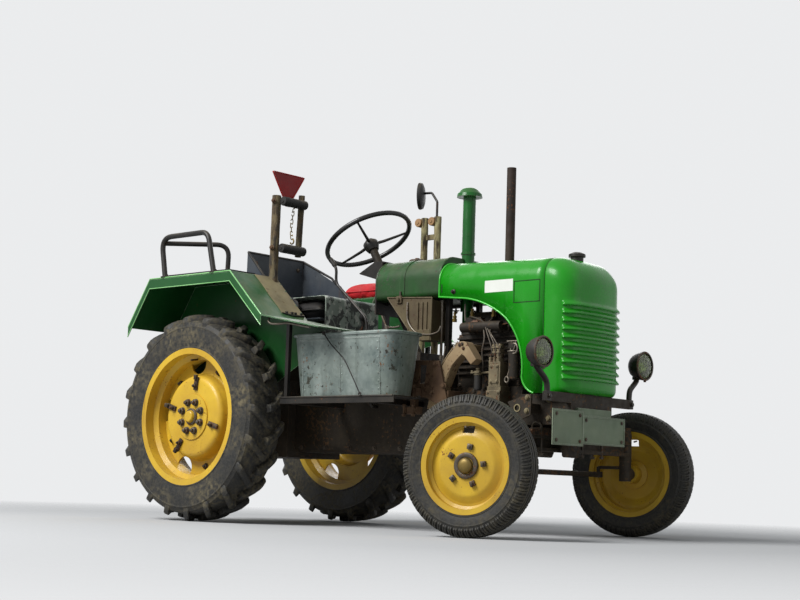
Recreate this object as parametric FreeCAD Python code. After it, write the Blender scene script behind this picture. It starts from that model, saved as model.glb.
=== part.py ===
"""A small farm tractor with an open engine, ribbed nose and lugged rear tyres.

Lengths are in millimetres and angles in degrees. Everything is drawn from the rear
axle: +X forward, +Y to the driver's left, +Z up, with the ground at z = 0. The last
step moves the finished pieces so that the origin lies under the tractor's middle.
"""
import FreeCAD
import Part
import math
import os

V = FreeCAD.Vector

# Driving dimensions of the whole machine
WHEELBASE = 1730.0            # rear axle to the king pins
ORIGIN_AHEAD = 742.0          # the part's origin, ahead of the rear axle
SEAT_GAP = 0.3                # gap left where a moving piece sits on another
SHEET = 4.0                   # thickness of body sheet

# Rear wheels
REAR_RADIUS = 495.0           # to the lugs' tips
REAR_CARCASS_RADIUS = 468.0
REAR_TYRE_WIDTH = 208.0
REAR_TRACK_HALF = 524.0       # centre plane of a rear wheel
REAR_RIM_RADIUS = 330.0       # outside of the rim's flange
REAR_BEAD_RADIUS = 305.0
REAR_RIM_WIDTH = 200.0
REAR_WELL_RADIUS = 276.0
REAR_DRUM_RADIUS = 195.0      # raised face of the wheel's dished centre
REAR_DRUM_INSET = 45.0        # drum face inboard of the rim's outer edge
REAR_FLANGE_INSET = 118.0     # lobed flange inboard of the rim's outer edge
REAR_HUB_RING_RADIUS = 110.0
LUG_COUNT = 20                # on each half of the tread
LUG_WIDTH = 40.0              # along the tread
LUG_SLOPE = 0.85              # how far a lug trails for each mm outward

# Front wheels
FRONT_RADIUS = 285.0
FRONT_TYRE_WIDTH = 114.0
FRONT_RIM_RADIUS = 195.0
FRONT_BEAD_RADIUS = 178.0
FRONT_RIM_WIDTH = 100.0
FRONT_WELL_RADIUS = 160.0
FRONT_DISC_RADIUS = 150.0
FRONT_DISC_INSET = 18.0       # disc face inboard of the rim's outer edge
FRONT_HUB_RADIUS = 52.0
KINGPIN_HALF = 526.0          # king pins from the centre line
SPINDLE_REACH = 95.0          # king pin to the wheel's centre plane
REST_STEER = 13.0             # the wheels stand turned this far to the left
SPINDLE_DIAMETER = 40.0
KINGPIN_DIAMETER = 34.0
STEER_ARM = 130.0

# Hood and nose
HOOD_HALF = 210.0
HOOD_CORNER = 92.0
HOOD_REAR_X = 1214.0
HOOD_SEAM_X = 1798.0
HOOD_TOP_REAR = 1221.0
HOOD_TOP_SEAM = 1202.0
HOOD_SIDE_REAR_Z = 1044.0
NOSE_FRONT_X = 1928.0
NOSE_BOTTOM = 604.0
NOSE_CORNER = 100.0
NOSE_BULGE = 8.0
NOSE_BROW_RADIUS = 90.0       # top edge, seen from the side
NOSE_FOOT_RADIUS = 30.0       # bottom edge, seen from the side
RIB_START_X = 1822.0          # where the ribs begin on each side
RIB_COUNT = 10
RIB_TOP_Z = 983.0
RIB_PITCH = 34.6
RIB_HEIGHT = 22.0
RIB_PROUD = 13.0

# Drive line
REAR_AXLE_Z = REAR_RADIUS
TRUMPET_RADIUS = 70.0
TRUMPET_END = 440.0
GEARBOX_TOP = 650.0
GEARBOX_BOTTOM = 345.0
GEARBOX_HALF = 135.0
BELL_HALF = 190.0
BELL_REAR_X = 1010.0
ENGINE_REAR_X = 1240.0
ENGINE_FRONT_X = 1640.0
ENGINE_HALF = 140.0
CYLINDER_HALF = 115.0          # half width of the barrels above the crankcase
HEAD_HALF = 120.0
ENGINE_BOTTOM = 345.0
ENGINE_BLOCK_TOP = 880.0
HEAD_TOP = 985.0
BEAM_BOTTOM = 363.0
BEAM_TOP = 430.0
PIVOT_DIAMETER = 30.0         # pin that carries the axle beam
INTAKE_X = 1204.0
INTAKE_DIAMETER = 59.0
EXHAUST_X = 1446.0
EXHAUST_DIAMETER = 42.0
FILLER_X = 1815.0
FILLER_DIAMETER = 56.0
DRAG_STUD_TOP = BEAM_TOP + 60.0
BRACKET_FRONT_X = 1905.0
BRACKET_TOP = NOSE_BOTTOM

# Fenders and footboards
FENDER_OUTER = 682.0
FENDER_INNER = 385.0
FENDER_LIP = 50.0
FENDER_DROP = 5.0             # upright thickness of the folded top sheet
FENDER_TOP = 1167.0
# Top sheet of a fender from rear to front: (x, z)
FENDER_LINE = [(-400.0, 935.0), (-248.0, 1165.0), (350.0, FENDER_TOP), (654.0, 928.0),
               (752.0, 909.0), (928.0, 879.0)]
FOOTBOARD_TOP = 585.0
FOOTBOARD_REAR_X = 540.0
FOOTBOARD_FRONT_X = 1245.0
FOOTBOARD_INNER = 300.0
FOOTBOARD_OUTER = 525.0

# Tank and dash
TANK_REAR_X = 814.0
TANK_FRONT_X = 1207.0
TANK_HALF = 196.0
TANK_BOTTOM = 1048.0
TANK_TOP = 1238.0

# Steering
WHEEL_RIM_DIAMETER = 450.0
WHEEL_GRIP = 24.0
COLUMN_TILT = 31.0            # leaning back from upright
WHEEL_HUB = (589.0, 0.0, 1361.0)
WHEEL_DISH = 34.0             # rim above the hub, along the column
PITMAN_X = 925.0
PITMAN_Z = 700.0
PITMAN_Y = 262.0
PITMAN_LENGTH = 180.0
DRAG_LIFT = 2.7                # the link's front ball stands this far above its stud

# Seat
SEAT_HALF = 200.0
SEAT_PAN_Z = 985.0
SEAT_FRONT_X = 455.0
SEAT_BACK_X = -80.0
SEAT_BACK_TOP = 1370.0


def block(x0, x1, y0, y1, z0, z1):
    """A box between two corners."""
    low = V(min(x0, x1), min(y0, y1), min(z0, z1))
    return Part.makeBox(abs(x1 - x0), abs(y1 - y0), abs(z1 - z0), low)


def bar(start, end, diameter):
    """A round bar from one point to another."""
    a, b = V(*start), V(*end)
    return Part.makeCylinder(diameter / 2.0, (b - a).Length, a, b - a)


def tube(start, end, outer, inner):
    """A round tube from one point to another."""
    return bar(start, end, outer).cut(bar(start, end, inner))


def fuse(*solids):
    """One solid from pieces that touch or overlap."""
    return solids[0].multiFuse(list(solids[1:])).removeSplitter()


def mirror(shape):
    """The same piece on the other side of the tractor."""
    return shape.mirror(V(0, 0, 0), V(0, 1, 0))


def corner_wire(points, place):
    """A closed outline; a point is (u, v) or (u, v, corner radius)."""
    count = len(points)
    ends = []
    for i, point in enumerate(points):
        here = V(point[0], point[1], 0)
        radius = point[2] if len(point) > 2 else 0.0
        if radius <= 0:
            ends.append((here, None, here))
            continue
        before = V(points[i - 1][0], points[i - 1][1], 0)
        after = V(points[(i + 1) % count][0], points[(i + 1) % count][1], 0)
        back = (before - here).normalize()
        on = (after - here).normalize()
        half = back.getAngle(on) / 2.0
        reach = radius / math.tan(half)
        middle = here + (back + on).normalize() * (radius / math.sin(half) - radius)
        ends.append((here + back * reach, middle, here + on * reach))
    edges = []
    for i, (start, middle, stop) in enumerate(ends):
        if middle is not None:
            arc = Part.Arc(place(start), place(middle), place(stop))
            edges.append(arc.toShape())
        following = ends[(i + 1) % count][0]
        if (following - stop).Length > 1e-6:
            edges.append(Part.LineSegment(place(stop), place(following)).toShape())
    return Part.Wire(edges)


def side_prism(points, y0, y1):
    """An outline in (x, z), extruded across the tractor."""
    face = Part.Face(corner_wire(points, lambda p: V(p.x, y0, p.y)))
    return face.extrude(V(0, y1 - y0, 0))


def plan_prism(points, z0, z1):
    """An outline in (x, y), extruded upward."""
    face = Part.Face(corner_wire(points, lambda p: V(p.x, p.y, z0)))
    return face.extrude(V(0, 0, z1 - z0))


def front_prism(points, x0, x1):
    """An outline in (y, z), extruded along the tractor."""
    face = Part.Face(corner_wire(points, lambda p: V(x0, p.x, p.y)))
    return face.extrude(V(x1 - x0, 0, 0))


def turned(points, centre=(0, 0, 0), axis="y"):
    """A closed outline in (radius, along), turned about an axis."""
    places = {
        "x": (lambda p: V(p.y, 0, p.x), V(1, 0, 0)),
        "y": (lambda p: V(0, p.y, p.x), V(0, 1, 0)),
        "z": (lambda p: V(p.x, 0, p.y), V(0, 0, 1)),
    }
    place, direction = places[axis]
    face = Part.Face(corner_wire(points, place))
    solid = face.revolve(V(0, 0, 0), direction, 360)
    solid.translate(V(*centre))
    return solid


def bent_bar(points, diameter, bend):
    """A round bar along straight runs joined by arcs."""
    route = [V(*p) for p in points]
    edges = []
    at = route[0]
    for i in range(1, len(route) - 1):
        back = (route[i - 1] - route[i]).normalize()
        on = (route[i + 1] - route[i]).normalize()
        half = back.getAngle(on) / 2.0
        room = 0.45 * min((route[i - 1] - route[i]).Length, (route[i + 1] - route[i]).Length)
        radius = min(bend, room * math.tan(half))
        reach = radius / math.tan(half)
        start, stop = route[i] + back * reach, route[i] + on * reach
        middle = route[i] + (back + on).normalize() * (radius / math.sin(half) - radius)
        edges.append(Part.LineSegment(at, start).toShape())
        edges.append(Part.Arc(start, middle, stop).toShape())
        at = stop
    edges.append(Part.LineSegment(at, route[-1]).toShape())
    circle = Part.Circle(route[0], route[1] - route[0], diameter / 2.0).toShape()
    return Part.Wire(edges).makePipeShell([Part.Wire([circle])], True, True)


def steered(shape, side):
    """Turns a piece drawn about its king pin to the resting angle and sets it there."""
    placed = shape.copy()
    placed.rotate(V(0, 0, 0), V(0, 0, 1), REST_STEER)
    placed.translate(V(WHEELBASE, side * KINGPIN_HALF, 0))
    return placed


# Rear wheels, drawn about the axle with the outside towards -y

def rear_tyre():
    half = REAR_TYRE_WIDTH / 2.0
    bead = REAR_BEAD_RADIUS + SEAT_GAP
    rim_half = REAR_RIM_WIDTH / 2.0 - 10.0
    carcass = turned([
        (bead, -rim_half), (bead + 120, -half), (REAR_CARCASS_RADIUS - 24, -half + 6),
        (REAR_CARCASS_RADIUS, -half + 40), (REAR_CARCASS_RADIUS, half - 40),
        (REAR_CARCASS_RADIUS - 24, half - 6), (bead + 120, half), (bead, rim_half)])
    # one lug: (across the tread from the centre, distance from the axle)
    section = [(-6.0, 452.0), (-6.0, 493.0), (62.0, 492.0), (94.0, 478.0),
               (102.0, 446.0), (90.0, 440.0)]
    length = LUG_WIDTH / 2.0
    middle = 48.0
    lugs = []
    for half_turn, side in ((0.0, -1.0), (0.5, 1.0)):
        corners = [V(-LUG_SLOPE * (across - middle) - length, side * across, up)
                   for across, up in section]
        face = Part.Face(Part.makePolygon(corners + [corners[0]]))
        lug = face.extrude(V(LUG_WIDTH, 0, 0))
        for i in range(LUG_COUNT):
            turned_lug = lug.copy()
            angle = 360.0 * (i + half_turn) / LUG_COUNT
            turned_lug.rotate(V(0, 0, 0), V(0, 1, 0), angle)
            lugs.append(turned_lug)
    return carcass.multiFuse(lugs)


def rear_wheel_centre():
    """Rim, lobed and dished disc, and the hub that turns with it."""
    half = REAR_RIM_WIDTH / 2.0
    wall = 6.0
    well = REAR_WELL_RADIUS
    rim = turned([
        (REAR_RIM_RADIUS, -half), (REAR_RIM_RADIUS, -half + wall), (REAR_BEAD_RADIUS, -half + 8),
        (REAR_BEAD_RADIUS, -half + 52), (well + wall, -half + 66),
        (well + wall, half - 66), (REAR_BEAD_RADIUS, half - 52), (REAR_BEAD_RADIUS, half - 8),
        (REAR_RIM_RADIUS, half - wall), (REAR_RIM_RADIUS, half),
        (REAR_BEAD_RADIUS - wall, half - 2), (REAR_BEAD_RADIUS - wall, half - 50),
        (well, half - 64), (well, -half + 64),
        (REAR_BEAD_RADIUS - wall, -half + 50), (REAR_BEAD_RADIUS - wall, -half + 2)])
    face = -half + REAR_DRUM_INSET
    flange = -half + REAR_FLANGE_INSET
    drum = REAR_DRUM_RADIUS
    disc = turned([
        (0, face), (drum, face, 28), (drum + 12, flange - 8, 10), (well + 1, flange - 8),
        (well + 1, flange), (drum + 4, flange), (drum - 8, face + 8, 20), (0, face + 8)])
    lobes = 5
    for i in range(lobes):
        angle = math.radians(100.0 + 360.0 / lobes * i)
        x, z = 268.0 * math.cos(angle), 268.0 * math.sin(angle)
        disc = disc.cut(bar((x, flange - 30, z), (x, flange + 30, z), 106.0))
    ring = turned([(0, face - 6), (REAR_HUB_RING_RADIUS, face - 6),
                   (REAR_HUB_RING_RADIUS, face + 8), (0, face + 8)])
    cap = turned([(0, face - 30), (26, face - 30, 8), (34, face), (0, face)])
    hub_end = REAR_TRACK_HALF - TRUMPET_END - SEAT_GAP
    hub = turned([(0, face + 4), (98, face + 4), (98, face + 40), (58, face + 60),
                  (58, hub_end), (0, hub_end)])
    return fuse(rim, disc, ring, cap, hub)


# Front wheels, drawn about the spindle with the outside towards -y

def front_tyre():
    half = FRONT_TYRE_WIDTH / 2.0
    bead = FRONT_BEAD_RADIUS + SEAT_GAP
    rim_half = FRONT_RIM_WIDTH / 2.0 - 12.0
    return turned([
        (bead, -rim_half), (bead + 50, -half), (FRONT_RADIUS - 16, -half + 8),
        (FRONT_RADIUS, -half + 24), (FRONT_RADIUS, half - 24),
        (FRONT_RADIUS - 16, half - 8), (bead + 50, half), (bead, rim_half)])


def front_wheel_centre():
    """Rim, domed disc, hub with its bore for the spindle, and hub cap."""
    half = FRONT_RIM_WIDTH / 2.0
    wall = 5.0
    well = FRONT_WELL_RADIUS
    rim = turned([
        (FRONT_RIM_RADIUS, -half), (FRONT_RIM_RADIUS, -half + wall),
        (FRONT_BEAD_RADIUS, -half + 7), (FRONT_BEAD_RADIUS, -half + 26),
        (well + wall, -half + 34), (well + wall, half - 34),
        (FRONT_BEAD_RADIUS, half - 26), (FRONT_BEAD_RADIUS, half - 7),
        (FRONT_RIM_RADIUS, half - wall), (FRONT_RIM_RADIUS, half),
        (FRONT_BEAD_RADIUS - wall, half - 2), (FRONT_BEAD_RADIUS - wall, half - 24),
        (well, half - 32), (well, -half + 32),
        (FRONT_BEAD_RADIUS - wall, -half + 24), (FRONT_BEAD_RADIUS - wall, -half + 2)])
    face = -half + FRONT_DISC_INSET
    seat = -half + 42.0
    disc = turned([
        (FRONT_HUB_RADIUS, face), (FRONT_DISC_RADIUS - 30, face + 2, 30),
        (FRONT_DISC_RADIUS, seat - 8, 8), (well + 1, seat - 6), (well + 1, seat),
        (FRONT_DISC_RADIUS - 8, seat, 6), (FRONT_DISC_RADIUS - 36, face + 9, 20),
        (FRONT_HUB_RADIUS, face + 8)])
    notch = block(-26, 26, -half, seat + 4, FRONT_DISC_RADIUS - 20, FRONT_DISC_RADIUS + 9)
    bore = SPINDLE_DIAMETER / 2.0 + SEAT_GAP
    hub = turned([
        (0, face - 14), (24, face - 14, 8), (30, face - 4), (FRONT_HUB_RADIUS + 14, face + 4),
        (FRONT_HUB_RADIUS + 14, face + 16), (44, face + 24), (40, half - 6), (bore, half - 6),
        (bore, face + 6), (0, face + 6)])
    return fuse(rim, disc.cut(notch), hub)


def knuckle(side):
    """Stub axle with its spindle, upright king pin and steering arms, wheels straight."""
    z = FRONT_RADIUS
    out = -1.0
    face = SPINDLE_REACH + FRONT_RIM_WIDTH / 2.0 - FRONT_DISC_INSET - 6.0 - SEAT_GAP
    spindle = bar((0, 0, z), (0, out * face, z), SPINDLE_DIAMETER)
    collar = bar((0, 0, z), (0, out * (SPINDLE_REACH - FRONT_RIM_WIDTH / 2.0 + 4), z), 58.0)
    post = bar((0, 0, z - 34), (0, 0, BEAM_BOTTOM - 24 - SEAT_GAP), 54.0)
    pin = bar((0, 0, z), (0, 0, BEAM_TOP + 60), KINGPIN_DIAMETER)
    head = bar((0, 0, BEAM_TOP + 36 + SEAT_GAP), (0, 0, BEAM_TOP + 62), 50.0)
    arm = plan_prism([(6, -16), (-STEER_ARM, -15, 14), (-STEER_ARM, 15, 14), (6, 16)],
                     z + 20, z + 34)
    eye = bar((-STEER_ARM, 0, z - 14), (-STEER_ARM, 0, z + 30), 16.0)
    solids = [spindle, collar, post, pin, head, arm, eye]
    if side > 0:
        drag = plan_prism([(-15, -6), (15, -6), (14, STEER_ARM + 14, 13),
                           (-14, STEER_ARM + 14, 13)], BEAM_TOP + 40, BEAM_TOP + 54)
        pivot = bar((0, STEER_ARM, BEAM_TOP + 40), (0, STEER_ARM, DRAG_STUD_TOP), 16.0)
        solids += [drag, pivot]
    made = fuse(*solids)
    return steered(mirror(made) if side > 0 else made, side)


def wheel_at_knuckle(shape, side):
    """Sets a front wheel piece, drawn about its own centre, on its spindle."""
    out = shape.copy()
    out.translate(V(0, -SPINDLE_REACH, FRONT_RADIUS))
    return steered(mirror(out) if side > 0 else out, side)


def arm_tip(side, forward, inward):
    """A point drawn from a king pin, turned with the resting wheels."""
    angle = math.radians(REST_STEER)
    x, y = forward, -side * inward
    return (WHEELBASE + x * math.cos(angle) - y * math.sin(angle),
            side * KINGPIN_HALF + x * math.sin(angle) + y * math.cos(angle))


def tie_rod():
    z = FRONT_RADIUS - 6
    right, left = arm_tip(-1, -STEER_ARM, 0), arm_tip(1, -STEER_ARM, 0)
    bore = 16.0 + 2 * SEAT_GAP
    rod = bar((right[0], right[1], z), (left[0], left[1], z), 24.0)
    for x, y in (right, left):
        rod = rod.fuse(bar((x, y, z - 13), (x, y, z + 13), 40.0))
    for x, y in (right, left):
        rod = rod.cut(bar((x, y, z - 30), (x, y, z + 30), bore))
    return rod


def pitman_rest():
    """Forward angle of the pitman arm that matches the resting wheels."""
    reach = STEER_ARM * math.sin(math.radians(REST_STEER))
    return math.degrees(math.asin(reach / PITMAN_LENGTH))


def pitman_tip():
    """Centre of the pitman arm's lower pin, as (x, z)."""
    angle = math.radians(pitman_rest())
    return (PITMAN_X + PITMAN_LENGTH * math.sin(angle), PITMAN_Z - PITMAN_LENGTH * math.cos(angle))


def pitman_arm():
    y0 = PITMAN_Y
    low = -PITMAN_LENGTH
    plate = side_prism([(-28, 26, 24), (28, 26, 24), (16, low - 18, 14), (-16, low - 18, 14)],
                       y0, y0 + 16)
    bore = bar((0, y0 - 1, 0), (0, y0 + 17, 0), 30.0 + 2 * SEAT_GAP)
    pin = bar((0, y0 + 8, low), (0, y0 + 46, low), 16.0)
    arm = plate.cut(bore).fuse(pin)
    arm.rotate(V(0, 0, 0), V(0, 1, 0), -pitman_rest())
    arm.translate(V(PITMAN_X, 0, PITMAN_Z))
    return arm


def drag_link():
    """Rod from the pitman's pin to the ball above the left steering arm."""
    x, low = pitman_tip()
    y = PITMAN_Y + 34.0
    tip = arm_tip(1, 0, STEER_ARM)
    base = DRAG_STUD_TOP + DRAG_LIFT
    rod = bar((x, y, low), (tip[0], tip[1], base + 13), 24.0)
    rear = bar((x, y - 12, low), (x, y + 12, low), 40.0)
    front = bar((tip[0], tip[1], base), (tip[0], tip[1], base + 26), 40.0)
    bore = bar((x, y - 30, low), (x, y + 30, low), 16.0 + 2 * SEAT_GAP)
    return fuse(rod, rear, front).cut(bore)


def column_point(down):
    """A point on the steering column, so far below the wheel's hub."""
    tilt = math.radians(COLUMN_TILT)
    return (WHEEL_HUB[0] + down * math.sin(tilt), 0.0, WHEEL_HUB[2] - down * math.cos(tilt))


def steering_wheel():
    rim_radius = WHEEL_RIM_DIAMETER / 2.0 - WHEEL_GRIP / 2.0
    rim = Part.makeTorus(rim_radius, WHEEL_GRIP / 2.0, V(0, 0, WHEEL_DISH), V(0, 0, 1))
    solids = [rim]
    hub = turned([(0, -18), (30, -18, 6), (34, 6), (24, 22, 8), (0, 22)], axis="z")
    for i in range(3):
        angle = math.radians(120.0 * i + 90.0)
        end = (rim_radius * math.cos(angle), rim_radius * math.sin(angle), WHEEL_DISH)
        solids.append(bar((0, 0, 4), end, 12.0))
    wheel = fuse(hub, *solids)
    wheel.rotate(V(0, 0, 0), V(0, 1, 0), -COLUMN_TILT)
    wheel.translate(V(*WHEEL_HUB))
    return wheel


# Drive line

def engine():
    """Closed engine mass: sump, block and head."""
    x0, x1 = ENGINE_REAR_X, ENGINE_FRONT_X
    sump = front_prism([(-110, ENGINE_BOTTOM, 30), (110, ENGINE_BOTTOM, 30),
                        (130, 460), (-130, 460)], x0 + 10, x1 - 10)
    case = block(x0, x1, -ENGINE_HALF, ENGINE_HALF, 460, 640)
    upper = block(x0 + 20, x1 - 20, -CYLINDER_HALF, CYLINDER_HALF, 640, ENGINE_BLOCK_TOP)
    solids = [sump, case, upper]
    heads = 2
    pitch = (x1 - x0 - 60) / heads
    for i in range(heads):
        start = x0 + 30 + pitch * i
        solids.append(block(start + 5, start + pitch - 5, -HEAD_HALF, HEAD_HALF,
                            ENGINE_BLOCK_TOP, HEAD_TOP - 60))
        cover = front_prism([(-90, HEAD_TOP - 60), (90, HEAD_TOP - 60),
                             (80, HEAD_TOP, 30), (-80, HEAD_TOP, 30)],
                            start + 18, start + pitch - 18)
        solids.append(cover)
    return fuse(*solids)


def engine_fittings():
    """Injection pump, filter and pipes on the engine's right side."""
    side = -ENGINE_HALF
    filter_bowl = turned([(0, 575), (26, 575, 10), (30, 600), (30, 752), (20, 769, 8), (0, 769)],
                         centre=(1600, side - 42, 0), axis="z")
    bracket = block(1575, 1625, side - 40, -CYLINDER_HALF, 690, 720)
    filter_group = filter_bowl.fuse(bracket)
    pump = fuse(block(1486, 1566, side - 70, side, 550, 620),
                bar((1506, side - 40, 615), (1506, side - 40, 680), 30),
                bar((1546, side - 40, 615), (1546, side - 40, 680), 30))
    manifold = bent_bar([(1330, -HEAD_HALF, 902), (1330, side - 40, 902), (1440, side - 40, 915),
                         (1550, side - 40, 902), (1550, -HEAD_HALF, 902)], 44.0, 40.0)
    generator = bar((1280, CYLINDER_HALF + 58, 710), (1460, CYLINDER_HALF + 58, 710), 110.0)
    saddle = block(1310, 1430, CYLINDER_HALF, CYLINDER_HALF + 58, 690, 730)
    generator = generator.fuse(saddle)
    return [filter_group, pump, manifold, generator]


def bell_half(x):
    """Half width of gearbox and bell housing at one station."""
    share = min(max((x - BELL_REAR_X) / (ENGINE_REAR_X - BELL_REAR_X), 0.0), 1.0)
    return GEARBOX_HALF + (BELL_HALF - GEARBOX_HALF) * share


def gearbox():
    """Bell housing and gearbox in one casting line."""
    bell = Part.makeLoft([
        corner_wire([(-BELL_HALF, 335, 60), (BELL_HALF, 335, 60), (BELL_HALF, 800, 150),
                     (-BELL_HALF, 800, 150)],
                    lambda p: V(ENGINE_REAR_X, p.x, p.y)),
        corner_wire([(-GEARBOX_HALF, GEARBOX_BOTTOM, 40), (GEARBOX_HALF, GEARBOX_BOTTOM, 40),
                     (GEARBOX_HALF, GEARBOX_TOP, 40), (-GEARBOX_HALF, GEARBOX_TOP, 40)],
                    lambda p: V(BELL_REAR_X, p.x, p.y))], True, True)
    case = front_prism([(-GEARBOX_HALF, GEARBOX_BOTTOM, 40), (GEARBOX_HALF, GEARBOX_BOTTOM, 40),
                        (GEARBOX_HALF, GEARBOX_TOP, 40), (-GEARBOX_HALF, GEARBOX_TOP, 40)],
                       250, BELL_REAR_X)
    lid = block(420, 640, -95, 95, GEARBOX_TOP - 5, GEARBOX_TOP + 30)
    return fuse(bell, case, lid)


def rear_axle_housing():
    """Centre casting, axle trumpets, lift housing and power take-off stub."""
    centre = block(-200, 250, -185, 185, 320, 690)
    lift = side_prism([(-170, 690), (-130, 790, 30), (170, 790, 30), (210, 690)], -150, 150)
    solids = [centre, lift]
    for side in (-1, 1):
        solids.append(turned([(0, 185), (115, 185), (TRUMPET_RADIUS + 12, 260),
                              (TRUMPET_RADIUS, 300), (TRUMPET_RADIUS, TRUMPET_END),
                              (0, TRUMPET_END)]) if side > 0 else
                      turned([(0, -185), (115, -185), (TRUMPET_RADIUS + 12, -260),
                              (TRUMPET_RADIUS, -300), (TRUMPET_RADIUS, -TRUMPET_END),
                              (0, -TRUMPET_END)]))
        solids[-1].translate(V(0, 0, REAR_AXLE_Z))
    boss = bar((-200, 0, 560), (-225, 0, 560), 120.0)
    stub = bar((-225, 0, 560), (-310, 0, 560), 35.0)
    return fuse(*solids, boss, stub)


def drawbar_hitch():
    """Drilled crossbar under the axle and a jaw with an upright bore."""
    plate = block(-390, -370, -260, 260, 345, 405)
    for i in range(5):
        y = -200.0 + 100.0 * i
        plate = plate.cut(bar((-400, y, 375), (-360, y, 375), 26.0))
    arms = [block(-372, -200, side * 170 - 12, side * 170 + 12, 345, 405) for side in (-1, 1)]
    upper = block(-560, -390, -40, 40, 400, 418)
    lower = block(-560, -390, -40, 40, 330, 348)
    web = block(-450, -390, -40, 40, 330, 418)
    jaw = fuse(upper, lower, web).cut(bar((-520, 0, 300), (-520, 0, 440), 32.0))
    return fuse(plate, *arms, jaw)


def front_bracket():
    """Casting ahead of the engine that carries nose, lamps and the axle pivot."""
    main = side_prism([(ENGINE_FRONT_X, 475), (ENGINE_FRONT_X, BRACKET_TOP),
                       (BRACKET_FRONT_X, BRACKET_TOP), (BRACKET_FRONT_X, 500, 20), (1860, 475, 20)],
                      -150, 150)
    solids = [main]
    for x in (WHEELBASE - 84, WHEELBASE + 56):
        solids.append(side_prism([(x, 340, 12), (x + 28, 340, 12), (x + 28, 480), (x, 480)],
                                 -45, 45))
    cheek_points = [(1626, 567), (1752, 600), (1749, 511), (1692, 490)]
    for side in (-1, 1):
        cheek = side_prism(cheek_points, side * 214, side * 224)
        cheek = cheek.cut(bar((1680, side * 200, 541), (1680, side * 240, 541), 24.0))
        foot = block(1700, 1745, side * 140, side * 216, 520, 560)
        solids += [cheek, foot]
    cross = block(BRACKET_FRONT_X - 25, BRACKET_FRONT_X, -290, 290, BRACKET_TOP - 40, BRACKET_TOP)
    middle = (BEAM_BOTTOM + BEAM_TOP) / 2.0
    pin = bar((WHEELBASE - 84, 0, middle), (WHEELBASE + 84, 0, middle), PIVOT_DIAMETER)
    return fuse(*solids, cross, pin)


def front_axle():
    """Beam with a pivot boss and an upright sleeve at each end."""
    x = WHEELBASE
    web = front_prism([(-KINGPIN_HALF, BEAM_BOTTOM), (KINGPIN_HALF, BEAM_BOTTOM),
                       (KINGPIN_HALF, BEAM_TOP), (-KINGPIN_HALF, BEAM_TOP)], x - 8, x + 8)
    top = block(x - 28, x + 28, -KINGPIN_HALF, KINGPIN_HALF, BEAM_TOP - 14, BEAM_TOP)
    bottom = block(x - 28, x + 28, -KINGPIN_HALF, KINGPIN_HALF, BEAM_BOTTOM, BEAM_BOTTOM + 14)
    middle = (BEAM_BOTTOM + BEAM_TOP) / 2.0
    boss = bar((x - 48, 0, middle), (x + 48, 0, middle), BEAM_TOP - BEAM_BOTTOM)
    beam = fuse(web, top, bottom, boss)
    for side in (-1, 1):
        sleeve = bar((x, side * KINGPIN_HALF, BEAM_BOTTOM - 24),
                     (x, side * KINGPIN_HALF, BEAM_TOP + 36), 56.0)
        beam = beam.fuse(sleeve)
    for side in (-1, 1):
        beam = beam.cut(bar((x, side * KINGPIN_HALF, 200), (x, side * KINGPIN_HALF, 600),
                            KINGPIN_DIAMETER + 2 * SEAT_GAP))
    return beam.cut(bar((x - 60, 0, middle), (x + 60, 0, middle), PIVOT_DIAMETER))


def front_spring():
    """Stack of leaves across the beam."""
    x = WHEELBASE
    leaves = []
    for i, length in enumerate((340.0, 280.0, 220.0, 160.0)):
        z = BEAM_TOP + 8.0 * i
        leaves.append(block(x - 27, x + 27, -length, length, z, z + 8.0))
    return fuse(*leaves)


# Bodywork

def hood_section(x, top, half, corner):
    """Upright closed section of the hood at one station."""
    return corner_wire([(-half, NOSE_BOTTOM), (half, NOSE_BOTTOM), (half, top, corner),
                        (-half, top, corner)], lambda p: V(x, p.x, p.y))


def hood_body(inset, low):
    """Solid under the hood's skin, made smaller all round by an inset."""
    half, corner = HOOD_HALF - inset, HOOD_CORNER - inset
    rear = hood_section(HOOD_REAR_X, HOOD_TOP_REAR - inset, half, corner)
    front = hood_section(HOOD_SEAM_X, HOOD_TOP_SEAM - inset, half, corner)
    return Part.makeLoft([rear, front], True, True)


def hood():
    """Bent sheet over the engine with a swept arch open on each side."""
    inner = hood_body(SHEET, 0)
    shell = hood_body(0, 0).cut(inner)
    shell = shell.cut(block(HOOD_REAR_X - 1, HOOD_SEAM_X + 1, -HOOD_HALF + SHEET,
                            HOOD_HALF - SHEET, NOSE_BOTTOM - 1, NOSE_BOTTOM + 100))
    points = [(HOOD_REAR_X, HOOD_SIDE_REAR_Z), (1325, 1033), (1478, 1000), (1592, 935),
              (1672, 815), (1689, 673), (1708, 632), (1753, NOSE_BOTTOM)]
    at = [V(x, 0, z) for x, z in points]
    far = [V(1753, 0, NOSE_BOTTOM - 20), V(HOOD_REAR_X - 20, 0, NOSE_BOTTOM - 20),
           V(HOOD_REAR_X - 20, 0, HOOD_SIDE_REAR_Z)]
    edges = [Part.LineSegment(at[0], at[1]).toShape(),
             Part.Arc(at[1], at[2], at[3]).toShape(),
             Part.Arc(at[3], at[4], at[5]).toShape(),
             Part.Arc(at[5], at[6], at[7]).toShape(),
             Part.LineSegment(at[7], far[0]).toShape(),
             Part.LineSegment(far[0], far[1]).toShape(),
             Part.LineSegment(far[1], far[2]).toShape(),
             Part.LineSegment(far[2], at[0]).toShape()]
    face = Part.Face(Part.Wire(edges))
    face.translate(V(0, -HOOD_HALF - 20, 0))
    arch = face.extrude(V(0, 2 * HOOD_HALF + 40, 0))
    shell = shell.cut(arch)
    for x, diameter in ((INTAKE_X, INTAKE_DIAMETER + 6), (EXHAUST_X, EXHAUST_DIAMETER + 10),
                        (FILLER_X, FILLER_DIAMETER + 10)):
        shell = shell.cut(bar((x, 0, 1100), (x, 0, 1300), diameter))
    return shell


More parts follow.
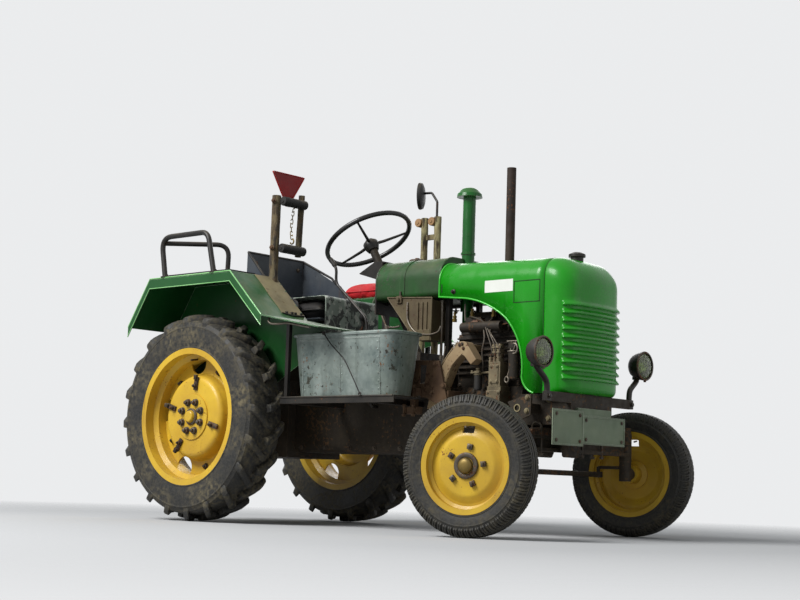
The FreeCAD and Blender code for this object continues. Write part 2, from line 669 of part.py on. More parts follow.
def nose_plan(offset):
    """Outline of the nose from above, made larger all round by an offset."""
    half = HOOD_HALF + offset
    front = NOSE_FRONT_X + offset
    return [(HOOD_SEAM_X, -half), (front - NOSE_BULGE, -half, NOSE_CORNER + offset),
            (front, 0, 600), (front - NOSE_BULGE, half, NOSE_CORNER + offset),
            (HOOD_SEAM_X, half)]


def nose_solid(inset, rear, low):
    """Full form of the nose: plan, side and front outlines together."""
    top = HOOD_TOP_SEAM - inset
    front = NOSE_FRONT_X + 2 - inset
    outline = nose_plan(-inset)
    outline[0] = (rear, outline[0][1])
    outline[-1] = (rear, outline[-1][1])
    plan = plan_prism(outline, low, top + 10)
    side = side_prism([(rear - 1, low), (front, low, NOSE_FOOT_RADIUS),
                       (front, top - 8, NOSE_BROW_RADIUS - inset), (rear - 1, top)], -400, 400)
    half = HOOD_HALF - inset
    corner = HOOD_CORNER - inset
    across = front_prism([(-half - 1, low - 1), (half + 1, low - 1), (half + 1, top, corner),
                          (-half - 1, top, corner)], rear - 1, front + 20)
    return plan.common(side).common(across)


def nose():
    """Pressed nose with ribs that wrap round the front, open behind and below."""
    outer = nose_solid(0, HOOD_SEAM_X, NOSE_BOTTOM)
    cavity = nose_solid(SHEET, HOOD_SEAM_X - 5, NOSE_BOTTOM - 20)
    plate = plan_prism(nose_plan(RIB_PROUD), 0, RIB_HEIGHT)
    plate = plate.common(block(RIB_START_X, NOSE_FRONT_X + 60, -400, 400, -1, RIB_HEIGHT + 1))
    ribs = []
    for i in range(RIB_COUNT):
        rib = plate.copy()
        rib.translate(V(0, 0, RIB_TOP_Z - RIB_PITCH * i - RIB_HEIGHT / 2.0))
        ribs.append(rib)
    shell = outer.multiFuse(ribs).cut(cavity)
    return shell.cut(bar((FILLER_X, 0, 1100), (FILLER_X, 0, 1300), FILLER_DIAMETER + 10))


def radiator():
    """Core, tanks and the filler neck that comes up through the nose."""
    core = block(1790, 1850, -170, 170, 650, 1080)
    top = block(1775, 1860, -165, 165, 1080, 1150)
    bottom = block(1775, 1860, -165, 165, BRACKET_TOP, 650)
    neck = bar((FILLER_X, 0, 1150), (FILLER_X, 0, HOOD_TOP_SEAM + 8), FILLER_DIAMETER)
    cap = turned([(0, HOOD_TOP_SEAM + 4), (37, HOOD_TOP_SEAM + 4), (37, HOOD_TOP_SEAM + 16, 5),
                  (20, HOOD_TOP_SEAM + 24, 5), (0, HOOD_TOP_SEAM + 24)],
                 centre=(FILLER_X, 0, 0), axis="z")
    return fuse(core, top, bottom, neck, cap)


def fuel_tank():
    """Round-shouldered tank with a hold-down strap."""
    body = front_prism([(-TANK_HALF, TANK_BOTTOM, 26), (TANK_HALF, TANK_BOTTOM, 26),
                        (TANK_HALF, TANK_TOP, 100), (-TANK_HALF, TANK_TOP, 100)],
                       TANK_REAR_X, TANK_FRONT_X)
    strap = front_prism([(-TANK_HALF - 3, TANK_BOTTOM, 29), (TANK_HALF + 3, TANK_BOTTOM, 29),
                         (TANK_HALF + 3, TANK_TOP + 3, 103), (-TANK_HALF - 3, TANK_TOP + 3, 103)],
                        965, 993)
    cap = turned([(0, TANK_TOP - 4), (34, TANK_TOP - 4), (34, TANK_TOP + 12, 4),
                  (0, TANK_TOP + 12)], centre=(900, 0, 0), axis="z")
    recess = bar((INTAKE_X, 0, TANK_BOTTOM - 10), (INTAKE_X, 0, TANK_TOP + 20),
                 INTAKE_DIAMETER + 10)
    return fuse(body, strap, cap).cut(recess)


def dash_panel():
    """Dark end plate behind the tank with a visor, on legs and rails."""
    panel = front_prism([(-TANK_HALF + 4, TANK_BOTTOM - 60), (TANK_HALF - 4, TANK_BOTTOM - 60),
                         (TANK_HALF - 4, TANK_TOP - 2, 94), (-TANK_HALF + 4, TANK_TOP - 2, 94)],
                        TANK_REAR_X - 8, TANK_REAR_X)
    visor = side_prism([(659, 1196), (663, 1192), (768, 1238), (TANK_REAR_X - 4, 1238),
                        (TANK_REAR_X - 4, 1244), (761, 1247)], -150, 150)
    ends = [side_prism([(663, 1192), (TANK_REAR_X - 8, 1150), (TANK_REAR_X - 8, 1240),
                        (768, 1240)], side * 150, side * 146) for side in (-1, 1)]
    solids = [panel, visor] + ends
    for side in (-1, 1):
        solids.append(block(TANK_REAR_X - 24, TANK_REAR_X, side * 95, side * 120,
                            GEARBOX_TOP, TANK_BOTTOM))
        solids.append(block(TANK_REAR_X - 4, TANK_FRONT_X - 6, side * 95, side * 120,
                            TANK_BOTTOM - 12, TANK_BOTTOM))
        solids.append(block(TANK_FRONT_X - 26, TANK_FRONT_X - 6, side * 95, side * 120,
                            780, TANK_BOTTOM))
    made = fuse(*solids)
    start, end = column_point(-20), column_point(500)
    return made.cut(bar(start, end, 46.0))


def steering_box():
    """Steering gear on the clutch housing, with the column and the arm's shaft."""
    box = block(860, 990, -70, 235, GEARBOX_TOP, 815)
    down = (WHEEL_HUB[2] - 800.0) / math.cos(math.radians(COLUMN_TILT))
    column = bar(column_point(18 + SEAT_GAP), column_point(down), 40.0)
    shaft = bar((PITMAN_X, 200, PITMAN_Z), (PITMAN_X, PITMAN_Y + 24, PITMAN_Z), 30.0)
    return fuse(box, column, shaft)


def battery_box():
    """Tool and battery box hung under the tank on the right."""
    plate = side_prism([(898, 1059), (1031, 907), (1033, 857), (1167, 851), (1169, 1044)],
                       -204, -197)
    box = side_prism([(960, TANK_BOTTOM - 12), (1033, 930), (1033, 860), (1165, 854),
                      (1165, TANK_BOTTOM - 12)], -198, -70)
    return plate.fuse(box)


def air_intake():
    """Upright intake tube with a mushroom cap, beside the tank's front end."""
    x, z0, z1 = INTAKE_X, 1000.0, 1578.0
    stem = bar((x, 0, z0), (x, 0, z1 - 30), INTAKE_DIAMETER)
    elbow = bent_bar([(x, 0, z0 + 5), (x, 0, 903), (ENGINE_REAR_X + 35, 0, 903)], 40.0, 34.0)
    cap = turned([(0, z1 - 46), (59.5, z1 - 46), (57, z1 - 30, 10), (34, z1 - 4, 30), (0, z1)],
                 centre=(x, 0, 0), axis="z")
    band = bar((x, 0, 1262), (x, 0, 1272), 68.0)
    return fuse(stem, cap, band, elbow)


def exhaust_pipe():
    """Open pipe that stands up through the hood."""
    x = EXHAUST_X
    return tube((x, 0, HEAD_TOP), (x, 0, 1643), EXHAUST_DIAMETER, EXHAUST_DIAMETER - 6)


def headlamps():
    """Bowls on bent arms, one each side; the arms stand on the front bracket."""
    made = []
    for side in (-1, 1):
        bowl = turned([(0, 1835), (30, 1838, 10), (58, 1870, 20), (64, 1900), (64, 1912),
                       (58, 1912), (58, 1896), (0, 1896)], axis="x")
        bowl.translate(V(0, side * 376, 759))
        arm = bent_bar([(1892, side * 304, 575), (1892, side * 304, 640),
                        (1874, side * 362, 695), (1866, side * 376, 722)], 26.0, 30.0)
        foot = block(BRACKET_FRONT_X - 25, BRACKET_FRONT_X, side * 290, side * 316,
                     BRACKET_TOP - 40, BRACKET_TOP)
        made.append(fuse(bowl, arm, foot))
    return made


def lamp_lenses():
    made = []
    for side in (-1, 1):
        lens = turned([(0, 1897), (57.7, 1897), (57.7, 1908), (40, 1915, 60), (0, 1919)], axis="x")
        lens.translate(V(0, side * 376, 759))
        made.append(lens)
    return made


def front_plates():
    """Two blank plates and their carrier under the nose."""
    back = block(1921, 1925, -95, 224, 395, 516)
    left = block(1925, 1929, -310, -92, 385, 533)
    link = block(BRACKET_FRONT_X, 1922, -120, 120, 505, 545)
    return [fuse(back, left, link)]


def fender(side):
    """Flat-topped fender: folded top, outer lip and inner wall with a saddle foot."""
    outline = FENDER_LINE
    under = [(x, z - FENDER_DROP) for x, z in reversed(FENDER_LINE)]
    y_in, y_out = FENDER_INNER, FENDER_OUTER
    top = side_prism([*outline, *under], -y_in, -y_out)
    lip_low = [(x, z - FENDER_LIP) for x, z in reversed(outline[:4])]
    lip = side_prism([*outline[:4], *lip_low], -y_out, -y_out + SHEET)
    wall = side_prism([*outline[:5], (565, 880, 10), (545, 760, 60), (330, 640, 60),
                       (-60, 560, 20), (-320, 640, 60)], -y_in, -y_in - SHEET)
    foot = block(-60, 60, -y_in - SHEET, -y_in + 36, 540, 610)
    axle = bar((0, -y_in - 60, REAR_AXLE_Z), (0, -y_in + 60, REAR_AXLE_Z), 2 * TRUMPET_RADIUS)
    made = fuse(top, lip, wall, foot).cut(axle)
    return mirror(made) if side > 0 else made


def fender_under(x):
    """Height of the top sheet's underside at one station."""
    for (x0, z0), (x1, z1) in zip(FENDER_LINE, FENDER_LINE[1:]):
        if x0 <= x <= x1:
            return z0 + (z1 - z0) * (x - x0) / (x1 - x0) - FENDER_DROP
    return FENDER_LINE[-1][1] - FENDER_DROP


def footboards():
    """Flat boards on crossbars from the gearbox, each with a stay up to its fender."""
    made = []
    x0, x1 = FOOTBOARD_REAR_X, FOOTBOARD_FRONT_X
    for side in (-1, 1):
        board = block(x0, x1, side * FOOTBOARD_INNER, side * FOOTBOARD_OUTER,
                      FOOTBOARD_TOP - 6, FOOTBOARD_TOP)
        edge = block(x0, x1, side * (FOOTBOARD_OUTER - 6), side * FOOTBOARD_OUTER,
                     FOOTBOARD_TOP - 32, FOOTBOARD_TOP)
        solids = [board, edge]
        for x in (x0 + 4, 1060):
            solids.append(block(x, x + 36, side * bell_half(x + 36), side * FOOTBOARD_OUTER,
                                FOOTBOARD_TOP - 30, FOOTBOARD_TOP - 6))
        stay = side_prism([(x0, FOOTBOARD_TOP - 30), (x0 + 20, FOOTBOARD_TOP - 30),
                           (x0 + 20, fender_under(x0 + 20)), (x0, fender_under(x0))],
                          side * 480, side * 500)
        made.append(fuse(*solids, stay))
    return made


def handrail_right():
    """Bent tube round the right fender's outer edge."""
    y = -FENDER_OUTER + 12
    top = 1366.0
    foot = FENDER_TOP + 3 * SEAT_GAP
    return bent_bar([(238, y, foot), (225, y, top), (-187, y, top), (-150, y, foot)], 26.0, 50.0)


def tail_lamps():
    made = []
    for side in (-1, 1):
        made.append(bar((-271.6, side * 600, 1130.5), (-296.6, side * 600, 1147), 60.0))
    return made


def pad_right():
    return block(-170, 290, -650, -480, FENDER_TOP, FENDER_TOP + 14)


def cushion_left():
    return block(0, 260, 420, 660, FENDER_TOP + SEAT_GAP, FENDER_TOP + 90)


# Seat

def seat_shell():
    """Sheet bucket: pan, back and sloping wings."""
    pan = block(SEAT_BACK_X, SEAT_FRONT_X, -SEAT_HALF, SEAT_HALF, SEAT_PAN_Z, SEAT_PAN_Z + 6)
    back = side_prism([(SEAT_BACK_X, SEAT_PAN_Z), (SEAT_BACK_X + 8, SEAT_PAN_Z),
                       (SEAT_BACK_X + 8, SEAT_BACK_TOP), (SEAT_BACK_X, SEAT_BACK_TOP)],
                      -SEAT_HALF, SEAT_HALF)
    wings = [side_prism([(SEAT_BACK_X, SEAT_PAN_Z), (300, SEAT_PAN_Z), (300, SEAT_PAN_Z + 90, 20),
                         (175, 1216, 40), (SEAT_BACK_X, SEAT_BACK_TOP)],
                        side * (SEAT_HALF - 6), side * SEAT_HALF) for side in (-1, 1)]
    return fuse(pan, back, *wings)


def seat_cushion():
    return block(-20, SEAT_FRONT_X - 10, -SEAT_HALF + 8, SEAT_HALF - 8,
                 SEAT_PAN_Z + 6 + SEAT_GAP, 1085)


def seat_blanket():
    """Folded cover over the cushion's front, hanging down."""
    top = block(150, SEAT_FRONT_X + 22, -SEAT_HALF + 10, SEAT_HALF - 10, 1085 + SEAT_GAP, 1105)
    drop = block(SEAT_FRONT_X + SEAT_GAP, SEAT_FRONT_X + 22, -SEAT_HALF + 10, SEAT_HALF - 10,
                 930, 1105)
    return top.fuse(drop)


def seat_support():
    """Post and sprung arm from the gearbox to the seat pan."""
    post = side_prism([(260, GEARBOX_TOP), (420, GEARBOX_TOP), (330, SEAT_PAN_Z),
                       (240, SEAT_PAN_Z)], -30, 30)
    plate = block(180, 400, -110, 110, SEAT_PAN_Z - 12, SEAT_PAN_Z)
    return post.fuse(plate)


def controls():
    """Gear lever, curved hand lever and two pedals."""
    lid = GEARBOX_TOP + 30
    gear = bent_bar([(520, 20, lid), (520, 20, lid + 100), (500, 25, 900), (540, 30, 1010)],
                    16.0, 60.0)
    hand = bent_bar([(470, GEARBOX_HALF, 610), (470, 232, 610), (470, 232, 1000),
                     (330, 232, 1190), (290, 232, 1340)], 14.0, 80.0)
    made = [gear, hand]
    for side in (-1, 1):
        arm = bent_bar([(788, side * GEARBOX_HALF, 560), (788, side * 174, 560),
                        (768, side * 174, 700), (690, side * 174, 790)], 18.0, 25.0)
        pad = block(655, 700, side * 142, side * 206, 784, 796)
        made.append(arm.fuse(pad))
    return made


# Racks and stowage

def rear_rack():
    """Two rough posts joined by bars and rollers, standing on the right fender."""
    near = bar((303, -409, FENDER_TOP + SEAT_GAP), (303, -409, 1530), 48.0)
    far = bar((318, -262, 1290), (330, -255, 1520), 34.0)
    tie = block(290, 330, -409, -250, 1290, 1312)
    upper = block(295, 335, -409, -250, 1470, 1492)
    rollers = [bar((340, -409, z), (340, -250, z), 46.0) for z in (1300.0, 1480.0)]
    return fuse(near, far, tie, upper, *rollers)


def red_triangle():
    """Blank slow-vehicle triangle with its point cut, on a tab at the near post."""
    y = -409 - 24 - SEAT_GAP
    plate = side_prism([(200, 1690, 10), (420, 1690, 10), (330, 1545), (290, 1545)], y - 4, y)
    return plate.fuse(block(290, 316, y - 4, y, 1430, 1550))


def front_rack():
    """Twin posts behind the tank's left side with pale rollers and a cross piece."""
    posts = []
    for x in (735.0, 820.0):
        posts.append(block(x - 18, x + 18, 212, 242, 600, 1515))
    posts.append(block(735, 820, 218, 236, 1400, 1430))
    for x in (712.0, 797.0):
        posts.append(bar((x, 195, 1490), (x, 259, 1490), 44.0))
    for x in (735.0, 820.0):
        posts.append(block(x - 18, x + 18, GEARBOX_HALF, 242, 600, 640))
    return fuse(*posts)


def mirror_piece():
    disc = bar((770, 215, 1660), (785, 235, 1660), 128.0)
    stalk = bent_bar([(776, 224, 1640), (800, 236, 1640), (815, 227, 1590), (815, 227, 1515)],
                     12.0, 20.0)
    return disc.fuse(stalk)


def side_tub():
    """Galvanised tub with rounded corners, tapered down, open on top."""
    def ring(z, inset):
        x0, x1 = 590.0 + inset, 1225.0 - inset
        y0, y1 = -FOOTBOARD_OUTER + inset, -FOOTBOARD_INNER - inset
        return corner_wire([(x0, y0, 70), (x1, y0, 70), (x1, y1, 70), (x0, y1, 70)],
                           lambda p: V(p.x, p.y, z))
    top, bottom = 866.0, FOOTBOARD_TOP
    outer = Part.makeLoft([ring(bottom, 24), ring(top, 0)], True, True)
    inner = Part.makeLoft([ring(bottom + 5, 27), ring(top + 0.01, 4)], True, True)
    rolled = plan_prism([(584, -FOOTBOARD_OUTER - 6, 76), (1231, -FOOTBOARD_OUTER - 6, 76),
                         (1231, -FOOTBOARD_INNER + 6, 76), (584, -FOOTBOARD_INNER + 6, 76)],
                        top - 10, top)
    return fuse(outer, rolled).cut(inner)


def side_bracket():
    """Rusty slotted plate and clamp blocks beside the engine."""
    y0, y1 = -262.0, -250.0
    plate = side_prism([(1167, 699), (1324, 691), (1336, 511), (1112, 593)], y0, y1)
    slot = side_prism([(1215, 670), (1250, 668), (1236, 600), (1205, 606)], y0 - 1, y1 + 1)
    arms = [block(x, x + 30, y1, -ENGINE_HALF, z, z + 35) for x, z in ((1245, 600), (1290, 540))]
    clamps = [block(1112, 1160, y0 - 30, y1, 560, 600), block(1180, 1230, y0 - 30, y1, 520, 570)]
    return fuse(plate.cut(slot), *arms, *clamps)


def air_duct():
    """Curved sheet duct from the engine's top down beside the block."""
    leg = side_prism([(1335, 498), (1425, 498), (1440, 610, 200), (1490, 740, 200),
                      (1545, 812, 40), (1545, 860), (1460, 860, 30), (1400, 740, 200),
                      (1350, 610, 200)], -225, -150)
    foot = block(1350, 1420, -160, -ENGINE_HALF, 500, 560)
    return leg.fuse(foot)


def right_and_left(name, shape):
    """The same shape on both sides, named for its side."""
    return {name + "_right": shape, name + "_left": mirror(shape)}


def build():
    """Every piece by its node's name."""
    pieces = {
        "engine": engine(),
        "engine_fittings": engine_fittings(),
        "gearbox": gearbox(),
        "rear_axle_housing": rear_axle_housing(),
        "drawbar_hitch": drawbar_hitch(),
        "front_bracket": front_bracket(),
        "front_axle": front_axle(),
        "front_spring": front_spring(),
        "hood": hood(),
        "nose": nose(),
        "radiator": radiator(),
        "fuel_tank": fuel_tank(),
        "dash_panel": dash_panel(),
        "steering_box": steering_box(),
        "battery_box": battery_box(),
        "air_intake": air_intake(),
        "exhaust_pipe": exhaust_pipe(),
        "headlamps": headlamps(),
        "lamp_lenses": lamp_lenses(),
        "front_plates": front_plates(),
        "fender_right": fender(-1),
        "fender_left": fender(1),
        "footboards": footboards(),
        "handrail_right": handrail_right(),
        "tail_lamps": tail_lamps(),
        "pad_right": pad_right(),
        "cushion_left": cushion_left(),
        "seat_shell": seat_shell(),
        "seat_cushion": seat_cushion(),
        "seat_blanket": seat_blanket(),
        "seat_support": seat_support(),
        "controls": controls(),
        "rear_rack": rear_rack(),
        "red_triangle": red_triangle(),
        "front_rack": front_rack(),
        "mirror": mirror_piece(),
        "side_tub": side_tub(),
        "side_bracket": side_bracket(),
        "air_duct": air_duct(),
        "knuckle_right": knuckle(-1),
        "knuckle_left": knuckle(1),
        "tie_rod": tie_rod(),
        "pitman_arm": pitman_arm(),
        "drag_link": drag_link(),
        "steering_wheel": steering_wheel(),
    }
    for name, shape in (("rear_tyre", rear_tyre()), ("rear_wheel", rear_wheel_centre())):
        placed = shape.copy()
        placed.translate(V(0, -REAR_TRACK_HALF, REAR_RADIUS))
        pieces.update(right_and_left(name, placed))
    for name, shape in (("front_tyre", front_tyre()), ("front_wheel", front_wheel_centre())):
        pieces[name + "_right"] = wheel_at_knuckle(shape, -1)
        pieces[name + "_left"] = wheel_at_knuckle(shape, 1)
    return pieces


def main():
    os.makedirs("parts", exist_ok=True)
    for name, shape in build().items():
        solid = Part.makeCompound(shape) if isinstance(shape, list) else shape
        solid.translate(V(-ORIGIN_AHEAD, 0, 0))
        solid.exportStep("parts/" + name + ".step")
        print(name, len(solid.Solids), solid.isValid(), round(solid.Volume / 1e6, 3))


main()
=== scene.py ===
"""A farm tractor, dressed: paint, rust, rubber, cloth and the small parts on its solids.

Lengths are metres. Places that belong to the tractor's layout are written in
millimetres from the rear axle, +X forward, +Y to the driver's left and +Z up: a plain
(x, y, z) is such a place, and `place` turns it into metres in the frame, whose origin
lies under the tractor's middle.
"""
import logging
import math
import random
from dataclasses import dataclass
from enum import Enum
from functools import cache
from typing import Callable, Iterable, Sequence

import bmesh
import bpy
import numpy as np
from mathutils import Matrix, Vector, noise


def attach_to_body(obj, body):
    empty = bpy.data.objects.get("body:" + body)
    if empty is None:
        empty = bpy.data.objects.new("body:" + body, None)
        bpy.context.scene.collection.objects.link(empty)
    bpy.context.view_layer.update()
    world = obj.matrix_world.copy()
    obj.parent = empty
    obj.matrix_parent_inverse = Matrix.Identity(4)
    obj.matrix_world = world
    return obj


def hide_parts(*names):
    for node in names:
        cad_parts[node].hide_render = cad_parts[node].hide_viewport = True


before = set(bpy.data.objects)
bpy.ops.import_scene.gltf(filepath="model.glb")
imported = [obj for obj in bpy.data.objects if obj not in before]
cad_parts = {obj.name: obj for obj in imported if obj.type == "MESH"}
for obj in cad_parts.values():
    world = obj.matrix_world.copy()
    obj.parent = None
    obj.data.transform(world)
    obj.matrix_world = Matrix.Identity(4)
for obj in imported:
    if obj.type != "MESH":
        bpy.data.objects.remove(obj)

log = logging.getLogger("tractor")

MM = 0.001
ORIGIN_AHEAD = 742.0            # millimetres from the rear axle to the frame's origin
PHOTO_SIZE = (800, 600)
FOCAL_PIXELS = 1524.8           # the photograph's focal length in its own pixels
SENSOR_WIDTH = 36.0             # millimetres
MERGE_REACH = 1e-6              # points nearer than this become one
BEVEL_ANGLE = 38.0              # degrees; a softer bend keeps its edge
SHEET_WALL = 0.003              # thickness of the hood's sheet

FORWARD, BACKWARD = Vector((1, 0, 0)).freeze(), Vector((-1, 0, 0)).freeze()
LEFTWARD, RIGHTWARD = Vector((0, 1, 0)).freeze(), Vector((0, -1, 0)).freeze()
UPWARD, DOWNWARD = Vector((0, 0, 1)).freeze(), Vector((0, 0, -1)).freeze()

Colour = tuple[float, float, float]
Outline = Sequence[tuple[float, float]]
Spot = Vector | tuple[float, float, float]


def srgb(red: int, green: int, blue: int) -> Colour:
    """Turns a colour written 0 to 255 into the linear values that a shader takes."""
    def linear(value: int) -> float:
        """One channel in linear light."""
        share = value / 255.0
        return share / 12.92 if share <= 0.04045 else ((share + 0.055) / 1.055) ** 2.4
    return linear(red), linear(green), linear(blue)


def place(x: float, y: float, z: float) -> Vector:
    """A point in the frame, in metres, from millimetres off the rear axle."""
    return Vector(((x - ORIGIN_AHEAD) * MM, y * MM, z * MM))


def spot(point: Spot) -> Vector:
    """A vector as it is, and a plain (x, y, z) in millimetres as its place in the frame."""
    return point if isinstance(point, Vector) else place(*point)


class Side(Enum):
    """The two sides of the tractor; the value is the sign of Y."""
    RIGHT = -1
    LEFT = 1

    @property
    def word(self) -> str:
        """The side's name as the nodes and bodies write it."""
        return self.name.lower()

    @property
    def out(self) -> Vector:
        """The way out from the tractor's middle."""
        return Vector((0, self.value, 0))


# Meshes

def turn_to(direction: Vector) -> Matrix:
    """The turn that takes +Z to a direction."""
    return direction.to_track_quat("Z", "Y").to_matrix().to_4x4()


def grid(rows: int, width: int, closed: bool = False) -> list[tuple[int, ...]]:
    """Faces between rows of points that are numbered one row after the other.

    Args:
        rows: how many rows of points there are.
        width: points in each.
        closed: whether the last point of a row joins the first.

    Returns:
        The faces.
    """
    faces = []
    for r in range(rows - 1):
        a, b = r * width, (r + 1) * width
        for k in range(width if closed else width - 1):
            j = (k + 1) % width
            faces.append((a + k, a + j, b + j, b + k))
    return faces


class Solid:
    """A mesh put together from boxes, turned parts, prisms and tubes."""

    def __init__(self) -> None:
        """Starts with nothing in it."""
        self.vertices: list[Vector] = []
        self.faces: list[tuple[int, ...]] = []

    def add(self, vertices: Iterable[Vector], faces: Iterable[Sequence[int]]) -> "Solid":
        """Adds a part.

        Args:
            vertices: its points, in metres.
            faces: its faces, as numbers of those points.

        Returns:
            This solid, so that calls can follow each other.
        """
        first = len(self.vertices)
        self.vertices.extend(Vector(v) for v in vertices)
        self.faces.extend(tuple(first + i for i in face) for face in faces)
        return self

    def join(self, *parts: "Solid") -> "Solid":
        """Adds other solids."""
        for part in parts:
            self.add(part.vertices, part.faces)
        return self

    def box(self, low: Spot, high: Spot, turn: Matrix | None = None) -> "Solid":
        """Adds a box between two corners, turned about its own middle if asked."""
        low, high = spot(low), spot(high)
        middle, half = (low + high) / 2, (high - low) / 2
        corners = [Vector((sx * half.x, sy * half.y, sz * half.z)) for sx in (-1, 1)
                   for sy in (-1, 1) for sz in (-1, 1)]
        if turn is not None:
            corners = [turn @ c for c in corners]
        faces = [(0, 1, 3, 2), (4, 6, 7, 5), (0, 4, 5, 1), (2, 3, 7, 6), (0, 2, 6, 4), (1, 5, 7, 3)]
        return self.add([middle + c for c in corners], faces)

    def lathe(self, profile: Outline, centre: Spot, axis: Vector, segments: int = 48) -> "Solid":
        """Adds a turned part.

        Args:
            profile: (radius, distance along the axis) pairs, in metres.
            centre: where distance 0 lies.
            axis: the axis' direction.
            segments: faces round the axis.

        Returns:
            This solid.
        """
        centre, turn = spot(centre), turn_to(axis.normalized())
        points, faces, rings = [], [], []
        for radius, along in profile:
            if radius < MERGE_REACH:
                rings.append([len(points)])
                points.append(centre + turn @ Vector((0, 0, along)))
                continue
            rings.append(list(range(len(points), len(points) + segments)))
            for i in range(segments):
                angle = 2 * math.pi * i / segments
                flat = Vector((radius * math.cos(angle), radius * math.sin(angle), along))
                points.append(centre + turn @ flat)
        for a, b in zip(rings, rings[1:]):
            for i in range(segments):
                j = (i + 1) % segments
                quad = [a[i % len(a)], a[j % len(a)], b[j % len(b)], b[i % len(b)]]
                face = list(dict.fromkeys(quad))
                if len(face) > 2:
                    faces.append(tuple(face))
        return self.add(points, faces)

    def rod(self, start: Spot, end: Spot, radius: float, segments: int = 24) -> "Solid":
        """Adds a round bar between two points."""
        reach = spot(end) - spot(start)
        profile = [(0, 0), (radius, 0), (radius, reach.length), (0, reach.length)]
        return self.lathe(profile, start, reach, segments)

    def tube(self, path: Iterable[Spot], radius: float, segments: int = 12,
             scale: Callable[[float], float] | None = None) -> "Solid":
        """Adds a round bar along a path of points.

        Args:
            path: points close enough together to look smooth.
            radius: of the bar.
            segments: faces round it.
            scale: share of the radius at a distance from 0 to 1 along the path.

        Returns:
            This solid.
        """
        path = [spot(p) for p in path]
        points, normal, count = [], None, len(path)
        for i, at in enumerate(path):
            ahead = (path[min(i + 1, count - 1)] - path[max(i - 1, 0)]).normalized()
            if normal is None:
                normal = ahead.cross(UPWARD if abs(ahead.z) < 0.9 else FORWARD).normalized()
            normal = (normal - ahead * normal.dot(ahead)).normalized()
            other = ahead.cross(normal)
            size = radius * (scale(i / (count - 1)) if scale else 1.0)
            for k in range(segments):
                angle = 2 * math.pi * k / segments
                points.append(at + (normal * math.cos(angle) + other * math.sin(angle)) * size)
        return self.add(points, [*grid(count, segments, True), *end_caps(count, segments)])

    def prism(self, outline: Sequence[Vector], reach: Vector) -> "Solid":
        """Adds a flat outline drawn out along a vector."""
        count = len(outline)
        points = [Vector(p) for p in outline] + [Vector(p) + reach for p in outline]
        sides = [(i, (i + 1) % count, count + (i + 1) % count, count + i) for i in range(count)]
        return self.add(points, [*end_caps(2, count), *sides])

    def bolts(self, places: Iterable[Spot], outward: Vector, radius: float = 0.009,
              height: float = 0.008) -> "Solid":
        """Adds hexagon bolt heads on washers at given points.

        Args:
            places: where the washers sit.
            outward: the way that the heads point.
            radius: of the hexagon, to its corners.
            height: of the head.

        Returns:
            This solid.
        """
        washer = radius * 1.35
        for at in places:
            self.lathe([(0, 0), (washer, 0), (washer, 0.002), (0, 0.002)], at, outward, 16)
            self.lathe([(0, 0.002), (radius, 0.002), (radius, height),
                        (radius * 0.85, height + 0.001), (0, height + 0.001)], at, outward, 6)
        return self

    def discs(self, at: Spot, axis: Vector, rows: Outline, segments: int = 32) -> "Solid":
        """Adds a stack of turned discs.

        Args:
            at: the middle of the first disc's near face.
            axis: the way that the stack grows.
            rows: (radius, thickness) of each disc, in millimetres.
            segments: faces round each.

        Returns:
            This solid.
        """
        reach = 0.0
        for radius, thick in rows:
            self.lathe([(0, reach * MM), (radius * MM, reach * MM),
                        (radius * MM, (reach + thick) * MM), (0, (reach + thick) * MM)], at, axis,
                       segments)
            reach += thick
        return self

    def moved(self, change: Matrix) -> "Solid":
        """A copy with every point passed through a matrix."""
        return Solid().add([change @ v for v in self.vertices], self.faces)

    def build(self, name: str, material: bpy.types.Material, bevel: float = 0.0,
              smooth: float = 40.0) -> bpy.types.Object:
        """Makes the Blender object.

        Args:
            name: the piece's name.
            material: its finish.
            bevel: width of the rounded edges, in metres.
            smooth: angle in degrees up to which faces shade as one.

        Returns:
            The finished object, at the origin.
        """
        mesh = bpy.data.meshes.new(name)
        mesh.from_pydata([v[:] for v in self.vertices], [], self.faces)
        return finish_mesh(name, mesh, material, bevel, smooth)


def end_caps(rows: int, width: int) -> list[tuple[int, ...]]:
    """The faces that close the first and the last of several rows of points."""
    return [tuple(reversed(range(width))), tuple(range((rows - 1) * width, rows * width))]


def finish_mesh(name: str, mesh: bpy.types.Mesh, material: bpy.types.Material,
                bevel: float, smooth: float) -> bpy.types.Object:
    """Closes seams, points faces outwards, and gives a mesh its object, finish and edges.

    Args:
        name: the piece's name.
        mesh: the mesh, with its place in its points.
        material: its finish.
        bevel: width of the rounded edges, in metres.
        smooth: angle in degrees up to which faces shade as one.

    Returns:
        The object.
    """
    work = bmesh.new()
    work.from_mesh(mesh)
    bmesh.ops.remove_doubles(work, verts=work.verts, dist=MERGE_REACH)
    bmesh.ops.recalc_face_normals(work, faces=work.faces)
    work.to_mesh(mesh)
    work.free()
    mesh.polygons.foreach_set("use_smooth", [True] * len(mesh.polygons))
    mesh.set_sharp_from_angle(angle=math.radians(smooth))
    mesh.materials.clear()
    mesh.materials.append(material)
    piece = show(name, mesh)
    if bevel > 0:
        modify(piece, "BEVEL", width=bevel, segments=2, limit_method="ANGLE",
               angle_limit=math.radians(BEVEL_ANGLE), harden_normals=True)
    return piece


def show(name: str, data: object) -> bpy.types.Object:
    """Puts a mesh, lamp or camera in the scene as an object."""
    made = bpy.data.objects.new(name, data)
    bpy.context.scene.collection.objects.link(made)
    return made


def modify(piece: bpy.types.Object, kind: str, **settings: object) -> bpy.types.Modifier:
    """Adds a modifier and sets its properties."""
    made = piece.modifiers.new(kind.lower(), kind)
    for key, value in settings.items():
        setattr(made, key, value)
    return made


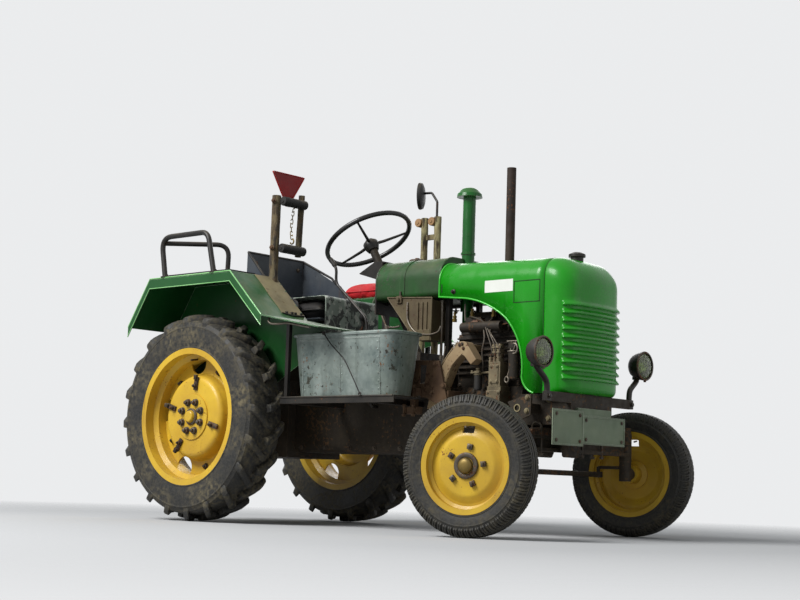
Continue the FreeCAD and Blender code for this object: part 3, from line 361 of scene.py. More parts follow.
def applied(piece: bpy.types.Object) -> bpy.types.Mesh:
    """The mesh that a piece's modifiers give."""
    graph = bpy.context.evaluated_depsgraph_get()
    return bpy.data.meshes.new_from_object(piece.evaluated_get(graph))


def arc(centre: Spot, start: Spot, axis: Vector, angle: float, steps: int) -> list[Vector]:
    """Points on an arc that starts at a point and turns about an axis, in degrees."""
    centre = spot(centre)
    arm = spot(start) - centre
    return [centre + Matrix.Rotation(math.radians(angle) * i / steps, 3, axis) @ arm
            for i in range(steps + 1)]


def smooth_path(points: Sequence[Spot], steps: int = 8) -> list[Vector]:
    """Points on a curve that passes through the given ones (Catmull and Rom's rule)."""
    points = [spot(p) for p in points]
    ends = [points[0] * 2 - points[1], *points, points[-1] * 2 - points[-2]]
    path = []
    for a, b, c, d in zip(ends, ends[1:], ends[2:], ends[3:]):
        for i in range(steps):
            t = i / steps
            path.append(0.5 * ((2 * b) + (c - a) * t + (2 * a - 5 * b + 4 * c - d) * t * t
                               + (3 * b - a - 3 * c + d) * t ** 3))
    path.append(Vector(points[-1]))
    return path


# Shading

class Nodes:
    """A node tree with short calls to add and join its nodes."""

    def __init__(self, tree: bpy.types.NodeTree) -> None:
        """Takes the tree that the nodes go into."""
        self.tree = tree

    def node(self, kind: str, **settings: object) -> bpy.types.Node:
        """Adds a node and sets its properties."""
        made = self.tree.nodes.new(kind)
        for key, value in settings.items():
            setattr(made, key, value)
        return made

    def plug(self, socket: bpy.types.NodeSocket, value: object) -> None:
        """Links a socket to a value, or sets it where the value is plain."""
        if isinstance(value, bpy.types.NodeSocket):
            self.tree.links.new(value, socket)
        elif socket.type == "RGBA":
            socket.default_value = (*value[:3], 1.0)
        else:
            socket.default_value = value

    def feed(self, node: bpy.types.Node, **values: object) -> None:
        """Fills a node's inputs; an underscore in a name stands for a space."""
        for key, value in values.items():
            self.plug(node.inputs[key.replace("_", " ")], value)

    def maths(self, operation: str, *values: object) -> bpy.types.NodeSocket:
        """One step of arithmetic."""
        made = self.node("ShaderNodeMath", operation=operation)
        for socket, value in zip(made.inputs, values):
            self.plug(socket, value)
        return made.outputs[0]

    def times(self, first: object, second: object) -> bpy.types.NodeSocket:
        """The product of two values."""
        return self.maths("MULTIPLY", first, second)

    def band(self, value: object, low: object, high: object,
             out_low: float = 0.0, out_high: float = 1.0) -> bpy.types.NodeSocket:
        """A value spread from one range to another and held at its ends."""
        made = self.node("ShaderNodeMapRange")
        self.feed(made, Value=value, From_Min=low, From_Max=high, To_Min=out_low, To_Max=out_high)
        return made.outputs["Result"]

    def noise(self, scale: object, detail: float = 4.0, stretch: Sequence[float] = (1, 1, 1),
              roughness: float = 0.5) -> bpy.types.NodeSocket:
        """Noise over the piece, as a value from about 0.3 to 0.7."""
        mapping = self.node("ShaderNodeMapping")
        self.feed(mapping, Vector=self.here(), Scale=stretch)
        made = self.node("ShaderNodeTexNoise")
        self.feed(made, Vector=mapping.outputs["Vector"], Scale=scale, Detail=detail,
                  Roughness=roughness)
        return made.outputs["Fac"]

    def here(self) -> bpy.types.NodeSocket:
        """The object's own coordinates."""
        return self.node("ShaderNodeTexCoord").outputs["Object"]

    def mixed(self, share: object, first: object, second: object) -> bpy.types.NodeSocket:
        """A mix of two shaders."""
        made = self.node("ShaderNodeMixShader")
        for socket, value in zip(made.inputs, (share, first, second)):
            self.plug(socket, value)
        return made.outputs[0]


class Shader(Nodes):
    """One material's nodes, round a principled shader."""

    def __init__(self, name: str) -> None:
        """Starts the material."""
        self.material = bpy.data.materials.new(name)
        self.material.use_nodes = True
        super().__init__(self.material.node_tree)
        self.surface = self.tree.nodes["Principled BSDF"]

    def group(self, tree: bpy.types.NodeTree, **values: object) -> bpy.types.NodeSocket:
        """Places a shared effect with its own values and returns what it gives."""
        made = self.node("ShaderNodeGroup", node_tree=tree)
        self.feed(made, **values)
        return made.outputs[0]

    def blend(self, share: object, first: object, second: object) -> bpy.types.NodeSocket:
        """A mix of two colours, plain or from nodes."""
        made = self.node("ShaderNodeMix", data_type="RGBA")
        for number, value in ((0, share), (6, first), (7, second)):
            self.plug(made.inputs[number], value)
        return made.outputs[2]

    def bump(self, height: object, depth: float, strength: float = 1.0) -> None:
        """Feeds a height to the shader's normal, after any bump that is there."""
        made = self.node("ShaderNodeBump")
        self.feed(made, Height=height, Distance=depth, Strength=strength)
        old = self.surface.inputs["Normal"]
        if old.is_linked:
            self.plug(made.inputs["Normal"], old.links[0].from_socket)
        self.plug(old, made.outputs["Normal"])

    def set(self, **values: object) -> bpy.types.Material:
        """Fills inputs of the principled shader and returns the material."""
        self.feed(self.surface, **values)
        return self.material


class Effect(Nodes):
    """A layer that several finishes share: a node group of numbers, built once."""
    ROUGHNESS = 0.62        # of the noise in every effect

    def __init__(self, name: str, **inputs: float) -> None:
        """Starts the group with its inputs and their defaults."""
        super().__init__(bpy.data.node_groups.new(name, "ShaderNodeTree"))
        face = self.tree.interface
        for key, value in inputs.items():
            socket = face.new_socket(key, in_out="INPUT", socket_type="NodeSocketFloat")
            socket.default_value = value
        face.new_socket("Mask", in_out="OUTPUT", socket_type="NodeSocketFloat")
        self.given = self.node("NodeGroupInput").outputs

    def rough(self, scale: object, detail: float,
              stretch: Sequence[float] = (1, 1, 1)) -> bpy.types.NodeSocket:
        """The noise that the effects are made of."""
        return self.noise(scale, detail, stretch, self.ROUGHNESS)

    def above(self, value: object, start: float, span: float, soft: float) -> bpy.types.NodeTree:
        """Gives the share that lies above a limit, which falls as the cover grows."""
        limit = self.maths("SUBTRACT", start, self.times(self.given["Cover"], span))
        return self.give(self.band(value, limit, self.maths("ADD", limit, soft)))

    def give(self, value: bpy.types.NodeSocket) -> bpy.types.NodeTree:
        """Sets what the group gives and returns its tree."""
        self.feed(self.node("NodeGroupOutput"), Mask=value)
        return self.tree


def edge_wear() -> bpy.types.NodeTree:
    """Mask of rubbed edges: where a rounded normal leaves the true one."""
    made = Effect("edge_wear", Radius=0.003, Scale=60.0)
    rounded = made.node("ShaderNodeBevel", samples=4)
    made.feed(rounded, Radius=made.given["Radius"])
    dot = made.node("ShaderNodeVectorMath", operation="DOT_PRODUCT")
    made.plug(dot.inputs[0], rounded.outputs["Normal"])
    made.plug(dot.inputs[1], made.node("ShaderNodeNewGeometry").outputs["Normal"])
    bent = made.maths("SUBTRACT", 1.0, dot.outputs["Value"])
    broken = made.times(made.rough(made.given["Scale"], 5.0), 6.0)
    return made.give(made.band(made.times(bent, broken), 0.1, 0.55))


def road_dust() -> bpy.types.NodeTree:
    """Mask of dust: on faces that look up, and thicker towards the ground."""
    made = Effect("road_dust", Amount=0.4, Scale=9.0, Low=0.5)
    facing, height = (made.node("ShaderNodeSeparateXYZ") for _ in range(2))
    made.plug(facing.inputs[0], made.node("ShaderNodeNewGeometry").outputs["Normal"])
    made.plug(height.inputs[0], made.here())
    up = made.band(facing.outputs["Z"], 0.1, 1.0)
    low = made.times(made.band(height.outputs["Z"], 0.9, 0.15), made.given["Low"])
    patches = made.band(made.rough(made.given["Scale"], 6.0), 0.38, 0.66)
    both = made.times(made.maths("ADD", up, low), patches)
    return made.give(made.band(made.times(both, made.given["Amount"]), 0.0, 1.0))


def specks() -> bpy.types.NodeTree:
    """Mask of small chips and rust spots, gathered in wide patches."""
    made = Effect("specks", Scale=120.0, Cover=0.3)
    fine = made.rough(made.given["Scale"], 8.0)
    wide = made.rough(made.times(made.given["Scale"], 0.09), 4.0)
    both = made.maths("ADD", made.times(fine, 0.62), made.times(wide, 0.38))
    return made.above(both, 0.66, 0.24, 0.035)


def streaks() -> bpy.types.NodeTree:
    """Mask of runs and stains drawn down by rain."""
    made = Effect("streaks", Scale=28.0, Cover=0.4)
    return made.above(made.rough(made.given["Scale"], 5.0, (1.0, 1.0, 0.07)), 0.68, 0.26, 0.16)


def grain() -> bpy.types.NodeTree:
    """Fine uneven height, as of brushed paint or a sand casting."""
    made = Effect("grain", Scale=300.0, Waves=14.0)
    fine, slow = made.rough(made.given["Scale"], 3.0), made.rough(made.given["Waves"], 2.0)
    return made.give(made.maths("ADD", made.times(fine, 0.35), slow))


EDGE_WEAR, ROAD_DUST, SPECKS, STREAKS, GRAIN = (effect()
                                                for effect in (edge_wear, road_dust, specks,
                                                               streaks, grain))


@dataclass(frozen=True)
class Finish:
    """A weathered coat: a colour in two tones, then spots, rubbed edges, runs and dust.

    Every share runs from 0, none, to 1, full.
    """
    name: str
    colour: Colour
    second: Colour
    tone_scale: float = 5.0
    roughness: float = 0.45
    metallic: float = 0.0
    coat: float = 0.0
    specular: float = 0.28
    spots: float = 0.15
    spot_scale: float = 110.0
    spot_colour: Colour = srgb(96, 62, 40)
    edges: float = 0.5
    edge_radius: float = 0.003
    edge_colour: Colour = srgb(120, 104, 88)
    runs: float = 0.0
    run_colour: Colour = srgb(70, 46, 30)
    dust: float = 0.35
    low_dust: float = 0.5
    dust_colour: Colour = srgb(142, 128, 104)
    grain_scale: float = 300.0
    grain_depth: float = 0.0004

    def build(self) -> bpy.types.Material:
        """Makes the material, with nodes for each layer that is wanted."""
        shader = Shader(self.name)
        tones = shader.band(shader.noise(self.tone_scale, 6.0), 0.36, 0.66)
        colour = shader.blend(tones, self.colour, self.second)
        rough = shader.band(shader.noise(self.tone_scale * 5, 5.0), 0.3, 0.7,
                            max(self.roughness - 0.1, 0.05), min(self.roughness + 0.12, 1.0))
        if self.runs:
            mask = shader.times(shader.group(STREAKS, Cover=self.runs), 0.75)
            colour = shader.blend(mask, colour, self.run_colour)
        if self.spots:
            mask = shader.group(SPECKS, Scale=self.spot_scale, Cover=self.spots)
            colour = shader.blend(mask, colour, self.spot_colour)
            rough = shader.maths("MAXIMUM", rough, shader.times(mask, 0.85))
            shader.bump(shader.maths("SUBTRACT", 1.0, mask), 0.0003)
        if self.edges:
            mask = shader.times(shader.group(EDGE_WEAR, Radius=self.edge_radius), self.edges)
            colour = shader.blend(mask, colour, self.edge_colour)
        if self.dust:
            mask = shader.group(ROAD_DUST, Amount=self.dust, Low=self.low_dust)
            colour = shader.blend(mask, colour, self.dust_colour)
            rough = shader.maths("MAXIMUM", rough, shader.times(mask, 0.9))
        shader.bump(shader.group(GRAIN, Scale=self.grain_scale), self.grain_depth)
        return shader.set(Base_Color=colour, Roughness=rough, Metallic=self.metallic,
                          Coat_Weight=self.coat, Coat_Roughness=0.12,
                          Specular_IOR_Level=self.specular)


@dataclass(frozen=True)
class Rubber:
    """Tyre rubber: black where it rubs, brown-grey with field dust elsewhere."""
    name: str
    dust: float
    colour: Colour = srgb(24, 24, 23)
    grey: Colour = srgb(46, 45, 42)
    worn: Colour = srgb(92, 88, 76)
    dust_colour: Colour = srgb(104, 96, 76)
    roughness: float = 0.72

    def build(self) -> bpy.types.Material:
        """Makes the material."""
        shader = Shader(self.name)
        wide = shader.band(shader.noise(7.0, 6.0), 0.36, 0.68)
        fine = shader.band(shader.noise(55.0, 7.0), 0.4, 0.68)
        cover = shader.times(shader.times(wide, fine), self.dust)
        tones = shader.band(shader.noise(130.0, 3.0), 0.35, 0.7)
        colour = shader.blend(cover, shader.blend(tones, self.colour, self.grey), self.dust_colour)
        rubbed = shader.times(shader.group(EDGE_WEAR, Radius=0.005, Scale=40.0), 0.35)
        colour = shader.blend(rubbed, colour, self.worn)
        rough = shader.band(cover, 0.0, 0.6, self.roughness - 0.14, 0.95)
        shader.bump(shader.group(GRAIN, Scale=420.0), 0.0006)
        shader.bump(fine, 0.0004)
        return shader.set(Base_Color=colour, Roughness=rough, Specular_IOR_Level=0.35)


@dataclass(frozen=True)
class Zinc:
    """Old galvanised sheet: spangled, stained and rusting where the zinc has gone."""
    name: str
    colour: Colour = srgb(138, 148, 142)
    dark: Colour = srgb(84, 96, 94)

    def build(self) -> bpy.types.Material:
        """Makes the material."""
        shader = Shader(self.name)
        spangle = shader.node("ShaderNodeTexVoronoi")
        shader.feed(spangle, Vector=shader.here(), Scale=70.0)
        cell = shader.node("ShaderNodeSeparateColor")
        shader.feed(cell, Color=spangle.outputs["Color"])
        mottle = shader.band(shader.noise(6.0, 8.0), 0.38, 0.64)
        tone = shader.maths("ADD", shader.times(cell.outputs[0], 0.25), shader.times(mottle, 0.75))
        colour = shader.blend(tone, self.colour, self.dark)
        for mask, share, stain in (
                (shader.group(STREAKS, Scale=14.0, Cover=0.62), 0.55, srgb(60, 68, 60)),
                (shader.group(SPECKS, Scale=34.0, Cover=0.42), 1.0, srgb(38, 34, 28)),
                (shader.group(SPECKS, Scale=60.0, Cover=0.2), 1.0, srgb(104, 70, 44)),
                (shader.group(ROAD_DUST, Amount=0.9, Low=1.2, Scale=7.0), 0.6, srgb(86, 96, 72)),
                (shader.group(EDGE_WEAR, Radius=0.004), 0.6, srgb(190, 196, 190))):
            colour = shader.blend(shader.times(mask, share), colour, stain)
        shader.bump(shader.noise(3.2, 2.0), 0.012, 0.35)
        shader.bump(shader.group(GRAIN, Scale=220.0), 0.0006)
        return shader.set(Base_Color=colour, Roughness=shader.band(tone, 0.0, 1.0, 0.42, 0.68),
                          Metallic=0.35)


@dataclass(frozen=True)
class Glass:
    """Tinted glass over a lamp, with ribs."""
    name: str
    colour: Colour
    ribs: float                 # how close the ribs lie
    roughness: float = 0.04

    def build(self) -> bpy.types.Material:
        """Makes the material."""
        shader = Shader(self.name)
        wave = shader.node("ShaderNodeTexWave", bands_direction="Y")
        shader.feed(wave, Vector=shader.here(), Scale=self.ribs)
        shader.bump(wave.outputs["Fac"], 0.0012, 0.6)
        smear = shader.band(shader.noise(30.0, 5.0), 0.35, 0.75, self.roughness,
                            self.roughness + 0.16)
        return shader.set(Base_Color=self.colour, Roughness=smear, Transmission_Weight=0.92,
                          IOR=1.5)


@dataclass(frozen=True)
class Fleece:
    """Knitted cloth, with a thread pattern and blotches of other colours."""
    name: str
    colour: Colour
    blotch: Colour
    third: Colour
    blotch_scale: float = 14.0
    cover: float = 0.5          # where the noise turns to the blotch colour
    threads: float = 150.0      # how close the threads lie

    def build(self) -> bpy.types.Material:
        """Makes the material."""
        shader = Shader(self.name)
        blots = shader.node("ShaderNodeTexNoise")
        shader.feed(blots, Vector=shader.here(), Scale=self.blotch_scale, Detail=5.0, Roughness=0.6,
                     Distortion=1.4)
        mask = shader.band(blots.outputs["Fac"], self.cover, self.cover + 0.03)
        colour = shader.blend(mask, self.colour, self.blotch)
        small = shader.band(shader.noise(self.blotch_scale * 2.6, 4.0), 0.56, 0.6)
        colour = shader.blend(shader.times(small, 0.8), colour, self.third)
        fade = shader.band(shader.noise(4.0, 4.0), 0.35, 0.7)
        colour = shader.blend(shader.times(fade, 0.18), colour, srgb(120, 112, 96))
        waves = []
        for way in ("X", "Z"):
            wave = shader.node("ShaderNodeTexWave", bands_direction=way)
            shader.feed(wave, Vector=shader.here(), Scale=self.threads, Distortion=1.2)
            waves.append(wave.outputs["Fac"])
        shader.bump(shader.maths("MAXIMUM", *waves), 0.0004, 0.5)
        shader.bump(shader.noise(240.0, 6.0), 0.0015, 0.7)
        return shader.set(Base_Color=colour, Roughness=0.93, Sheen_Weight=0.5, Sheen_Roughness=0.5)


@dataclass(frozen=True)
class Bark:
    """Weathered posts: flaking pale paint over dark, cracked wood or rusty steel."""
    name: str
    pale: Colour
    cover: float
    dark: Colour = srgb(40, 34, 26)

    def build(self) -> bpy.types.Material:
        """Makes the material."""
        shader = Shader(self.name)
        cracks = shader.band(shader.noise(60.0, 9.0, (1.0, 1.0, 0.22)), self.cover - 0.05,
                             self.cover + 0.05)
        flakes = shader.band(shader.noise(24.0, 6.0), 0.42, 0.6)
        colour = shader.blend(cracks, self.pale, self.dark)
        colour = shader.blend(shader.times(flakes, 0.6), colour, srgb(88, 70, 44))
        shader.bump(cracks, 0.0025, 0.8)
        shader.bump(shader.noise(200.0, 5.0), 0.0008)
        return shader.set(Base_Color=colour, Roughness=0.86)


GREEN_PAINT = Finish("green_paint", srgb(18, 130, 14), srgb(22, 138, 18), tone_scale=3.0,
                     roughness=0.28, coat=0.10, spots=0.02, spot_scale=150.0,
                     spot_colour=srgb(40, 70, 34), edges=0.25, edge_colour=srgb(112, 190, 96),
                     dust=0.08, low_dust=0.6, grain_depth=0.00012)
FENDER_GREEN = Finish("fender_green", srgb(16, 66, 26), srgb(26, 78, 34), tone_scale=4.0,
                      roughness=0.4, coat=0.04, spots=0.12, spot_scale=90.0, edges=0.7,
                      edge_colour=srgb(176, 196, 168), runs=0.12, dust=0.3, grain_depth=0.0002)
TANK_GREEN = Finish("tank_green", srgb(20, 70, 20), srgb(32, 58, 28), tone_scale=7.0,
                    roughness=0.42, coat=0.03, spots=0.3, spot_scale=70.0,
                    spot_colour=srgb(52, 52, 40), edges=0.6, edge_colour=srgb(104, 112, 92),
                    runs=0.35, run_colour=srgb(34, 44, 30), dust=0.35, grain_depth=0.0003)
INTAKE_GREEN = Finish("intake_green", srgb(12, 92, 26), srgb(10, 74, 22), roughness=0.3, coat=0.08,
                      spots=0.08, dust=0.15)
EXHAUST = Finish("exhaust_brown", srgb(50, 38, 30), srgb(36, 29, 25), roughness=0.75, spots=0.4,
                 edges=0.3, dust=0.15)
WHEEL_YELLOW = Finish("wheel_yellow", srgb(204, 168, 48), srgb(182, 144, 40), tone_scale=4.0,
                      roughness=0.42, coat=0.08, spots=0.24, spot_scale=120.0,
                      spot_colour=srgb(116, 66, 26), edges=0.45, edge_colour=srgb(150, 96, 44),
                      runs=0.2, run_colour=srgb(120, 74, 26), dust=0.4, low_dust=0.7,
                      dust_colour=srgb(136, 104, 58), grain_depth=0.0003)
BLACK_PAINT = Finish("black_paint", srgb(24, 23, 22), srgb(34, 31, 28), roughness=0.4, spots=0.22,
                     edges=0.5, edge_colour=srgb(84, 70, 56), dust=0.25)
CAST_IRON = Finish("cast_iron", srgb(44, 38, 31), srgb(30, 27, 24), tone_scale=9.0, roughness=0.66,
                   metallic=0.15, spots=0.42, spot_scale=60.0, spot_colour=srgb(82, 60, 40),
                   edges=0.5, edge_colour=srgb(108, 92, 72), runs=0.35, run_colour=srgb(18, 16, 14),
                    dust=0.55, dust_colour=srgb(112, 96, 72), grain_scale=190.0, grain_depth=0.0012)
SPRING_STEEL = Finish("spring_steel", srgb(52, 44, 36), srgb(34, 30, 27), roughness=0.6,
                      metallic=0.3, spots=0.5, edges=0.6, dust=0.5)
RUSTY = Finish("rusty_steel", srgb(98, 76, 56), srgb(72, 54, 40), tone_scale=11.0, roughness=0.82,
               spots=0.5, spot_scale=50.0, spot_colour=srgb(62, 40, 28), edges=0.4,
               edge_colour=srgb(146, 122, 96), dust=0.4, dust_colour=srgb(136, 116, 90),
               grain_scale=160.0, grain_depth=0.001)
DUCT_PAINT = Finish("duct_paint", srgb(150, 130, 98), srgb(128, 106, 78), tone_scale=9.0,
                    roughness=0.7, spots=0.4, spot_scale=60.0, spot_colour=srgb(96, 70, 48),
                    edges=0.5, edge_colour=srgb(178, 160, 130), runs=0.25, dust=0.4)
BOX_PAINT = Finish("box_paint", srgb(92, 82, 58), srgb(74, 62, 44), tone_scale=8.0, roughness=0.62,
                   spots=0.42, spot_scale=64.0, spot_colour=srgb(66, 46, 32), edges=0.7,
                   edge_colour=srgb(132, 120, 94), runs=0.4, run_colour=srgb(58, 66, 42), dust=0.45)
WORN_SHEET = Finish("worn_sheet", srgb(134, 124, 92), srgb(104, 96, 72), tone_scale=10.0,
                    roughness=0.78, spots=0.4, spot_scale=44.0, spot_colour=srgb(86, 68, 46),
                    edges=0.4, runs=0.3, dust=0.5)
BARE_STEEL = Finish("bare_steel", srgb(120, 114, 104), srgb(88, 80, 70), roughness=0.45,
                    metallic=0.75, spots=0.35, spot_scale=140.0, edges=0.4,
                    edge_colour=srgb(190, 184, 172), dust=0.3)
BRASS = Finish("brass", srgb(122, 102, 54), srgb(84, 72, 40), roughness=0.45, metallic=0.7,
               spots=0.3, edges=0.4, edge_colour=srgb(190, 160, 90), dust=0.3)
PALE_PLATE = Finish("pale_plate", srgb(116, 130, 106), srgb(98, 112, 90), tone_scale=8.0,
                    roughness=0.5, spots=0.14, edges=0.7, edge_colour=srgb(190, 196, 178), runs=0.2,
                     run_colour=srgb(74, 80, 58), dust=0.35)
WHITE_LABEL = Finish("white_label", srgb(226, 228, 222), srgb(212, 214, 206), roughness=0.4,
                     spots=0.03, edges=0.2, dust=0.1)
RED_PLATE = Finish("red_plate", srgb(150, 14, 16), srgb(122, 10, 14), roughness=0.36, spots=0.06,
                   edges=0.5, edge_colour=srgb(226, 60, 54), dust=0.12)
BLACK_RUBBER = Finish("black_rubber", srgb(22, 22, 22), srgb(32, 31, 30), roughness=0.62,
                      spots=0.08, edges=0.25, dust=0.3)
GRIP_PLASTIC = Finish("grip_plastic", srgb(18, 18, 18), srgb(26, 25, 24), roughness=0.32, coat=0.25,
                       spots=0.03, edges=0.3, edge_colour=srgb(90, 86, 80), dust=0.12)
SEAT_PAINT = Finish("seat_paint", srgb(46, 52, 60), srgb(62, 66, 70), tone_scale=7.0, roughness=0.5,
                     spots=0.3, spot_scale=60.0, spot_colour=srgb(34, 32, 30), edges=0.7,
                    edge_colour=srgb(120, 122, 120), runs=0.2, dust=0.45,
                    dust_colour=srgb(128, 126, 116))
ROLLER = Finish("roller", srgb(156, 122, 84), srgb(122, 92, 62), roughness=0.6, spots=0.3,
                edges=0.5, dust=0.3)
CHAIN_STEEL = Finish("chain_steel", srgb(84, 78, 70), srgb(54, 48, 42), roughness=0.5, metallic=0.6,
                      spots=0.5, edges=0.5, dust=0.2)
DARK_GAP = Finish("dark_gap", srgb(12, 12, 11), srgb(20, 19, 17), roughness=0.8, spots=0.1,
                  edges=0.0, dust=0.2)
MIRROR_GLASS = Finish("mirror_glass", srgb(200, 206, 208), srgb(186, 192, 194), roughness=0.06,
                      metallic=1.0, spots=0.0, edges=0.0, dust=0.1, grain_depth=0.00002)
REFLECTOR = Finish("reflector", srgb(196, 200, 190), srgb(170, 176, 160), roughness=0.16,
                   metallic=1.0, spots=0.05, edges=0.0, dust=0.1, grain_depth=0.00005)
RED_VINYL = Finish("red_vinyl", srgb(186, 32, 38), srgb(160, 26, 34), tone_scale=9.0, roughness=0.5,
                    spots=0.05, edges=0.0, dust=0.22, grain_scale=380.0, grain_depth=0.0008,
                   spot_colour=srgb(120, 40, 38))
DARK_VINYL = Finish("dark_vinyl", srgb(30, 30, 32), srgb(44, 42, 42), roughness=0.55, spots=0.15,
                    edges=0.0, dust=0.35, grain_scale=360.0, grain_depth=0.0008)
# painted highlight: a pale bright green that stands for the light along the fenders' folded edges
LIP_HIGHLIGHT = Finish("lip_bright", srgb(150, 206, 140), srgb(96, 176, 92), roughness=0.3, coat=0.3,
                    spots=0.1, edges=0.4, dust=0.1)
# painted highlight: a brighter green than the hood's paint, standing for the light along the pressed
# beads
ARCH_BEAD_HIGHLIGHT = Finish("arch_bead", srgb(46, 168, 40), srgb(60, 180, 50), roughness=0.25, coat=0.4,
                   spots=0.03, edges=0.3, edge_colour=srgb(150, 220, 130), dust=0.05)
DIAL_FACE = Finish("dial_face", srgb(222, 218, 200), srgb(206, 200, 180), roughness=0.4, spots=0.05,
                    edges=0.0, dust=0.1)
PUMP_METAL = Finish("pump_metal", srgb(120, 108, 84), srgb(84, 76, 60), tone_scale=14.0,
                    roughness=0.5, metallic=0.4, spots=0.4, spot_scale=80.0, edges=0.6,
                    edge_colour=srgb(178, 168, 140), runs=0.3, dust=0.35)
COVER_PINK = Finish("cover_worn", srgb(116, 84, 66), srgb(92, 66, 52), tone_scale=16.0,
                    roughness=0.6, spots=0.45, spot_scale=70.0, spot_colour=srgb(58, 42, 32),
                    edges=0.7, edge_colour=srgb(176, 146, 122), dust=0.3)


@cache
def paint(finish: object) -> bpy.types.Material:
    """The material of a finish, made the first time that a piece asks for it."""
    return finish.build()


REAR_RUBBER = Rubber("rear_rubber", dust=0.95)
FRONT_RUBBER = Rubber("front_rubber", dust=0.6)
TUB_ZINC = Zinc("tub_zinc")
CLEAR_GLASS = Glass("clear_glass", colour=srgb(190, 204, 150), ribs=26.0)
RED_GLASS = Glass("red_glass", colour=srgb(150, 12, 10), ribs=40.0, roughness=0.12)
FLEECE = Fleece("fleece", srgb(142, 156, 142), srgb(28, 40, 34), srgb(206, 210, 198))
POST_DARK = Bark("post_dark", pale=srgb(96, 86, 62), cover=0.47)
POST_PALE = Bark("post_pale", pale=srgb(150, 142, 104), cover=0.56)

# the record's slot: the finishes whose names differ from it
SLOT_FINISHES = {"bare_steel": (CHAIN_STEEL, BRASS, MIRROR_GLASS),
                 "black_paint": (SEAT_PAINT, DARK_GAP),
                 "rusty_steel": (DUCT_PAINT, BOX_PAINT, ROLLER, POST_DARK, POST_PALE, COVER_PINK),
                 "black_plastic": (BLACK_RUBBER, GRIP_PLASTIC),
                 "dark_cast": (PUMP_METAL, CAST_IRON), "pale_plate": (WHITE_LABEL, DIAL_FACE),
                 "green_paint": (ARCH_BEAD_HIGHLIGHT,), "fender_green": (LIP_HIGHLIGHT,),
                 "dark_green": (TANK_GREEN,), "zinc": (TUB_ZINC,), "camo_fleece": (FLEECE,),
                 "red_cloth": (RED_VINYL,), }
SLOTS = {finish.name: slot for slot, finishes in SLOT_FINISHES.items() for finish in finishes}


# The frame's own solids

# node: its finish
NODE_FINISHES: dict[str, object] = {
    "engine": CAST_IRON, "engine_fittings": CAST_IRON, "gearbox": CAST_IRON,
    "rear_axle_housing": CAST_IRON, "drawbar_hitch": BLACK_PAINT, "front_bracket": CAST_IRON,
    "front_axle": CAST_IRON, "front_spring": SPRING_STEEL, "hood": GREEN_PAINT,
    "nose": GREEN_PAINT, "radiator": BLACK_PAINT, "fuel_tank": TANK_GREEN,
    "dash_panel": BLACK_PAINT, "steering_box": CAST_IRON, "battery_box": BOX_PAINT,
    "air_intake": INTAKE_GREEN, "exhaust_pipe": EXHAUST, "headlamps": BLACK_PAINT,
    "lamp_lenses": CLEAR_GLASS, "front_plates": PALE_PLATE, "fender_right": FENDER_GREEN,
    "fender_left": FENDER_GREEN, "footboards": BLACK_PAINT, "handrail_right": BLACK_PAINT,
    "tail_lamps": RED_GLASS, "pad_right": DARK_VINYL, "cushion_left": RED_VINYL,
    "seat_shell": SEAT_PAINT, "seat_cushion": DARK_VINYL, "seat_blanket": FLEECE,
    "seat_support": BLACK_PAINT, "controls": BLACK_PAINT, "rear_rack": POST_DARK,
    "red_triangle": RED_PLATE, "front_rack": POST_PALE, "mirror": BLACK_PAINT,
    "side_tub": TUB_ZINC, "side_bracket": RUSTY, "air_duct": DUCT_PAINT,
    "knuckle_right": CAST_IRON, "knuckle_left": CAST_IRON, "tie_rod": CAST_IRON,
    "pitman_arm": CAST_IRON, "drag_link": CAST_IRON, "steering_wheel": GRIP_PLASTIC,
    "rear_wheel_right": WHEEL_YELLOW, "rear_wheel_left": WHEEL_YELLOW,
    "rear_tyre_right": REAR_RUBBER, "rear_tyre_left": REAR_RUBBER,
    "front_tyre_right": FRONT_RUBBER, "front_tyre_left": FRONT_RUBBER,
    "front_wheel_right": WHEEL_YELLOW, "front_wheel_left": WHEEL_YELLOW,
}


def dress_nodes() -> None:
    """Gives every solid of the frame its finish."""
    for name, finish in NODE_FINISHES.items():
        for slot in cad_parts[name].material_slots:
            slot.material = paint(finish)


def attach(piece: bpy.types.Object, body: str, slot: str, *nodes: str) -> bpy.types.Object:
    """Sets a finished piece on a body and hides the solids of the frame that it replaces.

    Args:
        piece: the finished piece.
        body: the body that it rides on.
        slot: the record's material slot of its finish; not used.
        nodes: solids of the frame that it replaces.

    Returns:
        The piece.
    """
    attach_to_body(piece, body)
    if nodes:
        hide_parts(*nodes)
    log.info("%s rides on %s", piece.name, body)
    return piece


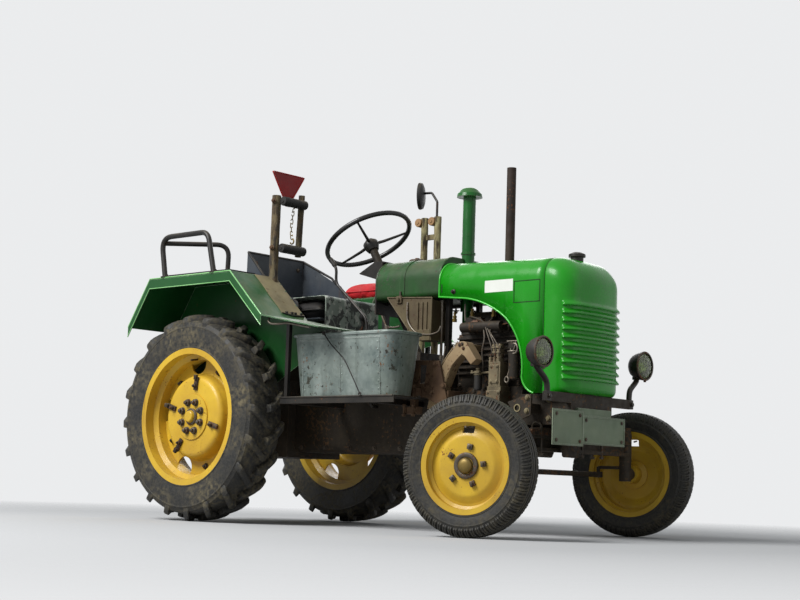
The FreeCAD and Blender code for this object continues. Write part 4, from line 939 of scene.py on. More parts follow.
@dataclass
class Studio:
    """The photograph's camera, soft lamps, and a pale floor that fades into the backdrop."""
    position: tuple[float, float, float] = (4.881, -5.3683, 0.1906)
    yaw: float = 41.993
    pitch: float = 7.007
    roll: float = 1.86
    pale: Colour = (0.83, 0.84, 0.85)
    floor_tone: Colour = (0.46, 0.465, 0.47)
    sky_colour: Colour = (0.92, 0.96, 1.0)
    sky: float = 0.30
    fade_start: float = 2.2
    fade_end: float = 5.2
    # name, place, power and size of each lamp
    lamps: tuple = (("key", (-1.2, -5.2, 5.4), 680.0, 3.2), ("fill", (6.0, 1.2, 3.6), 30.0, 4.0),
                    ("back", (-3.2, 5.2, 3.6), 120.0, 4.0))

    def camera(self) -> None:
        """Sets the camera where the photograph was taken from."""
        yaw, pitch, roll = (math.radians(a) for a in (self.yaw, self.pitch, self.roll))
        ahead = Vector((-math.sin(yaw) * math.cos(pitch), math.cos(yaw) * math.cos(pitch),
                        math.sin(pitch)))
        level = Vector((math.cos(yaw), math.sin(yaw), 0))
        up = level.cross(ahead)
        across = level * math.cos(roll) + up * math.sin(roll)
        upright = up * math.cos(roll) - level * math.sin(roll)
        data = bpy.data.cameras.new("camera")
        data.sensor_width = SENSOR_WIDTH
        data.lens = FOCAL_PIXELS * SENSOR_WIDTH / PHOTO_SIZE[0]
        made = show("camera", data)
        turn = Matrix((across, upright, -ahead)).transposed().to_4x4()
        made.matrix_world = Matrix.Translation(Vector(self.position)) @ turn
        bpy.context.scene.camera = made

    def lamp(self, name: str, at: Vector, power: float, size: float) -> None:
        """Adds a square soft lamp that looks at the tractor's middle."""
        data = bpy.data.lights.new(name, "AREA")
        data.energy = power
        data.size = size
        aim = (Vector((0, 0, 0.6)) - at).to_track_quat("-Z", "Y")
        show(name, data).matrix_world = Matrix.Translation(at) @ aim.to_matrix().to_4x4()

    def floor(self) -> None:
        """Lays a floor that keeps the shadow and fades into the backdrop with distance."""
        shader = Shader("studio_floor")
        shader.set(Base_Color=self.floor_tone, Roughness=1.0, Specular_IOR_Level=0.0)
        away = shader.node("ShaderNodeVectorMath", operation="LENGTH")
        shader.feed(away, Vector=shader.here())
        fade = shader.band(away.outputs["Value"], self.fade_start, self.fade_end)
        clear = shader.node("ShaderNodeBsdfTransparent")
        shader.feed(shader.tree.nodes["Material Output"],
                    Surface=shader.mixed(fade, shader.surface.outputs[0], clear.outputs[0]))
        mesh = bpy.data.meshes.new("studio_floor")
        reach = self.fade_end + 1.0
        mesh.from_pydata([(-reach, -reach, 0), (reach, -reach, 0), (reach, reach, 0),
                          (-reach, reach, 0)], [], [(0, 1, 2, 3)])
        mesh.materials.append(shader.material)
        show("studio_floor", mesh)

    def world(self) -> None:
        """Gives a soft sky light, and a pale backdrop to the camera, gloss and glass."""
        made = bpy.data.worlds.new("studio")
        made.use_nodes = True
        made.node_tree.nodes.clear()
        sky = Nodes(made.node_tree)
        rays = sky.node("ShaderNodeLightPath").outputs
        clear = sky.maths("MAXIMUM", rays["Is Glossy Ray"], rays["Is Transmission Ray"])
        seen = sky.maths("MAXIMUM", rays["Is Camera Ray"], clear)
        light, back = (sky.node("ShaderNodeBackground") for _ in range(2))
        sky.feed(light, Color=self.sky_colour, Strength=self.sky)
        sky.feed(back, Color=self.pale, Strength=1.0)
        sky.feed(sky.node("ShaderNodeOutputWorld"),
                 Surface=sky.mixed(seen, light.outputs[0], back.outputs[0]))
        bpy.context.scene.world = made

    def build(self) -> None:
        """Makes the whole studio."""
        bpy.context.scene.view_settings.view_transform = "Standard"
        self.camera()
        for name, at, power, size in self.lamps:
            self.lamp(name, Vector(at), power, size)
        self.floor()
        self.world()


class RingArray(Nodes):
    """A geometry node tree that repeats an item about the Y axis."""
    INPUTS = (("Item", "Object"), ("Finish", "Material"), ("Count", "Int"), ("Phase", "Float"),
              ("Wobble", "Float"), ("Seed", "Int"))

    def __init__(self) -> None:
        """Builds the tree: points at the centre, each turned by its share of the circle."""
        super().__init__(bpy.data.node_groups.new("item_ring", "GeometryNodeTree"))
        face = self.tree.interface
        for name, kind in self.INPUTS:
            face.new_socket(name, in_out="INPUT", socket_type=f"NodeSocket{kind}")
        face.new_socket("Geometry", in_out="OUTPUT", socket_type="NodeSocketGeometry")
        given = self.node("NodeGroupInput").outputs
        points = self.node("GeometryNodePoints")
        self.feed(points, Count=given["Count"])
        share = self.maths("DIVIDE", self.node("GeometryNodeInputIndex").outputs[0], given["Count"])
        turn = self.node("ShaderNodeCombineXYZ")
        self.feed(turn, Y=self.maths("MULTIPLY_ADD", share, 2 * math.pi, given["Phase"]))
        item = self.node("GeometryNodeObjectInfo")
        self.feed(item, Object=given["Item"])
        size = self.node("FunctionNodeRandomValue", data_type="FLOAT")
        self.feed(size, Seed=given["Seed"])
        for number, operation in ((2, "SUBTRACT"), (3, "ADD")):
            self.plug(size.inputs[number], self.maths(operation, 1.0, given["Wobble"]))
        placed = self.node("GeometryNodeInstanceOnPoints")
        self.feed(placed, Points=points.outputs[0], Instance=item.outputs["Geometry"],
                  Rotation=turn.outputs[0], Scale=size.outputs[1])
        solid = self.node("GeometryNodeRealizeInstances")
        self.feed(solid, Geometry=placed.outputs["Instances"])
        finish = self.node("GeometryNodeSetMaterial")
        self.feed(finish, Geometry=solid.outputs["Geometry"], Material=given["Finish"])
        self.feed(self.node("NodeGroupOutput"), Geometry=finish.outputs["Geometry"])

    def repeat(self, item: Solid, finish: object, count: int, phase: float = 0.0,
               bevel: float = 0.0, wobble: float = 0.0, seed: int = 1) -> bpy.types.Mesh:
        """Repeats an item about the Y axis.

        Args:
            item: the item, where the first one lies.
            finish: its finish.
            count: how many there are.
            phase: turn of the first one, in degrees.
            bevel: width of its rounded edges.
            wobble: how far the sizes differ, as a share.
            seed: fixes the differences.

        Returns:
            The mesh of all of them.
        """
        model = item.build("array_item", paint(finish), bevel)
        host = show("array_host", bpy.data.meshes.new("array_host"))
        maker = modify(host, "NODES", node_group=self.tree)
        values = {"Item": model, "Finish": paint(finish), "Count": count,
                  "Phase": math.radians(phase), "Wobble": wobble, "Seed": seed}
        for socket in self.tree.interface.items_tree:
            if socket.in_out == "INPUT":
                maker[socket.identifier] = values[socket.name]
        bpy.context.view_layer.update()
        mesh = applied(host)
        for spent in (host, model):
            bpy.data.objects.remove(spent)
        return mesh


arrays = RingArray()


def piece_from(name: str, meshes: Sequence[bpy.types.Mesh], change: Matrix, finish: object,
               smooth: float = 40.0) -> bpy.types.Object:
    """Joins meshes into one piece and sets it in place.

    Args:
        name: the piece's name.
        meshes: what it is made of.
        change: takes the meshes' own frame to the tractor's.
        finish: its finish.
        smooth: angle in degrees up to which faces shade as one.

    Returns:
        The piece.
    """
    work = bmesh.new()
    for mesh in meshes:
        copy = mesh.copy()
        copy.transform(change)
        work.from_mesh(copy)
        bpy.data.meshes.remove(copy)
    whole = bpy.data.meshes.new(name)
    work.to_mesh(whole)
    work.free()
    return finish_mesh(name, whole, paint(finish), 0.0, smooth)


def plain_mesh(solid: Solid, finish: object, bevel: float = 0.0) -> bpy.types.Mesh:
    """The mesh of a solid with its rounding applied."""
    made = solid.build("part", paint(finish), bevel)
    mesh = applied(made)
    bpy.data.objects.remove(made)
    return mesh


def hex_nut(radius: float, height: float, stud: float, washer: float = 0.0) -> Solid:
    """A nut on its stud with a washer, drawn from the origin towards -Y."""
    made, end = Solid(), height + stud
    if washer:
        made.lathe([(0, 0), (washer, 0), (washer, 0.003), (0, 0.003)], Vector(), RIGHTWARD, 20)
    made.lathe([(0, 0.002), (radius, 0.002), (radius, height - 0.002), (radius * 0.88, height),
                (0, height)], Vector(), RIGHTWARD, 6)
    made.lathe([(0, height), (stud, height), (stud, end), (stud * 0.7, height + stud * 1.3),
                (0, height + stud * 1.3)], Vector(), RIGHTWARD, 12)
    return made


@dataclass
class RearWheel:
    """Lugged tyre on a yellow wheel, drawn about the axle with the outside towards -Y."""
    side: Side
    track: float = 524.0 * MM
    radius: float = 495.0 * MM
    bead: float = 305.3 * MM
    lug_count: int = 20
    lug_slope: float = 0.85
    face: float = -55.0 * MM            # the drum's face, from the wheel's centre plane
    nut_circle: float = 72.0 * MM
    clamp_angles: tuple[float, ...] = (83.0, 163.0, -15.0, -122.0)

    @property
    def change(self) -> Matrix:
        """From the wheel's own frame to the tractor's."""
        flip = Matrix.Diagonal((1, -self.side.value, 1, 1))
        at = place(0, 0, 0) + Vector((0, self.side.value * self.track, self.radius))
        return Matrix.Translation(at) @ flip

    def skin(self) -> Solid:
        """The tyre's body: bead, bulged walls with moulded rings, and a low crown."""
        wall = [(self.bead, -0.088), (0.312, -0.096), (0.326, -0.0975), (0.3275, -0.1005),
                (0.333, -0.1008), (0.335, -0.0985), (0.36, -0.1025), (0.395, -0.104),
                (0.425, -0.1035), (0.4265, -0.1052), (0.431, -0.1052), (0.433, -0.1028),
                (0.45, -0.096), (0.459, -0.082), (0.4635, -0.055), (0.466, -0.025)]
        profile = wall + [(0.4665, 0.0)] + [(r, -y) for r, y in reversed(wall)]
        profile += [(self.bead - 0.001, 0.07), (self.bead - 0.001, -0.07), (self.bead, -0.088)]
        return Solid().lathe(profile, Vector(), LEFTWARD, 144)

    def lug(self, half: int) -> Solid:
        """One lug from the tread's middle to the shoulder, leaning back and curving.

        Args:
            half: -1 for the outer half of the tread, 1 for the inner.

        Returns:
            The lug, where the first one lies.
        """
        # across the tread, top radius, foot radius, half width at the top, share of the lean
        rows = [(-0.008, 0.4935, 0.462, 0.0165, 0.00), (0.012, 0.4945, 0.462, 0.0175, 0.02),
                (0.034, 0.4935, 0.461, 0.0180, 0.24), (0.058, 0.4910, 0.458, 0.0180, 0.52),
                (0.080, 0.4860, 0.452, 0.0185, 0.79), (0.096, 0.4780, 0.444, 0.0190, 0.96),
                (0.1025, 0.4640, 0.430, 0.0170, 1.02), (0.1035, 0.4480, 0.418, 0.0120, 1.04)]
        reach = self.lug_slope * 0.094
        points = []
        for across, top, foot, width, lean in rows:
            back = 0.040 - reach * lean
            inner = max(across - 0.004, -0.010)
            for x, y, r in ((back - width - 0.006, inner, foot), (back - width, across, top - 0.003),
                            (back - width + 0.003, across, top), (back + width - 0.003, across, top),
                            (back + width, across, top - 0.003), (back + width + 0.006, inner, foot)):
                angle = x / self.radius
                points.append(Vector((r * math.sin(angle), half * y, r * math.cos(angle))))
        last = (len(rows) - 1) * 6
        ends = [tuple(range(6)), tuple(range(last, last + 6))]
        return Solid().add(points, grid(len(rows), 6, True) + ends)

    def tyre(self) -> None:
        """Makes the tyre's skin and its lugs."""
        word = self.side.word
        skin = piece_from(f"rear_tyre_skin_{word}", [plain_mesh(self.skin(), REAR_RUBBER)],
                          self.change, REAR_RUBBER, 32.0)
        attach(skin, f"wheel_rear_{word}", "rear_rubber", f"rear_tyre_{word}")
        step = 360.0 / self.lug_count
        rings = [arrays.repeat(self.lug(half), REAR_RUBBER, self.lug_count, start * step, 0.0025,
                               0.004, 7 + half) for half, start in ((-1, 0.0), (1, 0.5))]
        lugs = piece_from(f"rear_lugs_{word}", rings, self.change, REAR_RUBBER, 30.0)
        attach(lugs, f"wheel_rear_{word}", "rear_rubber")

    def fasteners(self) -> None:
        """Makes hub nuts, clamp bolts, rim bolts and the valve."""
        word = self.side.word
        face = self.face - 0.006
        nut = hex_nut(0.0165, 0.016, 0.009, 0.0185)
        nut = nut.moved(Matrix.Translation((0, face, self.nut_circle)))
        nuts = [arrays.repeat(nut, CHAIN_STEEL, 8, 22.5, 0.0008)]
        hub = Solid().lathe([(0.040, 0.0), (0.040, 0.007), (0.036, 0.009), (0.0, 0.009)],
                            Vector((0, face, 0)), -LEFTWARD, 40)
        nuts.append(plain_mesh(hub, CHAIN_STEEL, 0.001))
        made = piece_from(f"hub_nuts_{word}", nuts, self.change, CHAIN_STEEL)
        attach(made, f"wheel_rear_{word}", "bare_steel")
        clamps = Solid()
        for angle in self.clamp_angles:
            turn = Matrix.Rotation(math.radians(90.0 - angle), 4, "Y")
            lift = Matrix.Translation((0, self.face, 0.158))
            clamp = Solid().box(Vector((-0.012, -0.009, -0.030)), Vector((0.012, 0.0, 0.034)))
            clamp.box(Vector((-0.009, -0.018, 0.020)), Vector((0.009, -0.006, 0.044)))
            bolt = hex_nut(0.0105, 0.011, 0.006).moved(Matrix.Translation((0, -0.009, -0.010)))
            clamp.join(bolt)
            placed = clamp.moved(turn @ lift)
            clamps.join(placed)
        for i in range(5):
            angle = math.radians(100.0 + 36.0 + 72.0 * i)
            at = Vector((0.238 * math.cos(angle), 0.009, 0.238 * math.sin(angle)))
            bolt = hex_nut(0.013, 0.012, 0.007, 0.016).moved(Matrix.Translation(at))
            clamps.join(bolt)
        valve = Vector((0.0, -0.040, 0.276))
        clamps.rod(valve, valve + Vector((0.0, -0.042, -0.006)), 0.0045, 12)
        made = piece_from(f"wheel_clamps_{word}", [plain_mesh(clamps, SPRING_STEEL, 0.001)],
                          self.change, SPRING_STEEL)
        attach(made, f"wheel_rear_{word}", "bare_steel")

    def build(self) -> None:
        """Makes the whole wheel."""
        self.tyre()
        self.fasteners()


@dataclass
class FrontWheel:
    """Road-treaded steered wheel, drawn about its spindle with the outside towards -Y."""
    side: Side
    kingpin: tuple[float, float] = (1730.0, 526.0)
    reach: float = 95.0 * MM
    steer: float = 13.0
    radius: float = 285.0 * MM
    bead: float = 178.3 * MM
    face: float = -32.0 * MM
    block_count: int = 66

    @property
    def change(self) -> Matrix:
        """From the wheel's own frame to the tractor's."""
        flip = Matrix.Diagonal((1, -self.side.value, 1, 1))
        turn = Matrix.Rotation(math.radians(self.steer), 4, "Z")
        x, y = self.kingpin
        pin = Matrix.Translation(place(x, self.side.value * y, 0))
        return pin @ turn @ flip @ Matrix.Translation((0, -self.reach, self.radius))

    def skin(self) -> Solid:
        """The tyre's body with bead rings, round walls and three grooves in the tread."""
        wall = [(self.bead, -0.038), (0.184, -0.046), (0.197, -0.049), (0.198, -0.0515),
                (0.2025, -0.0515), (0.204, -0.050), (0.222, -0.0555), (0.236, -0.057),
                (0.2375, -0.0582), (0.2405, -0.0582), (0.242, -0.0565), (0.256, -0.0535),
                (0.268, -0.0465), (0.2765, -0.036), (0.2775, -0.0315), (0.2835, -0.031),
                (0.284, -0.0225), (0.277, -0.022), (0.277, -0.0175), (0.2845, -0.017),
                (0.285, -0.0045), (0.278, -0.004)]
        profile = wall + [(r, -y) for r, y in reversed(wall)]
        profile += [(self.bead - 0.001, 0.03), (self.bead - 0.001, -0.03), (self.bead, -0.038)]
        return Solid().lathe(profile, Vector(), LEFTWARD, 132)

    def block(self, half: int) -> Solid:
        """One shoulder block with its fine cross cuts.

        Args:
            half: -1 for the outer shoulder, 1 for the inner.

        Returns:
            The block, where the first one lies.
        """
        made = Solid()
        for start, stop in ((-0.0092, -0.0012), (0.0012, 0.0086)):
            rows = [(0.0335, 0.2838, 0.270), (0.0445, 0.2795, 0.262), (0.0525, 0.2705, 0.254),
                    (0.0575, 0.2560, 0.246)]
            points = []
            for across, top, foot in rows:
                lean = (across - 0.0335) * 0.35
                for x, r in ((start, foot), (start + 0.0006, top), (stop - 0.0006, top),
                             (stop, foot)):
                    angle = (x + lean) / self.radius
                    y = across if r == top else across - 0.003
                    points.append(Vector((r * math.sin(angle), half * y, r * math.cos(angle))))
            last = (len(rows) - 1) * 4
            ends = [tuple(range(4)), tuple(range(last, last + 4))]
            made.add(points, grid(len(rows), 4, True) + ends)
        return made

    def tyre(self) -> None:
        """Makes the tyre's skin and its shoulder blocks."""
        word = self.side.word
        skin = piece_from(f"front_tyre_skin_{word}", [plain_mesh(self.skin(), FRONT_RUBBER)],
                          self.change, FRONT_RUBBER, 32.0)
        attach(skin, f"wheel_front_{word}", "front_rubber", f"front_tyre_{word}")
        rings = [arrays.repeat(self.block(half), FRONT_RUBBER, self.block_count, start) for half,
                 start in ((-1, 0.0), (1, 2.7))]
        tread = piece_from(f"front_tread_{word}", rings, self.change, FRONT_RUBBER, 30.0)
        attach(tread, f"wheel_front_{word}", "front_rubber")

    def fasteners(self) -> None:
        """Makes the five square-headed studs, the hub's ring and cap, and the valve."""
        word = self.side.word
        stud = Solid().box(Vector((-0.011, self.face - 0.010, 0.066)),
                           Vector((0.011, self.face + 0.002, 0.088)))
        stud.rod(Vector((0, self.face - 0.009, 0.077)), Vector((0, self.face - 0.018, 0.077)),
                 0.006, 12)
        studs = [arrays.repeat(stud, CHAIN_STEEL, 5, 12.0, 0.001)]
        ring = Solid().lathe([(0.0525, 0.0), (0.0525, 0.006), (0.049, 0.008), (0.034, 0.008),
                              (0.034, 0.0)], Vector((0, self.face - 0.001, 0)), -LEFTWARD, 48)
        studs.append(plain_mesh(ring, CHAIN_STEEL, 0.0008))
        valve = Vector((0.0, -0.020, 0.150))
        studs.append(plain_mesh(Solid().rod(valve, valve + Vector((0, -0.030, 0.004)), 0.004, 12),
                                CHAIN_STEEL))
        made = piece_from(f"wheel_studs_{word}", studs, self.change, CHAIN_STEEL)
        attach(made, f"wheel_front_{word}", "bare_steel")
        cap = Solid().lathe([(0.031, 0.004), (0.031, 0.014), (0.027, 0.021), (0.016, 0.026),
                             (0.006, 0.027), (0.0, 0.027)], Vector((0, self.face, 0)), -LEFTWARD,
                            48)
        made = piece_from(f"hub_cap_{word}", [plain_mesh(cap, BRASS, 0.001)], self.change, BRASS)
        attach(made, f"wheel_front_{word}", "bare_steel")

    def build(self) -> None:
        """Makes the whole wheel."""
        self.tyre()
        self.fasteners()


def put(name: str, solid: Solid, finish: object, *nodes: str, body: str = "chassis",
        bevel: float = 0.0, smooth: float = 40.0) -> bpy.types.Object:
    """Builds a solid in its finish and attaches it, in place of the nodes named.

    Args:
        name: the piece's name.
        solid: its form.
        finish: its finish.
        nodes: solids of the frame that it replaces.
        body: the body that it rides on.
        bevel: width of the rounded edges, in metres.
        smooth: angle in degrees up to which faces shade as one.

    Returns:
        The piece.
    """
    piece = solid.build(name, paint(finish), bevel, smooth)
    return attach(piece, body, SLOTS.get(finish.name, finish.name), *nodes)


def sheet_wall(piece: bpy.types.Object, thick: float = SHEET_WALL, offset: float = -1.0) -> None:
    """Gives a surface its thickness, inwards unless the offset says otherwise."""
    modify(piece, "SOLIDIFY", thickness=thick, offset=offset)


def border(low: tuple[float, float], high: tuple[float, float], wide: float) -> tuple:
    """Opposite corners of the four bars of an upright rectangular border."""
    (a0, b0), (a1, b1) = low, high
    return (((a0, b0), (a1, b0 + wide)), ((a0, b1 - wide), (a1, b1)), ((a0, b0), (a0 + wide, b1)),
            ((a1 - wide, b0), (a1, b1)))


def arc_through(a: Spot, b: Spot, c: Spot, steps: int = 14) -> list[Vector]:
    """Points on the arc through three points."""
    a, b, c = spot(a), spot(b), spot(c)
    normal = (b - a).cross(c - a).normalized()
    ab, ac = b - a, c - a
    across = ab.cross(ac)
    centre = a + (across.cross(ab) * ac.length_squared
                  + ac.cross(across) * ab.length_squared) / (2 * across.length_squared)
    start, end = a - centre, c - centre
    angle = start.angle(end)
    if start.cross(end).dot(normal) < 0:
        angle = 2 * math.pi - angle
    return arc(centre, a, normal, math.degrees(angle), steps)


@dataclass(frozen=True)
class HoodForm:
    """Sizes of the hood and nose, in millimetres from the rear axle."""
    half: float = 210.0
    corner: float = 92.0
    rear: float = 1214.0
    seam: float = 1798.0
    top_rear: float = 1204.0
    top_seam: float = 1188.0
    front: float = 1940.0
    bottom: float = 604.0
    nose_corner: float = 100.0
    bulge: float = 8.0
    brow: float = 125.0
    foot: float = 30.0
    rib_start: float = 1884.0
    rib_count: int = 10
    rib_top: float = 983.0
    rib_pitch: float = 34.6
    rib_height: float = 22.0
    rib_proud: float = 13.0

    def half_at(self, z: float) -> float:
        """Half width at a height."""
        rise = z - (self.top_seam - self.corner)
        if rise <= 0:
            return self.half
        return self.half - self.corner + math.sqrt(max(self.corner ** 2 - rise ** 2, 0))

    def front_at(self, z: float) -> float:
        """How far forward the nose reaches at a height."""
        middle = self.front - self.brow + 2
        brow_z = self.top_seam - self.brow
        if z > brow_z:
            return middle + math.sqrt(max(self.brow ** 2 - (z - brow_z) ** 2, 0)) - 2
        low = self.bottom + self.foot
        if z < low:
            return self.front - self.foot + math.sqrt(max(self.foot ** 2 - (low - z) ** 2, 0))
        return self.front

    def plan(self, z: float) -> list[tuple[Vector, Vector, float]]:
        """Points round the nose at a height: place, way out, and share of a rib's rise."""
        half, front = self.half_at(z), self.front_at(z)
        depth = max(front - self.seam, 1.0)
        corner = min(self.nose_corner, depth * 0.92)
        side = []
        middle_x = front - self.bulge * min(depth / 130.0, 1.0) - corner
        for i in range(3):
            x = self.seam + (middle_x - self.seam) * i / 3
            side.append((Vector((x, -half, z)), RIGHTWARD))
        for turned in (0, 7, 14, 20, 25, 29, 30.5, 32, 33.5, 35, 37, 40, 45, 52, 60, 69, 79, 90):
            angle = math.radians(turned - 90)
            way = Vector((math.cos(angle), math.sin(angle), 0))
            at = Vector((middle_x, -half + corner, z)) + way * corner
            side.append((at, way))
        flat = half - corner
        for i in range(1, 9):
            y = -flat * (1 - i / 8)
            drop = self.bulge * min(depth / 130.0, 1.0) * (1 - (y / max(flat, 1)) ** 2)
            way = Vector((1, 0.12 * y / self.half, 0)).normalized()
            side.append((Vector((middle_x + corner + drop, y, z)), way))
        other = [(Vector((p.x, -p.y, z)), Vector((w.x, -w.y, 0))) for p, w in side[-2::-1]]
        rows = []
        for p, w in side + other:
            share = min(max((p.x - self.rib_start) / 9.0, 0.0), 1.0)
            rows.append((p, w, math.sqrt(1 - (1 - share) ** 2)))
        return rows

    def levels(self) -> list[tuple[float, float]]:
        """Heights of the nose's rows with each one's rise above the plain form."""
        rise = [(-0.7, 0.0), (-0.2, 0.55), (0.4, 0.90), (1.8, 1.0), (5.0, 0.97), (9.0, 0.80),
                (13.0, 0.55), (17.0, 0.29), (21.0, 0.10), (24.5, 0.0)]
        rows = [(self.bottom + step, 0.0) for step in (0.0, 3.0, 8.0, 15.0, 26.0)]
        for i in reversed(range(self.rib_count)):
            low = self.rib_top - self.rib_pitch * i - self.rib_height / 2
            rows += [(low + up, share * self.rib_proud) for up, share in rise]
        start = self.rib_top + self.rib_height / 2 + 16
        brow_z = self.top_seam - self.brow
        rows += [(start + (brow_z - start) * i / 3, 0.0) for i in range(4)]
        rows += [(brow_z + self.brow * math.sin(math.radians(angle)), 0.0)
                 for angle in (8, 16, 24, 32, 40, 47, 54, 61, 67, 73, 78, 82, 84.3)]
        return rows

    def nose(self) -> Solid:
        """The nose's sheet, with louvred ribs round its front and a domed brow."""
        rows = [[place(*(at + way * (proud * share))) for at, way, share in self.plan(z)] for z,
                proud in self.levels()]
        count, width = len(rows), len(rows[0])
        faces = grid(count, width)
        top = (count - 1) * width
        for k in range(width // 2):
            a, b = top + k, top + width - 1 - k
            faces.append((a, a + 1, b - 1, b) if b - a > 2 else (a, a + 1, b))
        return Solid().add([p for row in rows for p in row], faces)

    def section(self, x: float, low: float, grow: float = 0.0) -> list[Vector]:
        """The hood's outline across, from a height on the right over to the left."""
        share = (x - self.rear) / (self.seam - self.rear)
        top = self.top_rear + (self.top_seam - self.top_rear) * share + grow
        half, corner = self.half + grow, self.corner + grow
        path = [place(x, -half, low)]
        for sign in (-1, 1):
            for i in range(13):
                angle = math.radians(7.5 * i if sign < 0 else 90 - 7.5 * i)
                path.append(place(x, sign * (half - corner + corner * math.cos(angle)),
                                  top - corner + corner * math.sin(angle)))
        path.append(place(x, half, low))
        return path

    def arch(self, side: Side, out: float) -> list[Vector]:
        """The edge of the open arch on one side."""
        y = side.value * (self.half + out)
        a, b = self.rear, self.seam
        knots = [place(x, y, z) for x,
                 z in ((a, 1044), (a + 111, 1033), (a + 264, 1000), (b - 206, 935), (b - 126, 815),
                       (b - 109, 673), (b - 90, 632), (b - 45, self.bottom))]
        path = [knots[0]]
        for i in (1, 3, 5):
            path += arc_through(*knots[i:i + 3])
        return path


HOOD = HoodForm()


def hood_pieces() -> None:
    """Nose, beads in a painted highlight green, seams, and the bare label and outlined frame on the
    hood's side.
    """
    nose = HOOD.nose().build("nose_shell", paint(GREEN_PAINT), 0.0, 50.0)
    sheet_wall(nose)
    attach(nose, "chassis", "green_paint", "nose")
    # the beads along both arches and the hood's rear edge are real ridges coloured as a painted
    # highlight
    beads = Solid()
    for side in Side:
        beads.tube(HOOD.arch(side, 0.6), 0.0045, 10)
    beads.tube(HOOD.section(HOOD.rear + 2.0, 1046, 1.0), 0.004, 10)
    put("hood_beads", beads, ARCH_BEAD_HIGHLIGHT)
    gaps = Solid().tube(HOOD.section(HOOD.seam, 630, -0.6), 0.0016, 8)
    for side in Side:
        y = side.value * (HOOD.half + 0.4)
        gaps.box((1227, y - 0.6, 1062), (1232, y + 0.6, 1100))
    x0, x1, z0, z1, y = 1636.0, 1776.0, 993.0, 1088.0, -HOOD.half - 0.8
    for low, high in border((x0, z0), (x1, z1), 3):
        gaps.box((low[0], y - 0.4, low[1]), (high[0], y + 0.9, high[1]))
    put("hood_gaps", gaps, DARK_GAP, bevel=0.0003)
    label = Solid().box((1476, -HOOD.half - 1.1, 1046), (1631, -HOOD.half + 0.5, 1099))
    put("hood_label", label, WHITE_LABEL, bevel=0.0006)
    knobs = Solid()
    for side in Side:
        knobs.lathe([(0, 0), (0.011, 0), (0.011, 0.004), (0.006, 0.007), (0.007, 0.014),
                     (0.005, 0.017), (0, 0.017)], (1300, side.value * HOOD.half, 1062), side.out,
                    20)
    put("hood_knobs", knobs, BLACK_PAINT)


def tank_pieces() -> None:
    """Rolled end seams, strap fittings and filler cap of the tank, with the dash's dials."""
    half, low, top, corner = 196.0, 1048.0, 1238.0, 100.0
    seams = Solid()
    for x in (817.0, 1203.0):
        path = [place(x, -half, low + 26)]
        for sign in (-1, 1):
            for i in range(11):
                angle = math.radians(9 * i if sign < 0 else 90 - 9 * i)
                path.append(place(x, sign * (half - corner + corner * math.cos(angle)),
                                  top - corner + corner * math.sin(angle)))
        path.append(place(x, half, low + 26))
        seams.tube(path, 0.0032, 8)
    put("tank_seams", seams, TANK_GREEN)
    fittings = Solid()
    for side in Side:
        y = side.value * (half + 4)
        fittings.box((968, y - 5, 1060), (978, y + 5, 1084))
        fittings.rod((973, y, 1030), (973, y, 1076), 0.0045, 12)
        fittings.bolts([(973, y, 1034)], DOWNWARD, 0.0085, 0.008)
        fittings.box((958, y - 9, 1036), (988, y + 9, 1041))
    put("tank_strap_bolts", fittings, CHAIN_STEEL, bevel=0.0008)
    cap = Solid().lathe([(0.036, 0.0), (0.036, 0.012), (0.033, 0.016), (0.012, 0.018),
                         (0.010, 0.024), (0.0, 0.025)], (893, 0, 1248), UPWARD, 40)
    for i in range(12):
        angle = math.radians(30 * i)
        at = place(893 + 36 * math.cos(angle), 36 * math.sin(angle), 1248)
        cap.rod(at, at + Vector((0, 0, 0.012)), 0.0032, 8)
    put("tank_cap", cap, CHAIN_STEEL, bevel=0.0006)
    bezels, faces, marks = Solid(), Solid(), Solid()
    for y, radius in ((-96.0, 36.0), (96.0, 36.0), (-20.0, 24.0)):
        z = 1150.0 if radius > 30 else 1196.0
        at = place(806, y, z)
        r = radius * MM
        bezels.lathe([(r * 0.9, 0.0), (r + 0.003, 0.0), (r + 0.003, 0.006), (r, 0.010),
                      (r * 0.93, 0.010), (r * 0.9, 0.004)], at, BACKWARD, 40)
        faces.lathe([(0, 0.0), (r * 0.92, 0.0), (r * 0.92, 0.004), (0, 0.004)], at, BACKWARD, 40)
        for i in range(9):
            angle = math.radians(-120 + 30 * i)
            way = Vector((0, math.sin(angle), math.cos(angle)))
            turn = Matrix.Rotation(-angle, 4, "X")
            spot = at + way * r * 0.74 + BACKWARD * 0.0045
            marks.box(spot - Vector((0.0004, 0.0007, r * 0.1)),
                      spot + Vector((0.0004, 0.0007, r * 0.1)), turn)
        angle = math.radians(-52)
        turn = Matrix.Rotation(-angle, 4, "X")
        spot = at + Vector((0, math.sin(angle), math.cos(angle))) * r * 0.3 + BACKWARD * 0.0056
        marks.box(spot - Vector((0.0005, 0.001, r * 0.38)),
                  spot + Vector((0.0005, 0.001, r * 0.38)), turn)
    put("dash_bezels", bezels, CHAIN_STEEL)
    put("dash_dials", faces, DIAL_FACE)
    put("dash_needles", marks, BLACK_PAINT)
    knobs = Solid()
    for y, z in ((-140.0, 1090.0), (-60.0, 1075.0), (60.0, 1075.0), (140.0, 1090.0)):
        knobs.lathe([(0, 0), (0.005, 0), (0.005, 0.018), (0.011, 0.022), (0.013, 0.030),
                     (0.010, 0.037), (0, 0.039)], (806, y, z), BACKWARD, 24)
    put("dash_knobs", knobs, BLACK_RUBBER)


